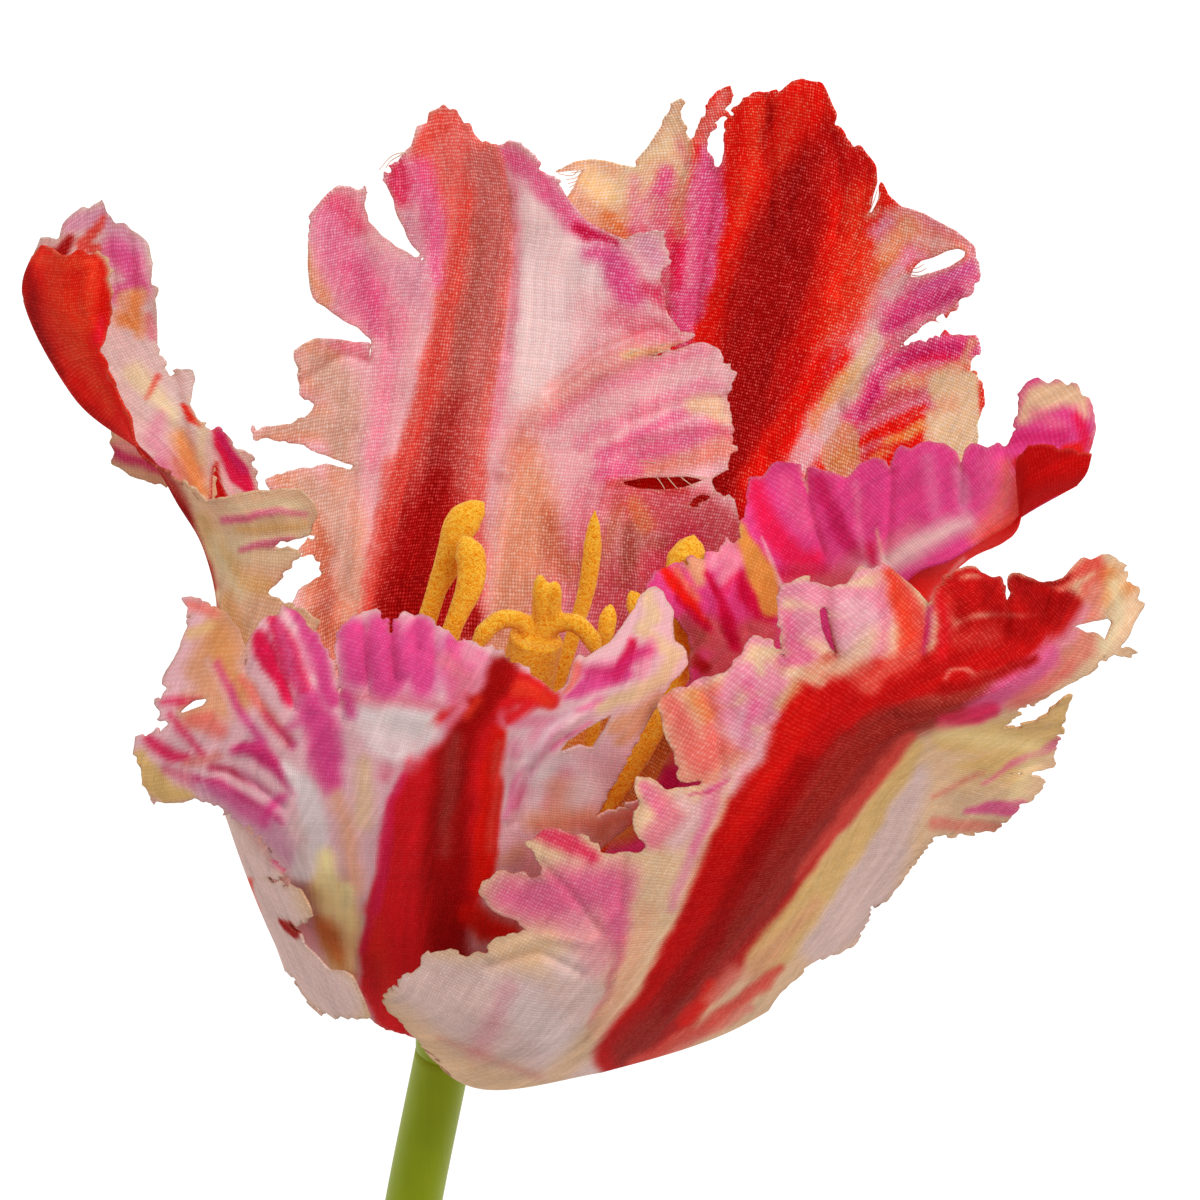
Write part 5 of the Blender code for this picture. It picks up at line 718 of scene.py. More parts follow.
FRONT_LEFT_PRINT = dict(ground="blush", weave=0.3, print=[
    ("yellow", .95, 1.1, (-27.2, -29, 1.7), (-25.6, -31, 1.8), (-26, -36, 1.4)),
    ("ochre", .75, .6, (-28, -31.6, .4), (-27.4, -34, .7), (-24.8, -37.6, .4)),
    ("white", .95, .8, (-25, -11.2, .6), (-17.4, -12.1, 1.3)),
    ("rose", .8, .8, (-25, -9.8, .6), (-19, -10, .6), (-15.8, -10.6, .5)),
    ("magenta", .95, .9, (-24.6, -3.4, 1.6), (-23.8, -7, 1.8), (-21.4, -3, 1.7), (-21, -8, 1.8),
      (-18, -3.6, 1.8), (-17.6, -8, 1.7), (-15, -5, 1.6)),
    ("lilac", .6, .4, (-15.9, -3.4, .4), (-15.9, -8.6, .5)),
    ("hot_pink", .95, .7, (-14, -4.8, .9), (-13.9, -9.8, 1.1), (-12, -6, 1)),
    ("red", 1, .55, (-19.8, -43.4, .8), (-20.6, -41.4, 1.8), (-21.2, -38, 2.8), (-20.2, -35, 3.7),
      (-18.2, -31, 5), (-16.6, -27, 5.4), (-15.5, -22, 5.5), (-14.8, -18, 4.9), (-13.6, -14.6, 4),
      (-11.9, -11.4, 2.6), (-9.6, -8.4, 2), (-7.6, -8.8, 1.6), (-5, -9.8, .9)),
    ("crimson", .8, .4, (-19.6, -17.4, .4), (-20.6, -20, .5), (-21.8, -28, .6), (-23.6, -35, .4)),
    ("maroon", .9, 1.1, (-15.3, -35, 2.1), (-15.3, -25, 2.2), (-14.7, -16, 1.9), (-13.4, -12.8, 1.6),
      (-9.8, -6.8, 1.1)),
    ("umber", .5, .8, (-14.2, -13.6, .8), (-14.8, -17, .9), (-15.6, -25, .6)),
    ("scarlet", .95, .5, (-10, -13, .7), (-10.8, -16.6, 1), (-11.4, -25, 1.1), (-12, -28.6, .9)),
    ("red_coral", .6, .4, (-10.1, -14, .4), (-10.9, -25, .4)),
    ("scarlet", .9, .8, (-13, -31, 1), (-11.4, -32.4, 1.2), (-9, -33, .9)),
    ("vermilion", .75, .5, (-8.2, -8.6, .9), (-5.2, -10, .6)),
    ("crimson", 1, .5, (-33.9, -3.6, .5), (-33.6, -5, .7), (-30.8, -10.2, .4)),
    ("crimson", 1, .5, (-32.6, -2, .5), (-31.6, -4, 1), (-30.4, -7, 1), (-29.4, -9, .6)),
    ("magenta", .95, .5, (-30.8, -.6, .5), (-29.3, -2.2, .8), (-28.2, -4.6, .9), (-26.6, -10, .8)),
    ("hot_pink", .9, .8, (-29.2, -10.6, .9), (-27.8, -12.6, 1.5), (-27.4, -15.6, 1.5), (-26.8, -18.2, 1.2)),
    # Painted shade: the far left lobes curling back into shadow, laid as tan and ochre.
    ("tan", 1, 1, (-38, -1.4, 1.4), (-37.4, -4, 2.4), (-38.6, -7, 2.6), (-37, -9.6, 2.4), (-40, -10.8, 2)),
    ("ochre", .5, 1, (-38, -3.4, 1.2), (-37.6, -6.4, 1.4), (-36, -9.6, 1.2)),
    ("coral", .8, .5, (-41, -.4, .4), (-38.6, -1.3, .4)),
    ("crimson", .7, .5, (-43.6, -10.2, .3), (-42, -10.2, .5), (-40, -9.9, .3)),
    ("coral", .8, .6, (-40.6, -12, .7), (-39, -12, 1), (-37.8, -13, .8)),
    ("crimson", .8, .5, (-42.9, -11.4, .2), (-41.2, -13.2, .35), (-39.6, -15.2, .35)),
    ("yellow", 1, .6, (-45.8, -15.6, .8), (-45, -17.8, 1.4), (-43, -19.4, 1.2), (-41, -19.4, .6)),
    ("crimson", .85, .5, (-45, -13.9, .5), (-42.4, -15.4, .7), (-41, -15.8, .4)),
    ("rose", .9, .5, (-43.2, -16.9, .5), (-40.2, -18.2, .5)),
    ("coral", .6, .5, (-41, -16.4, .5), (-38, -15.4, .5)),
    ("lilac", .9, .8, (-40, -18.4, .6), (-32.4, -23, 1.8), (-30.6, -25, 1.5)),
    ("magenta", .6, .6, (-38.6, -18.6, .6), (-36, -20, .8), (-33.4, -22, .8)),
    ("raspberry", .8, .5, (-40.2, -17.8, .2), (-37.6, -18.4, .25), (-34.6, -20, .25), (-31.6, -22.2, .2)),
    ("wine", .7, .5, (-38.7, -16.6, .3), (-37, -17, .4), (-35, -17.8, .3), (-33, -19, .2)),
    ("raspberry", .9, .5, (-36.2, -15, .4), (-34, -14.7, .8), (-33, -15.8, .8), (-31.6, -17.4, .5),
      (-30.2, -19.4, .3)),
    ("lilac", .7, .5, (-35.4, -17.2, .4), (-31.6, -20.4, .4)),
    ("magenta", .9, .5, (-38, -6.4, .3), (-35.4, -11.8, .5), (-33.6, -14, .4)),
    ("blush", .8, .5, (-39, -6, .2), (-36.6, -11, .3), (-35, -13.4, .2)),
    ("coral", .9, .5, (-35.6, -8, .3), (-32.6, -12, .6), (-31, -14, .4)),
    ("raspberry", .8, .5, (-33.2, -11.4, .2), (-31.8, -13.2, .3), (-30.4, -14.4, .3)),
    ("white", .95, .6, (-31.2, -16.4, .6), (-29.8, -18.4, 1.2), (-28.6, -21, 1.3), (-28.2, -24, 1.4),
      (-29.4, -27, 1.2)),
    ("pink", .95, .7, (-9.4, -11.8, .7), (-4.6, -12.4, .8), (-8.4, -14.8, .8)),
    ("hot_pink", .6, .35, (-9.4, -21.6, .25), (-8.2, -17.4, .35), (-3.4, -11.4, .3), (0, -9.8, .4)),
    ("white", .8, 1.2, (-7, -17.4, .8), (-3.6, -16.8, 1.2), (-5, -20.6, 1.8), (-1.4, -18.6, 1.6)),
    ("hot_pink", .6, .25, (-5, -14.8, .3), (-1, -12, .2)),
    ("magenta", .9, .4, (-3.4, -9.6, .3), (-1.4, -8.6, .8), (3, -7.4, .5)),
    ("crimson", 1, .35, (1.6, -7.4, .5), (2.7, -5.8, .6), (3.2, -4.2, .4)),
    ("coral", .9, .3, (-2.4, -6.4, .5), (-2.6, -7.8, .5), (-3.6, -9, .3)),
    ("cream", 1, .5, (4.8, .4, .6), (5.2, -1.6, .8), (4.2, -3, .6), (7.4, -5.4, .8), (5.8, -8, .7),
      (3, -9.6, .7), (0, -10.6, .5)),
    ("pink", .8, .4, (5.2, -4.4, .6), (4, -7.6, .4)),
    ("tan", .95, .5, (1.6, -12.6, .8), (5.6, -9.8, .6), (2, -14, .6)),
    ("peach", .9, 1, (-6.6, -22, 1), (-3.6, -22, 1.2), (-1, -21.4, 1), (0, -23, 1), (2.6, -21.4, .8)),
    ("salmon", .7, .7, (-6, -22.4, .5), (-3.4, -22, .5), (0, -22.4, .6), (2.6, -21.2, .6)),
    ("peach", .7, .8, (-9.6, -26, .6), (-8, -25, .8)),
    ("coral", .7, .6, (3.6, -20.4, .5), (3, -23, .6)),
    ("pink", .6, .8, (-19, -16.6, .6), (-17, -14.6, .7), (-15.6, -12.8, .5)),
    ("maroon", .9, .8, (-13, -12.4, 1), (-10.6, -8.4, 1.6), (-9, -6.6, 1)),
    ("pink", .9, .6, (-13, -5.2, .8), (-11.4, -6.4, .7), (-12.6, -8.6, .8)),
    ("magenta", .5, .5, (-31, -12.8, .5), (-29.4, -11.4, .6)),
    ("crimson", .9, .5, (-33.6, -4.4, .7), (-30.9, -9.6, .5)),
    ("hot_pink", .6, .6, (-29.6, -4, .5), (-28.6, -7, .6)),
    ("cream", .9, .8, (-23.4, -16.4, .8), (-23.4, -22, .9)),
    ("rose", .8, .8, (-21.4, -17.6, .5), (-20.6, -15.4, .7)),
    ("pearl", .7, 1, (-30.4, -22.6, .8), (-29.4, -26, .8)),
    ("rose", .9, .6, (-18.4, -15.2, .5), (-15, -12.2, .6), (-13.6, -10.6, .6)),
    ("vermilion", .8, .6, (-13, -11.4, .4), (-12, -9.8, .4)),
    ("red", .9, .5, (-9, -11.6, .6), (-7, -10.4, .6)),
    ("magenta", .9, .7, (-25.2, -9.4, .7), (-24.8, -11.2, .6)),
    ("yellow", .7, .5, (-40.6, -3.4, .6), (-39, -2.6, .5)),
    ("magenta", .9, .6, (-33.4, -21.6, .4), (-31.8, -19.6, .5)),
    ("raspberry", .9, .8, (-1.4, -7.2, .6), (1.6, -7.2, .8), (3.8, -5.4, .6), (5, -5.2, .4)),
    ("magenta", .85, 1, (-28.6, -10, 1.2), (-27.4, -13.6, 1.5), (-26.6, -17.4, 1.1)),
    ("peach", .9, .9, (-26, -19.6, .6), (-24.9, -23.4, .8), (-24.3, -28.6, .8)),
    ("white", .9, 1.2, (-23.4, -12.8, .7), (-20.4, -13.2, 1.5), (-17.2, -13, 1.2)),
    ("rose", .9, .8, (-15.4, -6, .8), (-13.2, -7.6, .8), (-14, -10, .7)),
    ("hot_pink", .7, .5, (-4.6, -12.2, .3), (-6.4, -15.4, .4), (-8.6, -20.6, .3)),
    ("white", .8, .7, (-3, -11.2, .4), (-5.4, -13.4, .5), (-6.9, -16, .4)),
    ("pink", .7, .8, (-3.6, -17, .7), (-5, -20.4, .8)),
    ("hot_pink", .85, .6, (-32, -2.4, .4), (-31, -5.4, .6), (-29.9, -8.6, .5)),
    ("crimson", .9, .5, (-33.8, -3.6, .6), (-32.8, -6.4, .6), (-31.4, -9, .4)),
    ("white", .9, .9, (-22.6, -14.2, .6), (-20.4, -15.4, .7), (-18.2, -14.9, .7), (-16.4, -13, .5)),
    # Painted light: pale yellows lightening the lower left, which turns away into shade.
    ("lit_straw", 1, .8, (-27.2, -25.6, .8), (-27.4, -28.6, 1.3), (-26.4, -31, 1.3)),
    ("orange", .8, .8, (-27.4, -32.4, .8), (-26, -35, .9)),
    ("lit_straw", .9, .7, (-25.2, -29, .8), (-25, -33, .8), (-24.9, -36.4, .5)),
    ("vermilion", .4, .9, (-22.2, -32, .7), (-22, -36, .9), (-20.6, -39.4, .7)),
    ("peach", .7, 1.2, (-4, -18.4, 1), (-4.4, -21.4, 1)),
    ("white", .6, .9, (-7.6, -13.4, .5), (-7.2, -18, .6)),
])
LEFT_PRINT = dict(ground="cream", weave=0.5, bright=1.0, back_ground="pearl", print=[
    # Ivory here is partly paler cream, partly painted light on the shaded strap.
    ("ivory", .8, 1, (-37, 5.4, 2), (-31, 6, 2.6)),
    ("scarlet", 1, .4, (-53.6, 33.8, 3), (-50.6, 33, 1.6), (-53, 29.4, 4.6), (-52.6, 25.4, 4),
      (-50.4, 21.8, 3.4), (-46.4, 16.4, 1.6), (-45.2, 14.8, .9)),
    ("crimson", .5, .5, (-49.6, 28, .4), (-50, 26, .6)),
    # Painted shade: a dark band along the left rim, where the cloth turns away.
    ("maroon", .6, .8, (-57, 27, .6), (-55.2, 22.6, .7), (-52, 19.6, .6), (-46.4, 15, .4)),
    ("maroon", 1, .3, (-45.6, 15.2, .5), (-41.4, 8.6, .45), (-39.8, 4.8, .4), (-38.8, 1, .35),
      (-38, -3, .3)),
    ("yellow", .8, .8, (-39.6, 8, .7), (-36, 1.8, 1), (-33, 1.4, .8)),
    # Painted shade: the shaded far left lobes, laid as ochre.
    ("ochre", .5, .8, (-37.4, 0, .8), (-36.6, -4, 1.6), (-36, -9, 2)),
    ("hot_pink", .7, .35, (-37.4, 8.2, .4), (-35, 8.3, .4), (-32, 8.9, .35), (-29.4, 8.8, .25)),
    ("hot_pink", .7, .3, (-35.8, 5.1, .25), (-33.4, 5.7, .4), (-30.8, 6.4, .25)),
    ("pearl", .95, 1.2, (-36, -21, 2), (-34.6, -26, 2.4), (-32.6, -31, 2.8), (-30, -36, 3),
      (-26, -40, 2.4)),
    ("magenta", .7, .35, (-32.4, -26.2, .4), (-31, -27, .5)),
    ("red_coral", .8, .25, (-34.8, -28, .3), (-34.6, -30, .3), (-33.8, -32, .2)),
    ("maroon", 1, .15, (-31.7, -32.2, .2), (-31, -32.6, .5), (-30.4, -33.2, .4)),
    ("scarlet", 1, .5, (-57.4, 33, 1.2), (-57.6, 30, 1.6)),
    ("vermilion", .9, .8, (-55.6, 34, .8), (-50.6, 33.4, .8), (-51.4, 27.4, .9)),
    # Painted shade: the dark band along the left rim, where the cloth turns away.
    ("maroon", .9, .9, (-57, 33, .4), (-56.6, 29.6, .9), (-55.8, 26, .8), (-54, 22.6, .5)),
    ("vermilion", .8, .6, (-52, 25, .8), (-48.6, 19, .5)),
    ("cream", 1, .9, (-39.6, -1.4, .7), (-37.4, 1.8, .5)),
    ("maroon", .8, .6, (-45, 15.2, .4), (-42.4, 11.6, .5), (-40.4, 6.6, .4), (-38.6, 1.4, .4)),
    ("vermilion", .8, 1.4, (-54, 32, 1.2), (-53.4, 28, 1.6), (-52, 24.6, 1.4)),
    ("ivory", 1, .6, (-36.8, 9.6, .3), (-29.8, 9.6, .5)),
    ("yellow", .9, .5, (-36, 7, .4), (-29.6, 7.6, .4)),
    ("ivory", .9, .7, (-38.4, 6.4, .4), (-37.6, 3, .5), (-35.4, .4, .5)),
], back_print=[
    ("ivory", .9, .7, (-46.4, 22.6, 1.1), (-42.8, 18.4, .8)),
    ("lilac", .95, .7, (-53.4, 37.6, .9), (-49.6, 38.2, 1.1), (-46.6, 35, 1)),
    ("magenta", .8, .9, (-48.6, 35, 1), (-47, 33.4, 1.3), (-46, 31.4, 1.2), (-48, 30.6, .9)),
    ("red_coral", .95, .25, (-49.7, 38.2, .2), (-50.4, 36.8, .5), (-51.6, 35.4, .7), (-50.2, 35, .5)),
    ("maroon", .9, .4, (-56, 34.4, .5), (-54, 34.8, .7), (-53, 36, .5), (-54, 33.6, .5)),
    ("peach", 1, .4, (-47.4, 30, .8), (-45.8, 30.6, .7), (-47.6, 28, 1), (-45.6, 28, .9), (-46, 26.6, .6)),
    ("orange", .8, .5, (-47.4, 28, .6), (-46.4, 27.4, .5), (-46.4, 30.2, .5)),
    ("rose", .7, .4, (-45, 28.6, .3), (-44.7, 26.4, .5)),
    ("red_coral", .9, .2, (-44.2, 22.3, .3), (-45, 21, .2), (-45.4, 20, .1)),
    ("scarlet", .95, .2, (-41.5, 19.4, .25), (-40.9, 18, .4), (-40, 17.3, .25)),
    ("pink", .7, .8, (-44, 18, .7), (-44.6, 16, .9), (-43.2, 14.6, .8)),
    ("orange", .85, .9, (-42.2, 16.4, .7), (-41.2, 13.6, 1.1), (-40.2, 10.8, .9)),
    ("coral", .6, .7, (-42.6, 13.6, .6), (-41.6, 11.4, .5)),
    ("hot_pink", .6, .5, (-44, 14, .4), (-42.8, 12.2, .4)),
    ("crimson", 1, .3, (-38.4, 17, .5), (-37.4, 14.8, .8), (-36.2, 12.8, 1.1), (-35.2, 11.2, .7)),
    ("blush", .9, .25, (-38.4, 14.8, .3), (-36.8, 10.8, .25)),
    ("deep_red", 1, .2, (-38.7, 13.4, .2), (-38, 10, .7)),
    ("raspberry", .9, .4, (-38.2, 17, .3), (-35.6, 13, .5)),
    ("deep_red", 1, .3, (-38.9, 9.8, .4), (-38.6, 12, .5), (-38.4, 13.8, .2)),
    ("ivory", .8, .6, (-40.4, 19.8, .4), (-39.8, 17, .5), (-40, 14, .5)),
])
LEFT_LOBE_PRINT = dict(ground="cream", weave=0.4, print=[
    ("raspberry", .8, .5, (-48.8, 14.9, .6), (-46.6, 14, .5), (-44, 13.2, .4), (-41, 12.4, .3)),
    ("pink", .6, .5, (-48, 15.8, .4), (-45.6, 14.8, .4)),
])
PAINT = {
    "petal_back_left": BACK_LEFT_PRINT,
    "petal_back_right": BACK_RIGHT_PRINT,
    "petal_right": RIGHT_PRINT,
    "petal_front_right": FRONT_RIGHT_PRINT,
    "petal_front_left": FRONT_LEFT_PRINT,
    "petal_left": LEFT_PRINT,
    "petal_left_lobe": LEFT_LOBE_PRINT,
}


def srgb_to_linear(colour):
    """Screen colours, as the properties hold them, as amounts of light."""
    colour = np.asarray(colour, float)
    return np.where(colour <= 0.04045, colour / 12.92, ((np.clip(colour, 0, None) + 0.055) / 1.055) ** 2.4)


def smooth(x):
    """An even rise from 0 to 1 as x goes from 0 to 1."""
    x = np.clip(x, 0.0, 1.0)
    return x * x * (3 - 2 * x)


def speck(*cells):
    """A fixed chance value from 0 to 1 for whole-numbered cells."""
    mix = sum(cell * factor for cell, factor in zip(cells, (12.9898, 78.233, 37.719, 51.47)))
    return np.modf(np.abs(np.sin(mix) * 43758.5453))[0]


def mottle(x, y, seed=0.0):
    """Smooth unevenness from -1 to 1, with hills one unit across."""
    i, j = np.floor(x), np.floor(y)
    fx, fy = smooth(x - i), smooth(y - j)
    low = speck(i, j, seed) * (1 - fx) + speck(i + 1, j, seed) * fx
    high = speck(i, j + 1, seed) * (1 - fx) + speck(i + 1, j + 1, seed) * fx
    return 2 * (low * (1 - fy) + high * fy) - 1


def grain(points, size, seed=0.0):
    """Smooth unevenness in space from -1 to 1, with hills of this size."""
    cell = np.floor(points / size)
    x, y, z = smooth(points / size - cell).T
    i, j, k = cell.T
    total = 0.0
    for dx, wx in ((0, 1 - x), (1, x)):
        for dy, wy in ((0, 1 - y), (1, y)):
            for dz, wz in ((0, 1 - z), (1, z)):
                total = total + speck(i + dx, j + dy, k + dz, seed) * wx * wy * wz
    return 2 * total - 1


def blend(a, b, c, d, x):
    """The smooth curve from b to c, at a fraction x of the way."""
    square = 2 * a - 5 * b + 4 * c - d
    cube = 3 * b - a - 3 * c + d
    return 0.5 * (2 * b + (c - a) * x + square * x ** 2 + cube * x ** 3)


def through(points, x):
    """Points at x along curves through points, whose first and last only set the ends' slopes."""
    count = points.shape[1]
    x = np.clip(x, -0.2, count - 2.8)
    i = np.clip(x.astype(int), 0, count - 4)
    near = np.arange(len(x))
    return blend(*(points[near, i + k] for k in range(4)), (x - i)[:, None])


def extended(points):
    """Rows of points with one more at each end, in line with the last two."""
    first = 2 * points[:, :1] - points[:, 1:2]
    last = 2 * points[:, -1:] - points[:, -2:-1]
    return np.concatenate((first, points, last), axis=1)


def route_points(route, count):
    """Evenly spaced fractions along a smooth curve through route, and its points."""
    cage = extended(np.array([route], float))
    share = np.linspace(0.0, 1.0, count)
    cages = np.repeat(cage, count, axis=0)
    return share, through(cages, share * (len(route) - 1))


def along_stroke(stroke, x, y):
    """How far points lie outside a stroke, given as (x, y, half width) at its corners."""
    nearest = np.full(x.shape, np.inf)
    for (x0, y0, w0), (x1, y1, w1) in zip(stroke, stroke[1:]):
        dx, dy = x1 - x0, y1 - y0
        k = np.clip(((x - x0) * dx + (y - y0) * dy) / (dx * dx + dy * dy), 0.0, 1.0)
        gap = np.hypot(x - x0 - k * dx, y - y0 - k * dy) - (w0 + (w1 - w0) * k)
        nearest = np.minimum(nearest, gap)
    return nearest


def inside(outline, x, y):
    """Distance from a closed outline, positive inside it."""
    ring = [*outline, outline[0]]
    nearest = along_stroke([(*corner, 0.0) for corner in ring], x, y)
    odd = np.zeros(x.shape, bool)
    for (x0, y0), (x1, y1) in zip(ring, ring[1:]):
        if y1 != y0:
            odd ^= ((y0 > y) != (y1 > y)) & (x < (x1 - x0) * (y - y0) / (y1 - y0) + x0)
    return np.where(odd, nearest, -nearest)


class Cloth:
    """A petal's cloth: u runs across it from -1 to 1, t along it from the foot in millimetres."""

    def __init__(self, petal):
        rows = [np.array(row, float) for row in petal["rows"]]
        if petal["azimuth"] is not None:
            rows.insert(0, foot_row(petal["azimuth"], petal["whorl"]))
        rows = np.array(rows)
        self.crease = petal["crease"]
        before, after = 2 * rows[:1] - rows[1:2], 2 * rows[-1:] - rows[-2:-1]
        self.rows = np.concatenate((before, rows, after))
        steps = np.linalg.norm(rows[1:, 1:4] - rows[:-1, 1:4], axis=2).mean(axis=1)
        self.stations = np.concatenate(([0.0], np.cumsum(steps)))
        self.length = self.stations[-1]
        gaps = np.linalg.norm(rows[:, 1:] - rows[:, :-1], axis=2)
        self.widths = np.stack((gaps[:, 0] + gaps[:, 1], gaps[:, 2] + gaps[:, 3]), axis=1)
        self.widest = self.widths.max()

    def place(self, t):
        """The row below t and the fraction of the way to the next one."""
        t = np.clip(t, 0.0, self.length - 1e-6)
        j = np.searchsorted(self.stations, t, side="right") - 1
        return j, (t - self.stations[j]) / (self.stations[j + 1] - self.stations[j])

    def half_width(self, s, t):
        j, x = self.place(t)
        x = smooth(x)
        side = (s >= 0).astype(int)
        return self.widths[j, side] * (1 - x) + self.widths[j + 1, side] * x

    def across(self, rows, u):
        """A point of each row, on a curve that is smooth or creased down the middle."""
        soft = through(extended(rows), (u + 1) * 2)
        if not self.crease:
            return soft
        left = u < 0
        half = np.where(left[:, None, None], rows[:, :3], rows[:, 2:])
        ends = 2 * half[:, ::2] - half[:, 1:2]
        cage = np.concatenate((ends[:, :1], half, ends[:, 1:]), axis=1)
        hard = through(cage, np.where(left, (u + 1) * 2, u * 2))
        return soft + (hard - soft) * self.crease

    def point(self, u, t):
        j, x = self.place(t)
        return blend(*(self.across(self.rows[j + k], u) for k in range(4)), x[:, None])


def foot_row(azimuth, whorl):
    """Five points across the narrow foot that joins a petal to the hub."""
    a = math.radians(azimuth)
    out = math.cos(a) * FRONT + math.sin(a) * RIGHT
    side = math.cos(a) * RIGHT - math.sin(a) * FRONT
    centre = HUB + AXIS * WHORL_HEIGHT[whorl] + out * WHORL_RADIUS[whorl]
    return np.array([centre + side * (FOOT_HALF_WIDTH * u) for u in (-1, -0.5, 0, 0.5, 1)])


def corners(bm):
    """All the corners of a mesh, one row each."""
    return np.array([v.co for v in bm.verts], float).reshape(-1, 3)


def to_world(points):
    """Points in the bloom's own frame, in metres where the bloom lies."""
    return (points @ LIE.T + BLOOM_PLACE) * MM


def flat_places(cloth, spots):
    """Grid corners' s, t on the flat cloth in millimetres, and their u across it."""
    s = spots[:, 0] * 2 * cloth.widest
    t = (spots[:, 1] + 0.5) * cloth.length
    return s, t, s / cloth.half_width(s, t)


def reaches(petal, cloth, s, t, u, fray):
    """How far inside the petal's frayed outline places on the cloth lie, negative outside."""
    point = cloth.point(np.clip(u, -WIDEST_REACH, WIDEST_REACH), t)
    x, y = point[:, 0], point[:, 1]
    reach = (1 - np.abs(u)) * np.abs(s / np.where(u == 0, 1, u))
    reach = np.where(u == 0, 9.0, reach)
    front = inside(petal["edge"], x, y)
    if "back" in petal:
        hidden = inside(petal["back"], x, y) if petal["back"] else np.full(x.shape, 99.0)
        front = np.where(u < 0, hidden, front)
    reach = np.minimum(reach, front)
    patches = smooth(0.5 + mottle(s / TOOTH_PATCH, t / TOOTH_PATCH, 13.0))
    teeth = mottle(s / TOOTH, t / TOOTH, 3.0) * patches
    reach = reach + fray * (0.3 + 1.5 * teeth + 0.5 * mottle(s / RIM_WAVE, t / RIM_WAVE, 8.0))
    for hole in petal["holes"]:
        reach = np.minimum(reach, -inside(hole, x, y))
    reach = np.where(np.abs(u) > WIDEST_REACH, -9.0, reach)
    return np.where(np.abs(reach) > 1e-4, reach, 1e-4)


def cut_faces(bm, layer):
    """Splits each face that the outline crosses, between the corners put on the outline."""
    for face in list(bm.faces):
        marks = [v for v in face.verts if v[layer] == 0.0]
        if len(marks) < 2:
            continue
        half, _ = bmesh.utils.face_split(face, marks[0], marks[1])
        for piece in (face, half):
            rest = [v for v in piece.verts if v[layer] == 0.0 and v not in marks[:2]]
            if len(rest) == 2:
                bmesh.utils.face_split(piece, rest[0], rest[1])


def keep_largest_patch(bm):
    """Deletes loose scraps and faces that hang on by one corner."""
    waiting = set(bm.faces)
    best = set()
    while waiting:
        patch = set()
        edge = {waiting.pop()}
        while edge:
            patch |= edge
            edge = {n for f in edge for e in f.edges for n in e.link_faces} - patch
        waiting -= patch
        best = max(best, patch, key=len)
    bmesh.ops.delete(bm, geom=[f for f in bm.faces if f not in best], context="FACES")
    while pinched := [v for v in bm.verts if not v.is_manifold]:
        bmesh.ops.delete(bm, geom=pinched[:1], context="VERTS")


def flat_cut(petal, cloth, cell, fray):
    """The petal as a flat grid of cells, cut to its outline."""
    bm = bmesh.new()
    across = 2 * round(cloth.widest / cell)
    along = round(cloth.length / cell)
    bmesh.ops.create_grid(bm, x_segments=across, y_segments=along, size=0.5)
    s, t, u = flat_places(cloth, corners(bm))
    layer = bm.verts.layers.float.new("reach")
    for v, reach in zip(bm.verts, reaches(petal, cloth, s, t, u, fray)):
        v[layer] = reach
    crossing = {}
    for e in bm.edges:
        a, b = (v[layer] for v in e.verts)
        if (a > 0) != (b > 0):
            crossing[e] = min(max(a / (a - b), 0.12), 0.88)
    cut = bmesh.ops.bisect_edges(bm, edges=list(crossing), cuts=1, edge_percents=crossing)
    for item in cut["geom_split"]:
        if isinstance(item, bmesh.types.BMVert):
            item[layer] = 0.0
    cut_faces(bm, layer)
    bmesh.ops.delete(bm, geom=[v for v in bm.verts if v[layer] < 0.0], context="VERTS")
    keep_largest_patch(bm)
    bm.verts.index_update()
    return bm


def print_on(petal, cloth, bm, dyes):
    """The colour on each corner: a ground, then the strokes, with streaks that run along the threads. A few
    strokes are painted shade and painted light.
    """
    s, t, u = flat_places(cloth, corners(bm))
    point = cloth.point(u, t)
    x, y = (point[:, k] + 0.25 * mottle(*point[:, :2].T / 1.7, seed) for k, seed in ((0, 5.0), (1, 11.0)))
    streak = mottle(s / 0.45, t / 6.0, 2.0) * 0.6 + mottle(s / 1.1, t / 9.0, 4.0) * 0.4
    paint = PAINT[petal]
    back = u < 0 if "back_ground" in paint else np.zeros(u.shape, bool)
    colour = np.tile(srgb(dyes, paint["ground"]), (len(u), 1))
    if back.any():
        colour[back] = srgb(dyes, paint["back_ground"])
    for strokes, side in ((paint["print"], ~back), (paint.get("back_print", ()), back)):
        for dye, opacity, softness, *stroke in strokes:
            xs, ys, widths = zip(*stroke)
            wide = max(widths) + softness + 1.5
            near = side & (x > min(xs) - wide) & (x < max(xs) + wide)
            near = near & (y > min(ys) - wide) & (y < max(ys) + wide)
            if not near.any():
                continue
            gap = along_stroke(stroke, x[near], y[near]) + streak[near] * min(0.3, 0.04 + 0.14 * softness)
            cover = opacity * smooth(0.5 - gap / (2 * softness))
            colour[near] += (srgb(dyes, dye) - colour[near]) * cover[:, None]
    return colour, streak


def srgb(dyes, name):
    """A dye's screen colour."""
    return np.array(getattr(dyes, name), float)


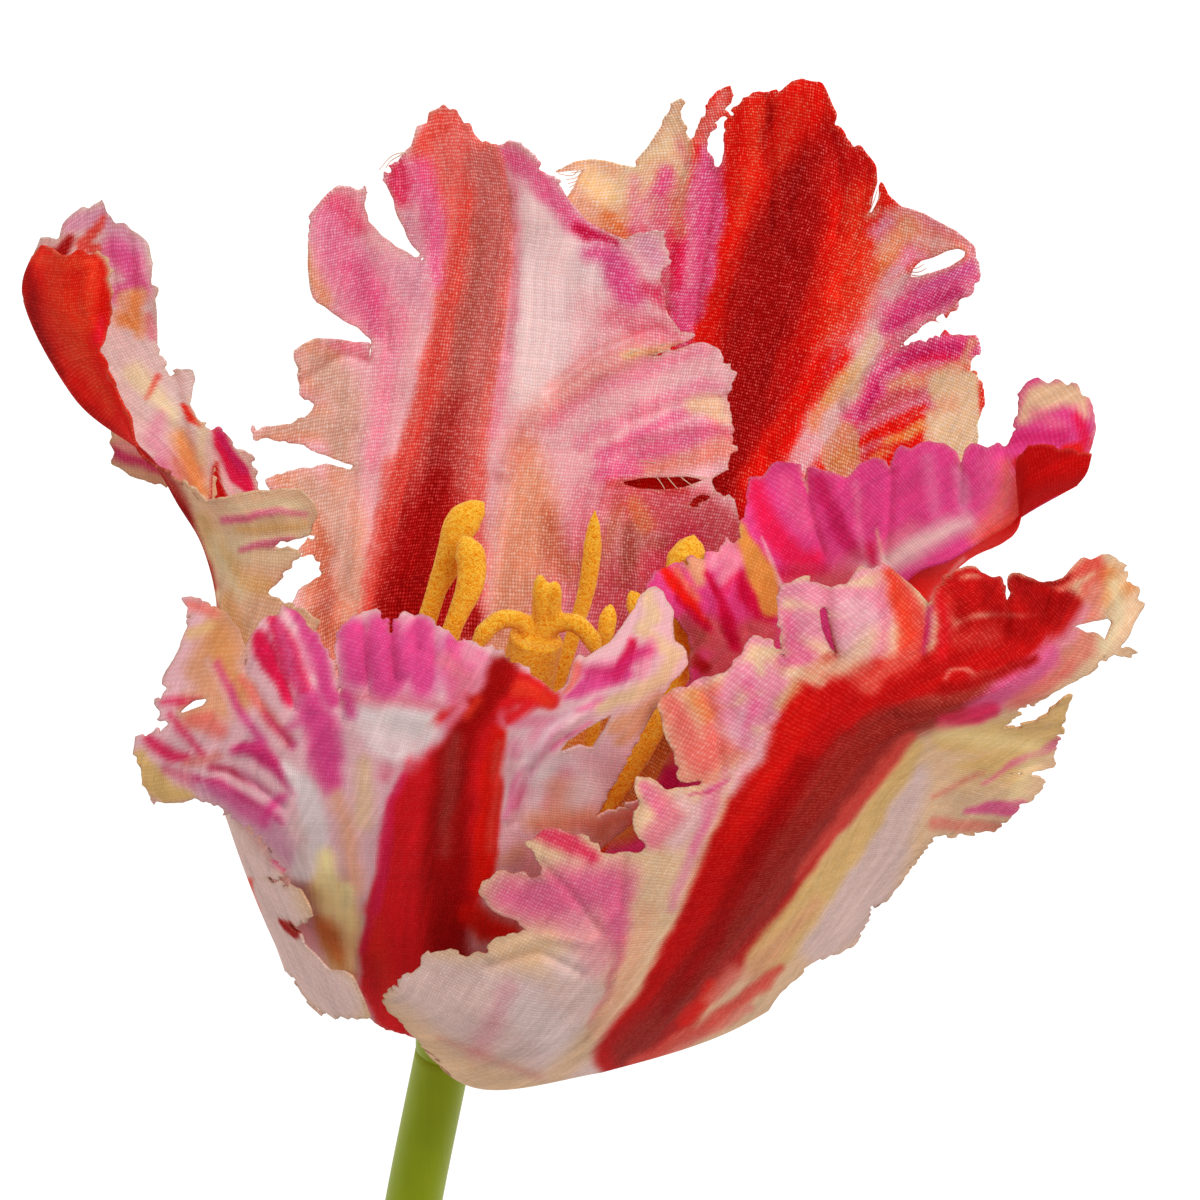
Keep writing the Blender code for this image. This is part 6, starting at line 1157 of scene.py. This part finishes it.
def cloth_object(name, petal, settings, dyes):
    """One petal as a thin printed cloth, with its folds, its frayed rim and its print."""
    cloth = Cloth(petal)
    cell = settings.cell / MM
    bm = flat_cut(petal, cloth, cell, settings.fray / MM)
    spots = corners(bm)
    s, t, u = flat_places(cloth, spots)
    layer = bm.verts.layers.float["reach"]
    reach = np.array([v[layer] for v in bm.verts])
    colour, streak = print_on(name, cloth, bm, dyes)
    rim = 0.45 * smooth(1.0 - reach / SINGED) * (0.6 + 0.4 * mottle(s / 1.3, t / 1.3, 6.0))
    colour += (srgb(dyes, "rim") - colour) * rim[:, None]
    # Painted light: petals that stand in shade have their colours scaled up.
    colour *= PAINT[name].get("bright", 1.0)
    colour *= 1.0 + 0.05 * streak[:, None] + 0.04 * mottle(s / 2.2, t / 3.5, 9.0)[:, None]
    place = cloth.point(u, t)
    x, y = place[:, 0], place[:, 1]
    lift = settings.crumple / MM * (mottle(x / 8, y / 8, 21.0) + 0.5 * mottle(x / 4, y / 4, 22.0))
    ruffle = np.exp(-np.clip(reach, 0, None) / 3.5) * mottle(x / 4.5, y / 4.5, 23.0)
    lift = lift * smooth(t / 25) + settings.ruffle / MM * ruffle * smooth((t - 30) / 15)
    for height, *fold in petal["folds"]:
        gap = np.clip(along_stroke([(fx, fy, 0.0) for fx, fy, _ in fold], x, y), 0, None)
        lift = lift + height * np.exp(-((gap / fold[0][2]) ** 2))
    place[:, 2] += lift
    threads = loose_threads(name + "_cloth_threads", petal, place)
    flat_uv = np.stack((s, t), axis=1)
    moved(bm, place)
    uv = bm.loops.layers.uv.new("cloth")
    for face in bm.faces:
        for loop in face.loops:
            loop[uv].uv = flat_uv[loop.vert.index]
    area = flat_area(bm, s, t)
    mesh = mesh_of(name + "_cloth", bm)
    mesh.attributes.remove(mesh.attributes["reach"])
    dye = mesh.attributes.new("print", "FLOAT_COLOR", "POINT")
    weave = np.full((len(colour), 1), PAINT[name]["weave"])
    rgba = np.concatenate((srgb_to_linear(colour), weave), axis=1)
    dye.data.foreach_set("color", rgba.astype(np.float32).ravel())
    mesh.shade_smooth()
    ob = new_piece(name + "_cloth", mesh)
    solid = ob.modifiers.new("thickness", "SOLIDIFY")
    solid.thickness = settings.thickness
    solid.offset = 0.0
    size = (np.ptp(s) * MM, np.ptp(t) * MM)
    return ob, size, area, threads


def loose_threads(name, petal, place):
    """Threads that have come loose from a petal's rims, rising a little off its cloth."""
    tubes = []
    for route in petal.get("threads", ()):
        points = []
        for step, (x, y) in enumerate(route):
            nearest = np.argmin(np.hypot(place[:, 0] - x, place[:, 1] - y))
            points.append((x, y, place[nearest, 2] + THREAD_RISE * step))
        tubes.append(round_tube(points, [(0.0, THREAD_RADIUS), (1.0, THREAD_RADIUS * 0.6)], 6, 0.3))
    if not tubes:
        return None
    return placed(name, joined(tubes))


def mesh_of(name, bm):
    """The finished mesh, in place of the one being built."""
    mesh = bpy.data.meshes.new(name)
    bm.to_mesh(mesh)
    bm.free()
    return mesh


def moved(bm, points):
    """Puts a mesh's corners at these points of the bloom's own frame."""
    for v, p in zip(bm.verts, to_world(points)):
        v.co = p


def placed(name, bm):
    """A smooth piece, moved to where the bloom lies."""
    moved(bm, corners(bm))
    mesh = mesh_of(name, bm)
    mesh.shade_smooth()
    return new_piece(name, mesh)


def flat_area(bm, s, t):
    """The cut cloth's area in square metres, before it is bent."""
    total = 0.0
    for face in bm.faces:
        at = [v.index for v in face.verts]
        xs, ys = s[at], t[at]
        total += abs(np.dot(xs, np.roll(ys, -1)) - np.dot(ys, np.roll(xs, -1))) / 2
    return total * MM * MM


def new_piece(name, data):
    """An object in the scene for a mesh, a camera or a light."""
    ob = bpy.data.objects.new(name, data)
    bpy.context.scene.collection.objects.link(ob)
    return ob


def finish_piece(ob, material, node):
    """Gives a piece its material and its body, and hides the CAD node that it stands for."""
    ob.data.materials.append(material)
    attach(ob, "root")
    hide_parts(node)


def new_material(name, roughness, sheen=0.0, gloss=0.2):
    """An empty Principled material, with the values that are the same all over it."""
    material = bpy.data.materials.new(name)
    material.use_nodes = True
    shader = material.node_tree.nodes["Principled BSDF"]
    shader.inputs["Roughness"].default_value = roughness
    shader.inputs["Specular IOR Level"].default_value = gloss
    shader.inputs["Sheen Weight"].default_value = sheen
    shader.inputs["Sheen Roughness"].default_value = 0.5
    return material, material.node_tree, shader


def add_node(tree, kind, settings=(), **inputs):
    """A node with its settings, whose inputs are values or other nodes' outputs."""
    node = tree.nodes.new(kind)
    for name, value in dict(settings).items():
        setattr(node, name, value)
    for name, value in inputs.items():
        key = int(name[1:]) if name[0] == "i" and name[1:].isdigit() else name.replace("_", " ")
        if isinstance(value, bpy.types.NodeSocket):
            tree.links.new(value, node.inputs[key])
        else:
            node.inputs[key].default_value = value
    return node


def maths(tree, operation, value, *others):
    """One sum on numbers or sockets, worked from left to right."""
    for other in others or (0.0,):
        value = add_node(tree, "ShaderNodeMath", {"operation": operation}, i0=value, i1=other).outputs[0]
    return value


def noise(tree, place, scale, detail):
    """Cloudy unevenness from 0 to 1."""
    return add_node(tree, "ShaderNodeTexNoise", Vector=place, Scale=scale, Detail=detail).outputs["Fac"]


def mixed(tree, share, a, b, kind="MIX"):
    """Colour a turned towards colour b by a share."""
    settings = {"data_type": "RGBA", "blend_type": kind}
    return add_node(tree, "ShaderNodeMix", settings, i0=share, i6=a, i7=b).outputs[2]


def bumped(tree, shader, height, distance):
    """Presses a height pattern into the surface, to this depth in metres."""
    bump = add_node(tree, "ShaderNodeBump", Distance=distance, Height=height)
    tree.links.new(bump.outputs["Normal"], shader.inputs["Normal"])


def light_colour(colour):
    """A setting's screen colour as the amounts of light that a shader takes."""
    return (*srgb_to_linear(tuple(colour)), 1.0)


def cloth_material(settings):
    """Printed plain weave: crossing threads, a little uneven, with the dye that each petal carries, painted
    shade in the hollows between the threads and paler crowns that are partly painted highlight.
    """
    material, tree, shader = new_material("printed cloth", 0.9, gloss=0.07)
    times, plus = partial(maths, tree, "MULTIPLY"), partial(maths, tree, "ADD")
    flat = add_node(tree, "ShaderNodeUVMap", {"uv_map": "cloth"}).outputs[0]
    axes = add_node(tree, "ShaderNodeSeparateXYZ", i0=flat).outputs
    wander = times(noise(tree, flat, 0.6, 1.0), 0.5)
    per_mm = MM / settings.thread
    across = times(plus(axes[0], wander), per_mm)
    along = times(plus(axes[1], wander), per_mm / WEFT_SPACING)
    wave_s, wave_t = (maths(tree, "SINE", times(way, math.pi)) for way in (across, along))
    over = plus(times(wave_s, wave_t, 0.5), 0.5)
    warp = times(maths(tree, "ABSOLUTE", wave_s), over)
    weft = times(maths(tree, "ABSOLUTE", wave_t), maths(tree, "SUBTRACT", 1.0, over))
    height = maths(tree, "MAXIMUM", warp, weft)
    thread_s, thread_t = (maths(tree, "FLOOR", way) for way in (across, along))
    chance_s, chance_t = (
        add_node(tree, "ShaderNodeTexWhiteNoise", {"noise_dimensions": "1D"}, W=thread).outputs[0]
        for thread in (thread_s, thread_t))
    chance = add_node(tree, "ShaderNodeMix", i0=over, i2=chance_t, i3=chance_s).outputs[0]
    long_way = add_node(tree, "ShaderNodeMapping", Vector=flat, Scale=(1.6, 0.14, 1.0)).outputs[0]
    streak, cloud = noise(tree, long_way, 1.0, 3.0), noise(tree, flat, 0.9, 4.0)
    print_read = add_node(tree, "ShaderNodeAttribute", {"attribute_name": "print"})
    dye, weave = print_read.outputs["Color"], print_read.outputs["Alpha"]
    spot = add_node(tree, "ShaderNodeCombineXYZ", i0=thread_s, i1=thread_t).outputs[0]
    worn_and_lit = add_node(tree, "ShaderNodeTexWhiteNoise", {"noise_dimensions": "2D"}, Vector=spot).outputs[0]
    wear_and_highlight = plus(times(worn_and_lit, 0.5), 0.75)
    # Dye darker in the hollows between the threads: partly deeper dye, partly painted shade.
    depth = maths(tree, "SUBTRACT", 0.66, times(maths(tree, "POWER", height, 0.6), wear_and_highlight))
    depth = plus(times(depth, weave, settings.contrast), 1.0)
    dyed = add_node(tree, "ShaderNodeGamma", i0=dye, i1=depth).outputs[0]
    # Paler thread crowns: partly worn dye, partly painted highlight.
    crown_wear_and_highlight = times(maths(tree, "POWER", times(height, wear_and_highlight), 3.0), weave, settings.wear_and_highlight)
    dyed = mixed(tree, crown_wear_and_highlight, dyed, light_colour(settings.crown_wear_and_highlight))
    # The thread height term is painted shade, darker in the gaps between threads; the other terms are uneven
    # tone of the threads.
    shade = plus(
        times(height, 0.16, weave), times(chance, 0.13), times(streak, 0.22), times(cloud, 0.16),
        times(weave, -0.09), 0.75)
    tree.links.new(mixed(tree, 1.0, dyed, shade, "MULTIPLY"), shader.inputs["Base Color"])
    bumped(tree, shader, height, settings.thread * 0.16)
    return material


def flock_material(name, settings):
    """Golden flock: packed grains, each a little different, with painted highlights on the brightest and
    painted shade in the gaps between them.
    """
    material, tree, shader = new_material(name, 0.9, 0.15)
    times, plus = partial(maths, tree, "MULTIPLY"), partial(maths, tree, "ADD")
    place = add_node(tree, "ShaderNodeTexCoord").outputs["Object"]
    size = 1.0 / settings.grain
    cell = add_node(tree, "ShaderNodeTexVoronoi", Vector=place, Scale=size, Randomness=1.0).outputs
    chance = add_node(tree, "ShaderNodeSeparateColor", Color=cell["Color"]).outputs[0]
    # The ramp runs from painted shade in the gaps to painted highlight on the brightest grains.
    ramp = tree.nodes.new("ShaderNodeValToRGB")
    stops = ramp.color_ramp.elements
    stops[0].position, stops[0].color = 0.15, light_colour(settings.gap)
    stops[1].position, stops[1].color = 0.85, light_colour(settings.bright)
    stops.new(0.5).color = light_colour(settings.middle)
    # Grains lighter in their middles and darker at their edges: painted highlight and painted shade over a
    # random tone.
    value = maths(tree, "SUBTRACT", plus(times(chance, 0.62), 0.42), times(cell["Distance"], 0.5))
    value = plus(value, times(noise(tree, place, size * 0.16, 3.0), 0.30))
    tree.links.new(value, ramp.inputs[0])
    tree.links.new(ramp.outputs[0], shader.inputs["Base Color"])
    bumped(tree, shader, maths(tree, "SUBTRACT", 1.0, cell["Distance"]), settings.grain * 0.5)
    return material


def plastic_material(name, settings):
    """Moulded plastic: smooth and even, with faint mottling, fine scratches and a soft gloss."""
    material, tree, shader = new_material(name, 0.42)
    times, plus = partial(maths, tree, "MULTIPLY"), partial(maths, tree, "ADD")
    place = add_node(tree, "ShaderNodeTexCoord").outputs["Object"]
    cloud, fine = noise(tree, place, 260.0, 5.0), noise(tree, place, 2600.0, 3.0)
    long_way = add_node(tree, "ShaderNodeMapping", Vector=place, Scale=(1500.0, 90.0, 90.0)).outputs[0]
    scratch = noise(tree, long_way, 1.0, 2.0)
    colour = mixed(tree, cloud, light_colour(settings.green), light_colour(settings.pale_green))
    colour = mixed(tree, times(scratch, 0.25), colour, light_colour(settings.dark_green))
    tree.links.new(colour, shader.inputs["Base Color"])
    tree.links.new(plus(times(fine, 0.22), 0.34), shader.inputs["Roughness"])
    bumped(tree, shader, plus(fine, scratch), 0.00003)
    return material


def round_tube(route, radii, around, spacing, flat=1.0):
    """A closed tube along a smooth route, narrowed by flat across its top.

    radii are (share of the way, radius) pairs.
    """
    route = np.array(route, float)
    length = np.linalg.norm(np.diff(route, axis=0), axis=1).sum()
    along = max(int(length / spacing), 8)
    bm = bmesh.new()
    bmesh.ops.create_grid(bm, x_segments=around, y_segments=along, size=0.5)
    spots = corners(bm)
    share, line = route_points(route, along + 1)
    step = np.gradient(line, axis=0)
    step /= np.linalg.norm(step, axis=1)[:, None]
    side = np.cross(step, (0.0, 0.0, 1.0))
    side /= np.linalg.norm(side, axis=1)[:, None]
    top = np.cross(side, step)
    row = np.rint((spots[:, 1] + 0.5) * along).astype(int)
    angle = (spots[:, 0] + 0.5) * 2 * math.pi
    radius = np.interp(share, *zip(*radii))[row]
    place = line[row] + side[row] * (radius * np.cos(angle))[:, None]
    place += top[row] * (radius * np.sin(angle) * flat)[:, None]
    for v, p in zip(bm.verts, place):
        v.co = p
    bmesh.ops.remove_doubles(bm, verts=bm.verts, dist=0.0005)
    bmesh.ops.holes_fill(bm, edges=bm.edges, sides=0)
    bmesh.ops.recalc_face_normals(bm, faces=bm.faces)
    return bm


def joined(pieces):
    """Several meshes put in one."""
    whole = bmesh.new()
    for bm in pieces:
        scrap = mesh_of("scrap", bm)
        whole.from_mesh(scrap)
        bpy.data.meshes.remove(scrap)
    return whole


def flocked(name, bm, settings, seed):
    """One skin over overlapping tubes, roughened with grains, placed where the bloom lies."""
    mesh = mesh_of(name, bm)
    ob = new_piece(name, mesh)
    skin = ob.modifiers.new("skin", "REMESH")
    skin.mode = "VOXEL"
    skin.voxel_size = settings.skin / MM
    graph = bpy.context.evaluated_depsgraph_get()
    made = bpy.data.meshes.new_from_object(ob.evaluated_get(graph))
    ob.modifiers.clear()
    ob.data = made
    bpy.data.meshes.remove(mesh)
    made.name = name
    bm = bmesh.new()
    bm.from_mesh(made)
    bmesh.ops.smooth_vert(bm, verts=bm.verts, factor=0.5, use_axis_x=True, use_axis_y=True, use_axis_z=True)
    bm.normal_update()
    points = corners(bm)
    normals = np.array([v.normal for v in bm.verts])
    size = settings.grain / MM
    rough = 0.6 * grain(points, size * 1.6, seed) + 0.6 * grain(points, size * 3.6, seed + 1)
    points += normals * (rough * settings.relief / MM)[:, None]
    moved(bm, points)
    bm.to_mesh(made)
    bm.free()
    made.shade_smooth()
    return ob


def size(label, says, default):
    """A length property."""
    return FloatProperty(name=label, description=says, default=default, unit="LENGTH")


def tint(label, says, *colour):
    """A colour property."""
    return FloatVectorProperty(
        name=label, description=says, subtype="COLOR_GAMMA", default=colour, min=0.0, max=1.0)


def dye(label, *colour):
    """A colour property for one of the printing dyes."""
    return tint(label, label + " dye of the petals' print", *colour)


class TulipCloth(bpy.types.PropertyGroup):
    """How the petals' cloth is cut and bent."""

    cell: size("Cell", "Size of the cloth mesh's cells", 0.00031)
    thickness: size("Thickness", "Thickness of the cloth", 0.0003)
    thread: size("Thread spacing", "Distance between neighbouring threads", 0.00026)
    # Thread contrast darkens the hollows between the threads: partly deeper dye, partly painted shade.
    contrast: FloatProperty(
        name="Thread contrast", description="How much deeper the dye lies between the threads", default=1.15)
    # Wear and the crown colour make the tops of the threads paler: partly worn dye, partly painted
    # highlight.
    wear_and_highlight: FloatProperty(
        name="Wear", description="How much dye the tops of the threads have lost", default=0.045, min=0.0)
    loose: tint("Loose threads", "Colour of the loose threads", 0.88, 0.76, 0.66)
    # The crowns' colour: worn dye and painted highlight.
    crown_wear_and_highlight: tint("Thread crowns", "Colour of the worn tops of the threads", 0.93, 0.66, 0.60)
    fray: size("Fray", "How unevenly the rims are cut and frayed", 0.0003)
    crumple: size("Crumple", "Height of the soft dents in the cloth", 0.00025)
    ruffle: size("Ruffle", "Height of the waves along the rims", 0.0008)


class TulipDyes(bpy.types.PropertyGroup):
    """The dyes that the petals are printed with, and a few lighter colours that paint light onto shaded
    cloth.
    """

    coral: dye("Coral", 0.90, 0.42, 0.38)
    red_coral: dye("Red coral", 0.88, 0.29, 0.24)
    salmon: dye("Salmon", 0.90, 0.52, 0.44)
    rose_brown: dye("Rose brown", 0.78, 0.41, 0.38)
    umber: dye("Umber", 0.66, 0.31, 0.26)
    red: dye("Red", 0.86, 0.07, 0.10)
    scarlet: dye("Scarlet", 0.90, 0.07, 0.02)
    vermilion: dye("Vermilion", 0.92, 0.23, 0.12)
    deep_red: dye("Deep red", 0.76, 0.03, 0.03)
    maroon: dye("Maroon", 0.61, 0.00, 0.00)
    dark_red: dye("Dark red", 0.64, 0.02, 0.02)
    plum: dye("Plum", 0.60, 0.14, 0.11)
    crimson: dye("Crimson", 0.88, 0.09, 0.29)
    raspberry: dye("Raspberry", 0.80, 0.13, 0.39)
    magenta: dye("Magenta", 0.86, 0.25, 0.51)
    orchid: dye("Orchid", 0.84, 0.34, 0.58)
    hot_pink: dye("Hot pink", 0.90, 0.35, 0.55)
    rose: dye("Rose", 0.87, 0.44, 0.52)
    pink: dye("Pink", 0.91, 0.54, 0.63)
    blush: dye("Blush", 0.91, 0.69, 0.71)
    lilac: dye("Lilac", 0.86, 0.58, 0.67)
    white: dye("White", 0.93, 0.84, 0.83)
    pearl: dye("Pearl", 0.88, 0.74, 0.71)
    cream: dye("Cream", 0.90, 0.73, 0.58)
    # A paler cream; where it lightens shaded lobes it is also painted light.
    ivory: dye("Ivory", 0.91, 0.81, 0.64)
    # Lighter than any dye on the cloth: painted light, laid where shaded petals are lightened.
    lit_straw: dye("Straw", 1.0, 0.89, 0.64)
    sand: dye("Sand", 0.82, 0.66, 0.58)
    clay: dye("Clay", 0.77, 0.42, 0.30)
    tan: dye("Tan", 0.87, 0.60, 0.46)
    peach: dye("Peach", 0.91, 0.64, 0.51)
    orange: dye("Orange", 0.91, 0.53, 0.26)
    ochre: dye("Ochre", 0.84, 0.54, 0.25)
    yellow: dye("Yellow", 0.89, 0.71, 0.45)
    dusky: dye("Dusky rose", 0.80, 0.33, 0.37)
    wine: dye("Wine", 0.77, 0.02, 0.22)
    brown: dye("Brown", 0.65, 0.37, 0.27)
    rim: dye("Singed rim", 0.74, 0.58, 0.46)


class TulipFlock(bpy.types.PropertyGroup):
    """The golden flock on the stamens and the pistil."""

    skin: size("Skin cell", "Cell of the flocked skin's mesh", 0.0002)
    grain: size("Grain", "Size of one grain", 0.00015)
    relief: size("Relief", "How far the grains stand up", 0.00006)
    # Bright grains are partly painted highlight; the gap colour is painted shade between the grains.
    bright: tint("Bright grains", "Colour of the brightest grains", 1.0, 0.82, 0.28)
    middle: tint("Grains", "Colour of most grains", 0.99, 0.67, 0.03)
    gap: tint("Gaps", "Colour between the grains", 0.88, 0.45, 0.0)


class TulipStem(bpy.types.PropertyGroup):
    """The moulded stem and the hub that it ends in."""

    radius: size("Radius", "Radius of the stem", 0.00285)
    green: tint("Green", "Colour of the plastic", 0.56, 0.62, 0.0)
    pale_green: tint("Pale green", "Colour of its paler places", 0.62, 0.68, 0.03)
    dark_green: tint("Dark green", "Colour of its darker streaks", 0.45, 0.50, 0.0)


class TulipStage(bpy.types.PropertyGroup):
    """The light table, the lights and the camera."""

    glow: FloatProperty(
        name="Table glow", description="Brightness of the light table under the tulip", default=1.0, min=0.0)
    sky: FloatProperty(
        name="Surround", description="Brightness of the white surround", default=0.5, min=0.0)
    lamp: FloatProperty(
        name="Lamp", description="Power of the soft lamp beside the camera", default=5.0, min=0.0)
    distance: size("Camera distance", "From the camera to the bloom", 4.5)
    lens: FloatProperty(
        name="Lens", description="Focal length", default=1350.0, min=1.0, subtype="DISTANCE_CAMERA")


class TULIP_OT_petals(bpy.types.Operator):
    """Cut, print, bend and place the cloth petals"""

    bl_idname = "tulip.petals"
    bl_label = "Make petals"

    def execute(self, context):
        scene = context.scene
        look = cloth_material(scene.tulip_cloth)
        loose, _, shader = new_material("loose thread", 0.9)
        shader.inputs["Base Color"].default_value = light_colour(scene.tulip_cloth.loose)
        made = {}
        for name, petal in PETALS.items():
            piece, flat, area, threads = cloth_object(name, petal, scene.tulip_cloth, scene.tulip_dyes)
            node = name.replace("_lobe", "")
            finish_piece(piece, look, node)
            if threads:
                finish_piece(threads, loose, node)
            made[name] = (piece, flat, area, threads)
        lobe = made.pop("petal_left_lobe")[0]
        for name, (piece, flat, area, threads) in made.items():
            along = [lobe] if name == "petal_left" else []
            if threads:
                along.append(threads)
        return {"FINISHED"}


class TULIP_OT_stamens(bpy.types.Operator):
    """Make the flocked stamens"""

    bl_idname = "tulip.stamens"
    bl_label = "Make stamens"

    def execute(self, context):
        flock = context.scene.tulip_flock
        look = flock_material("flock", flock)
        for number, (*route, (thin, wide)) in enumerate(STAMENS, 1):
            node = f"stamen_{number}"
            blade = [(0.0, thin), (0.45, thin * 1.3), (0.6, wide * 0.9), (0.86, wide),
                     (0.95, wide * 0.6), (1.0, 0.1)]
            bm = round_tube(route, blade, 20, 0.3, 0.7)
            piece = flocked(node + "_flock", bm, flock, 3.0 + number)
            finish_piece(piece, look, node)
        return {"FINISHED"}


class TULIP_OT_pistil(bpy.types.Operator):
    """Make the flocked pistil with its curled arms"""

    bl_idname = "tulip.pistil"
    bl_label = "Make pistil"

    def execute(self, context):
        flock = context.scene.tulip_flock
        look = bpy.data.materials.get("flock") or flock_material("flock", flock)
        low, high = PISTIL_BODY[0][0], PISTIL_BODY[-1][0]
        middle = [HUB + AXIS * (low + (high - low) * k / 4) for k in range(5)]
        radii = [((h - low) / (high - low), r) for h, r in PISTIL_BODY]
        parts = [round_tube(middle, radii, 24, 0.6)]
        for *route, wide in PISTIL_ARMS:
            arm = [(0.0, wide), (0.8, wide), (0.93, wide * 0.7), (1.0, 0.25)]
            parts.append(round_tube(route, arm, 16, 0.3))
        piece = flocked("pistil_flock", joined(parts), flock, 31.0)
        finish_piece(piece, look, "pistil")
        return {"FINISHED"}


class TULIP_OT_stem(bpy.types.Operator):
    """Make the moulded stem and give the hub its finish"""

    bl_idname = "tulip.stem"
    bl_label = "Make stem"

    def execute(self, context):
        settings = context.scene.tulip_stem
        look = plastic_material("moulded plastic", settings)
        radius = settings.radius / MM
        radii = [(0.0, radius), (0.997, radius), (1.0, radius * 0.93)]
        bm = round_tube(STEM_ROUTE, radii, 40, 1.0)
        finish_piece(placed("stem_moulded", bm), look, "stem")
        rise = np.array(HUB_RISE, float)
        axis = [HUB + AXIS * height for height in np.linspace(rise[0, 0], rise[-1, 0], 8)]
        shares = (rise[:, 0] - rise[0, 0]) / (rise[-1, 0] - rise[0, 0])
        bm = round_tube(axis, list(zip(shares, rise[:, 1])), 40, 0.25)
        finish_piece(placed("receptacle_moulded", bm), look, "receptacle")
        return {"FINISHED"}


class TULIP_OT_stage(bpy.types.Operator):
    """Lay the light table, light it and set the camera above it"""

    bl_idname = "tulip.stage"
    bl_label = "Make stage"

    def execute(self, context):
        settings = context.scene.tulip_stage
        bm = bmesh.new()
        bmesh.ops.create_grid(bm, x_segments=1, y_segments=1, size=4.0)
        mesh = mesh_of("light_table", bm)
        table = new_piece("light_table", mesh)
        material, tree, shader = new_material("light table", 0.9)
        shader.inputs["Base Color"].default_value = (0.25, 0.25, 0.25, 1.0)
        shader.inputs["Emission Color"].default_value = (1.0, 1.0, 1.0, 1.0)
        shader.inputs["Emission Strength"].default_value = settings.glow
        mesh.materials.append(material)
        world = bpy.data.worlds.new("surround")
        world.use_nodes = True
        background = world.node_tree.nodes["Background"].inputs
        background["Color"].default_value = (1.0, 1.0, 1.0, 1.0)
        background["Strength"].default_value = settings.sky
        context.scene.world = world
        up = Vector(LIE @ np.array((0.0, 1.0, 0.0)))
        toward = Vector(LIE @ np.array((0.0, 0.0, 1.0)))
        target = Vector(to_world(np.array(FACE_CENTRE)))
        camera = bpy.data.cameras.new("camera")
        camera.lens = settings.lens
        camera.sensor_width = 36.0
        camera.clip_end = 20.0
        eye = new_piece("camera", camera)
        eye.location = target + toward * settings.distance
        turn = Matrix((up.cross(toward), up, toward)).transposed()
        eye.rotation_euler = turn.to_euler()
        context.scene.camera = eye
        lamp = bpy.data.lights.new("soft_lamp", "AREA")
        lamp.energy = settings.lamp
        lamp.shape = "DISK"
        lamp.size = 0.5
        light = new_piece("soft_lamp", lamp)
        light.location = target + toward * 0.9 + up * 0.3 + up.cross(toward) * 0.3
        light.rotation_euler = (light.location - target).to_track_quat("Z", "Y").to_euler()
        context.scene.view_settings.view_transform = "Standard"
        return {"FINISHED"}


class TULIP_PT_panel(bpy.types.Panel):
    """Shows the buttons that make the tulip's pieces, and their settings, in the sidebar"""

    bl_idname = "TULIP_PT_panel"
    bl_label = "Parrot tulip"
    bl_space_type = "VIEW_3D"
    bl_region_type = "UI"
    bl_category = "Tulip"

    def draw(self, context):
        for operator in OPERATORS:
            self.layout.operator(operator.bl_idname)
        for group in GROUPS:
            settings = getattr(context.scene, group)
            box = self.layout.box()
            for name in settings.__annotations__:
                box.prop(settings, name)


OPERATORS = (TULIP_OT_petals, TULIP_OT_stamens, TULIP_OT_pistil, TULIP_OT_stem, TULIP_OT_stage)
GROUPS = {
    "tulip_cloth": TulipCloth, "tulip_dyes": TulipDyes, "tulip_flock": TulipFlock,
    "tulip_stem": TulipStem, "tulip_stage": TulipStage,
}


def register():
    for made in (*GROUPS.values(), *OPERATORS, TULIP_PT_panel):
        bpy.utils.register_class(made)
    for name, group in GROUPS.items():
        setattr(bpy.types.Scene, name, PointerProperty(type=group))


def unregister():
    for name in GROUPS:
        delattr(bpy.types.Scene, name)
    for made in reversed((*GROUPS.values(), *OPERATORS, TULIP_PT_panel)):
        bpy.utils.unregister_class(made)


def main():
    register()
    bpy.ops.tulip.petals()
    bpy.ops.tulip.stamens()
    bpy.ops.tulip.pistil()
    bpy.ops.tulip.stem()
    bpy.ops.tulip.stage()


if __name__ == "__main__":
    main()
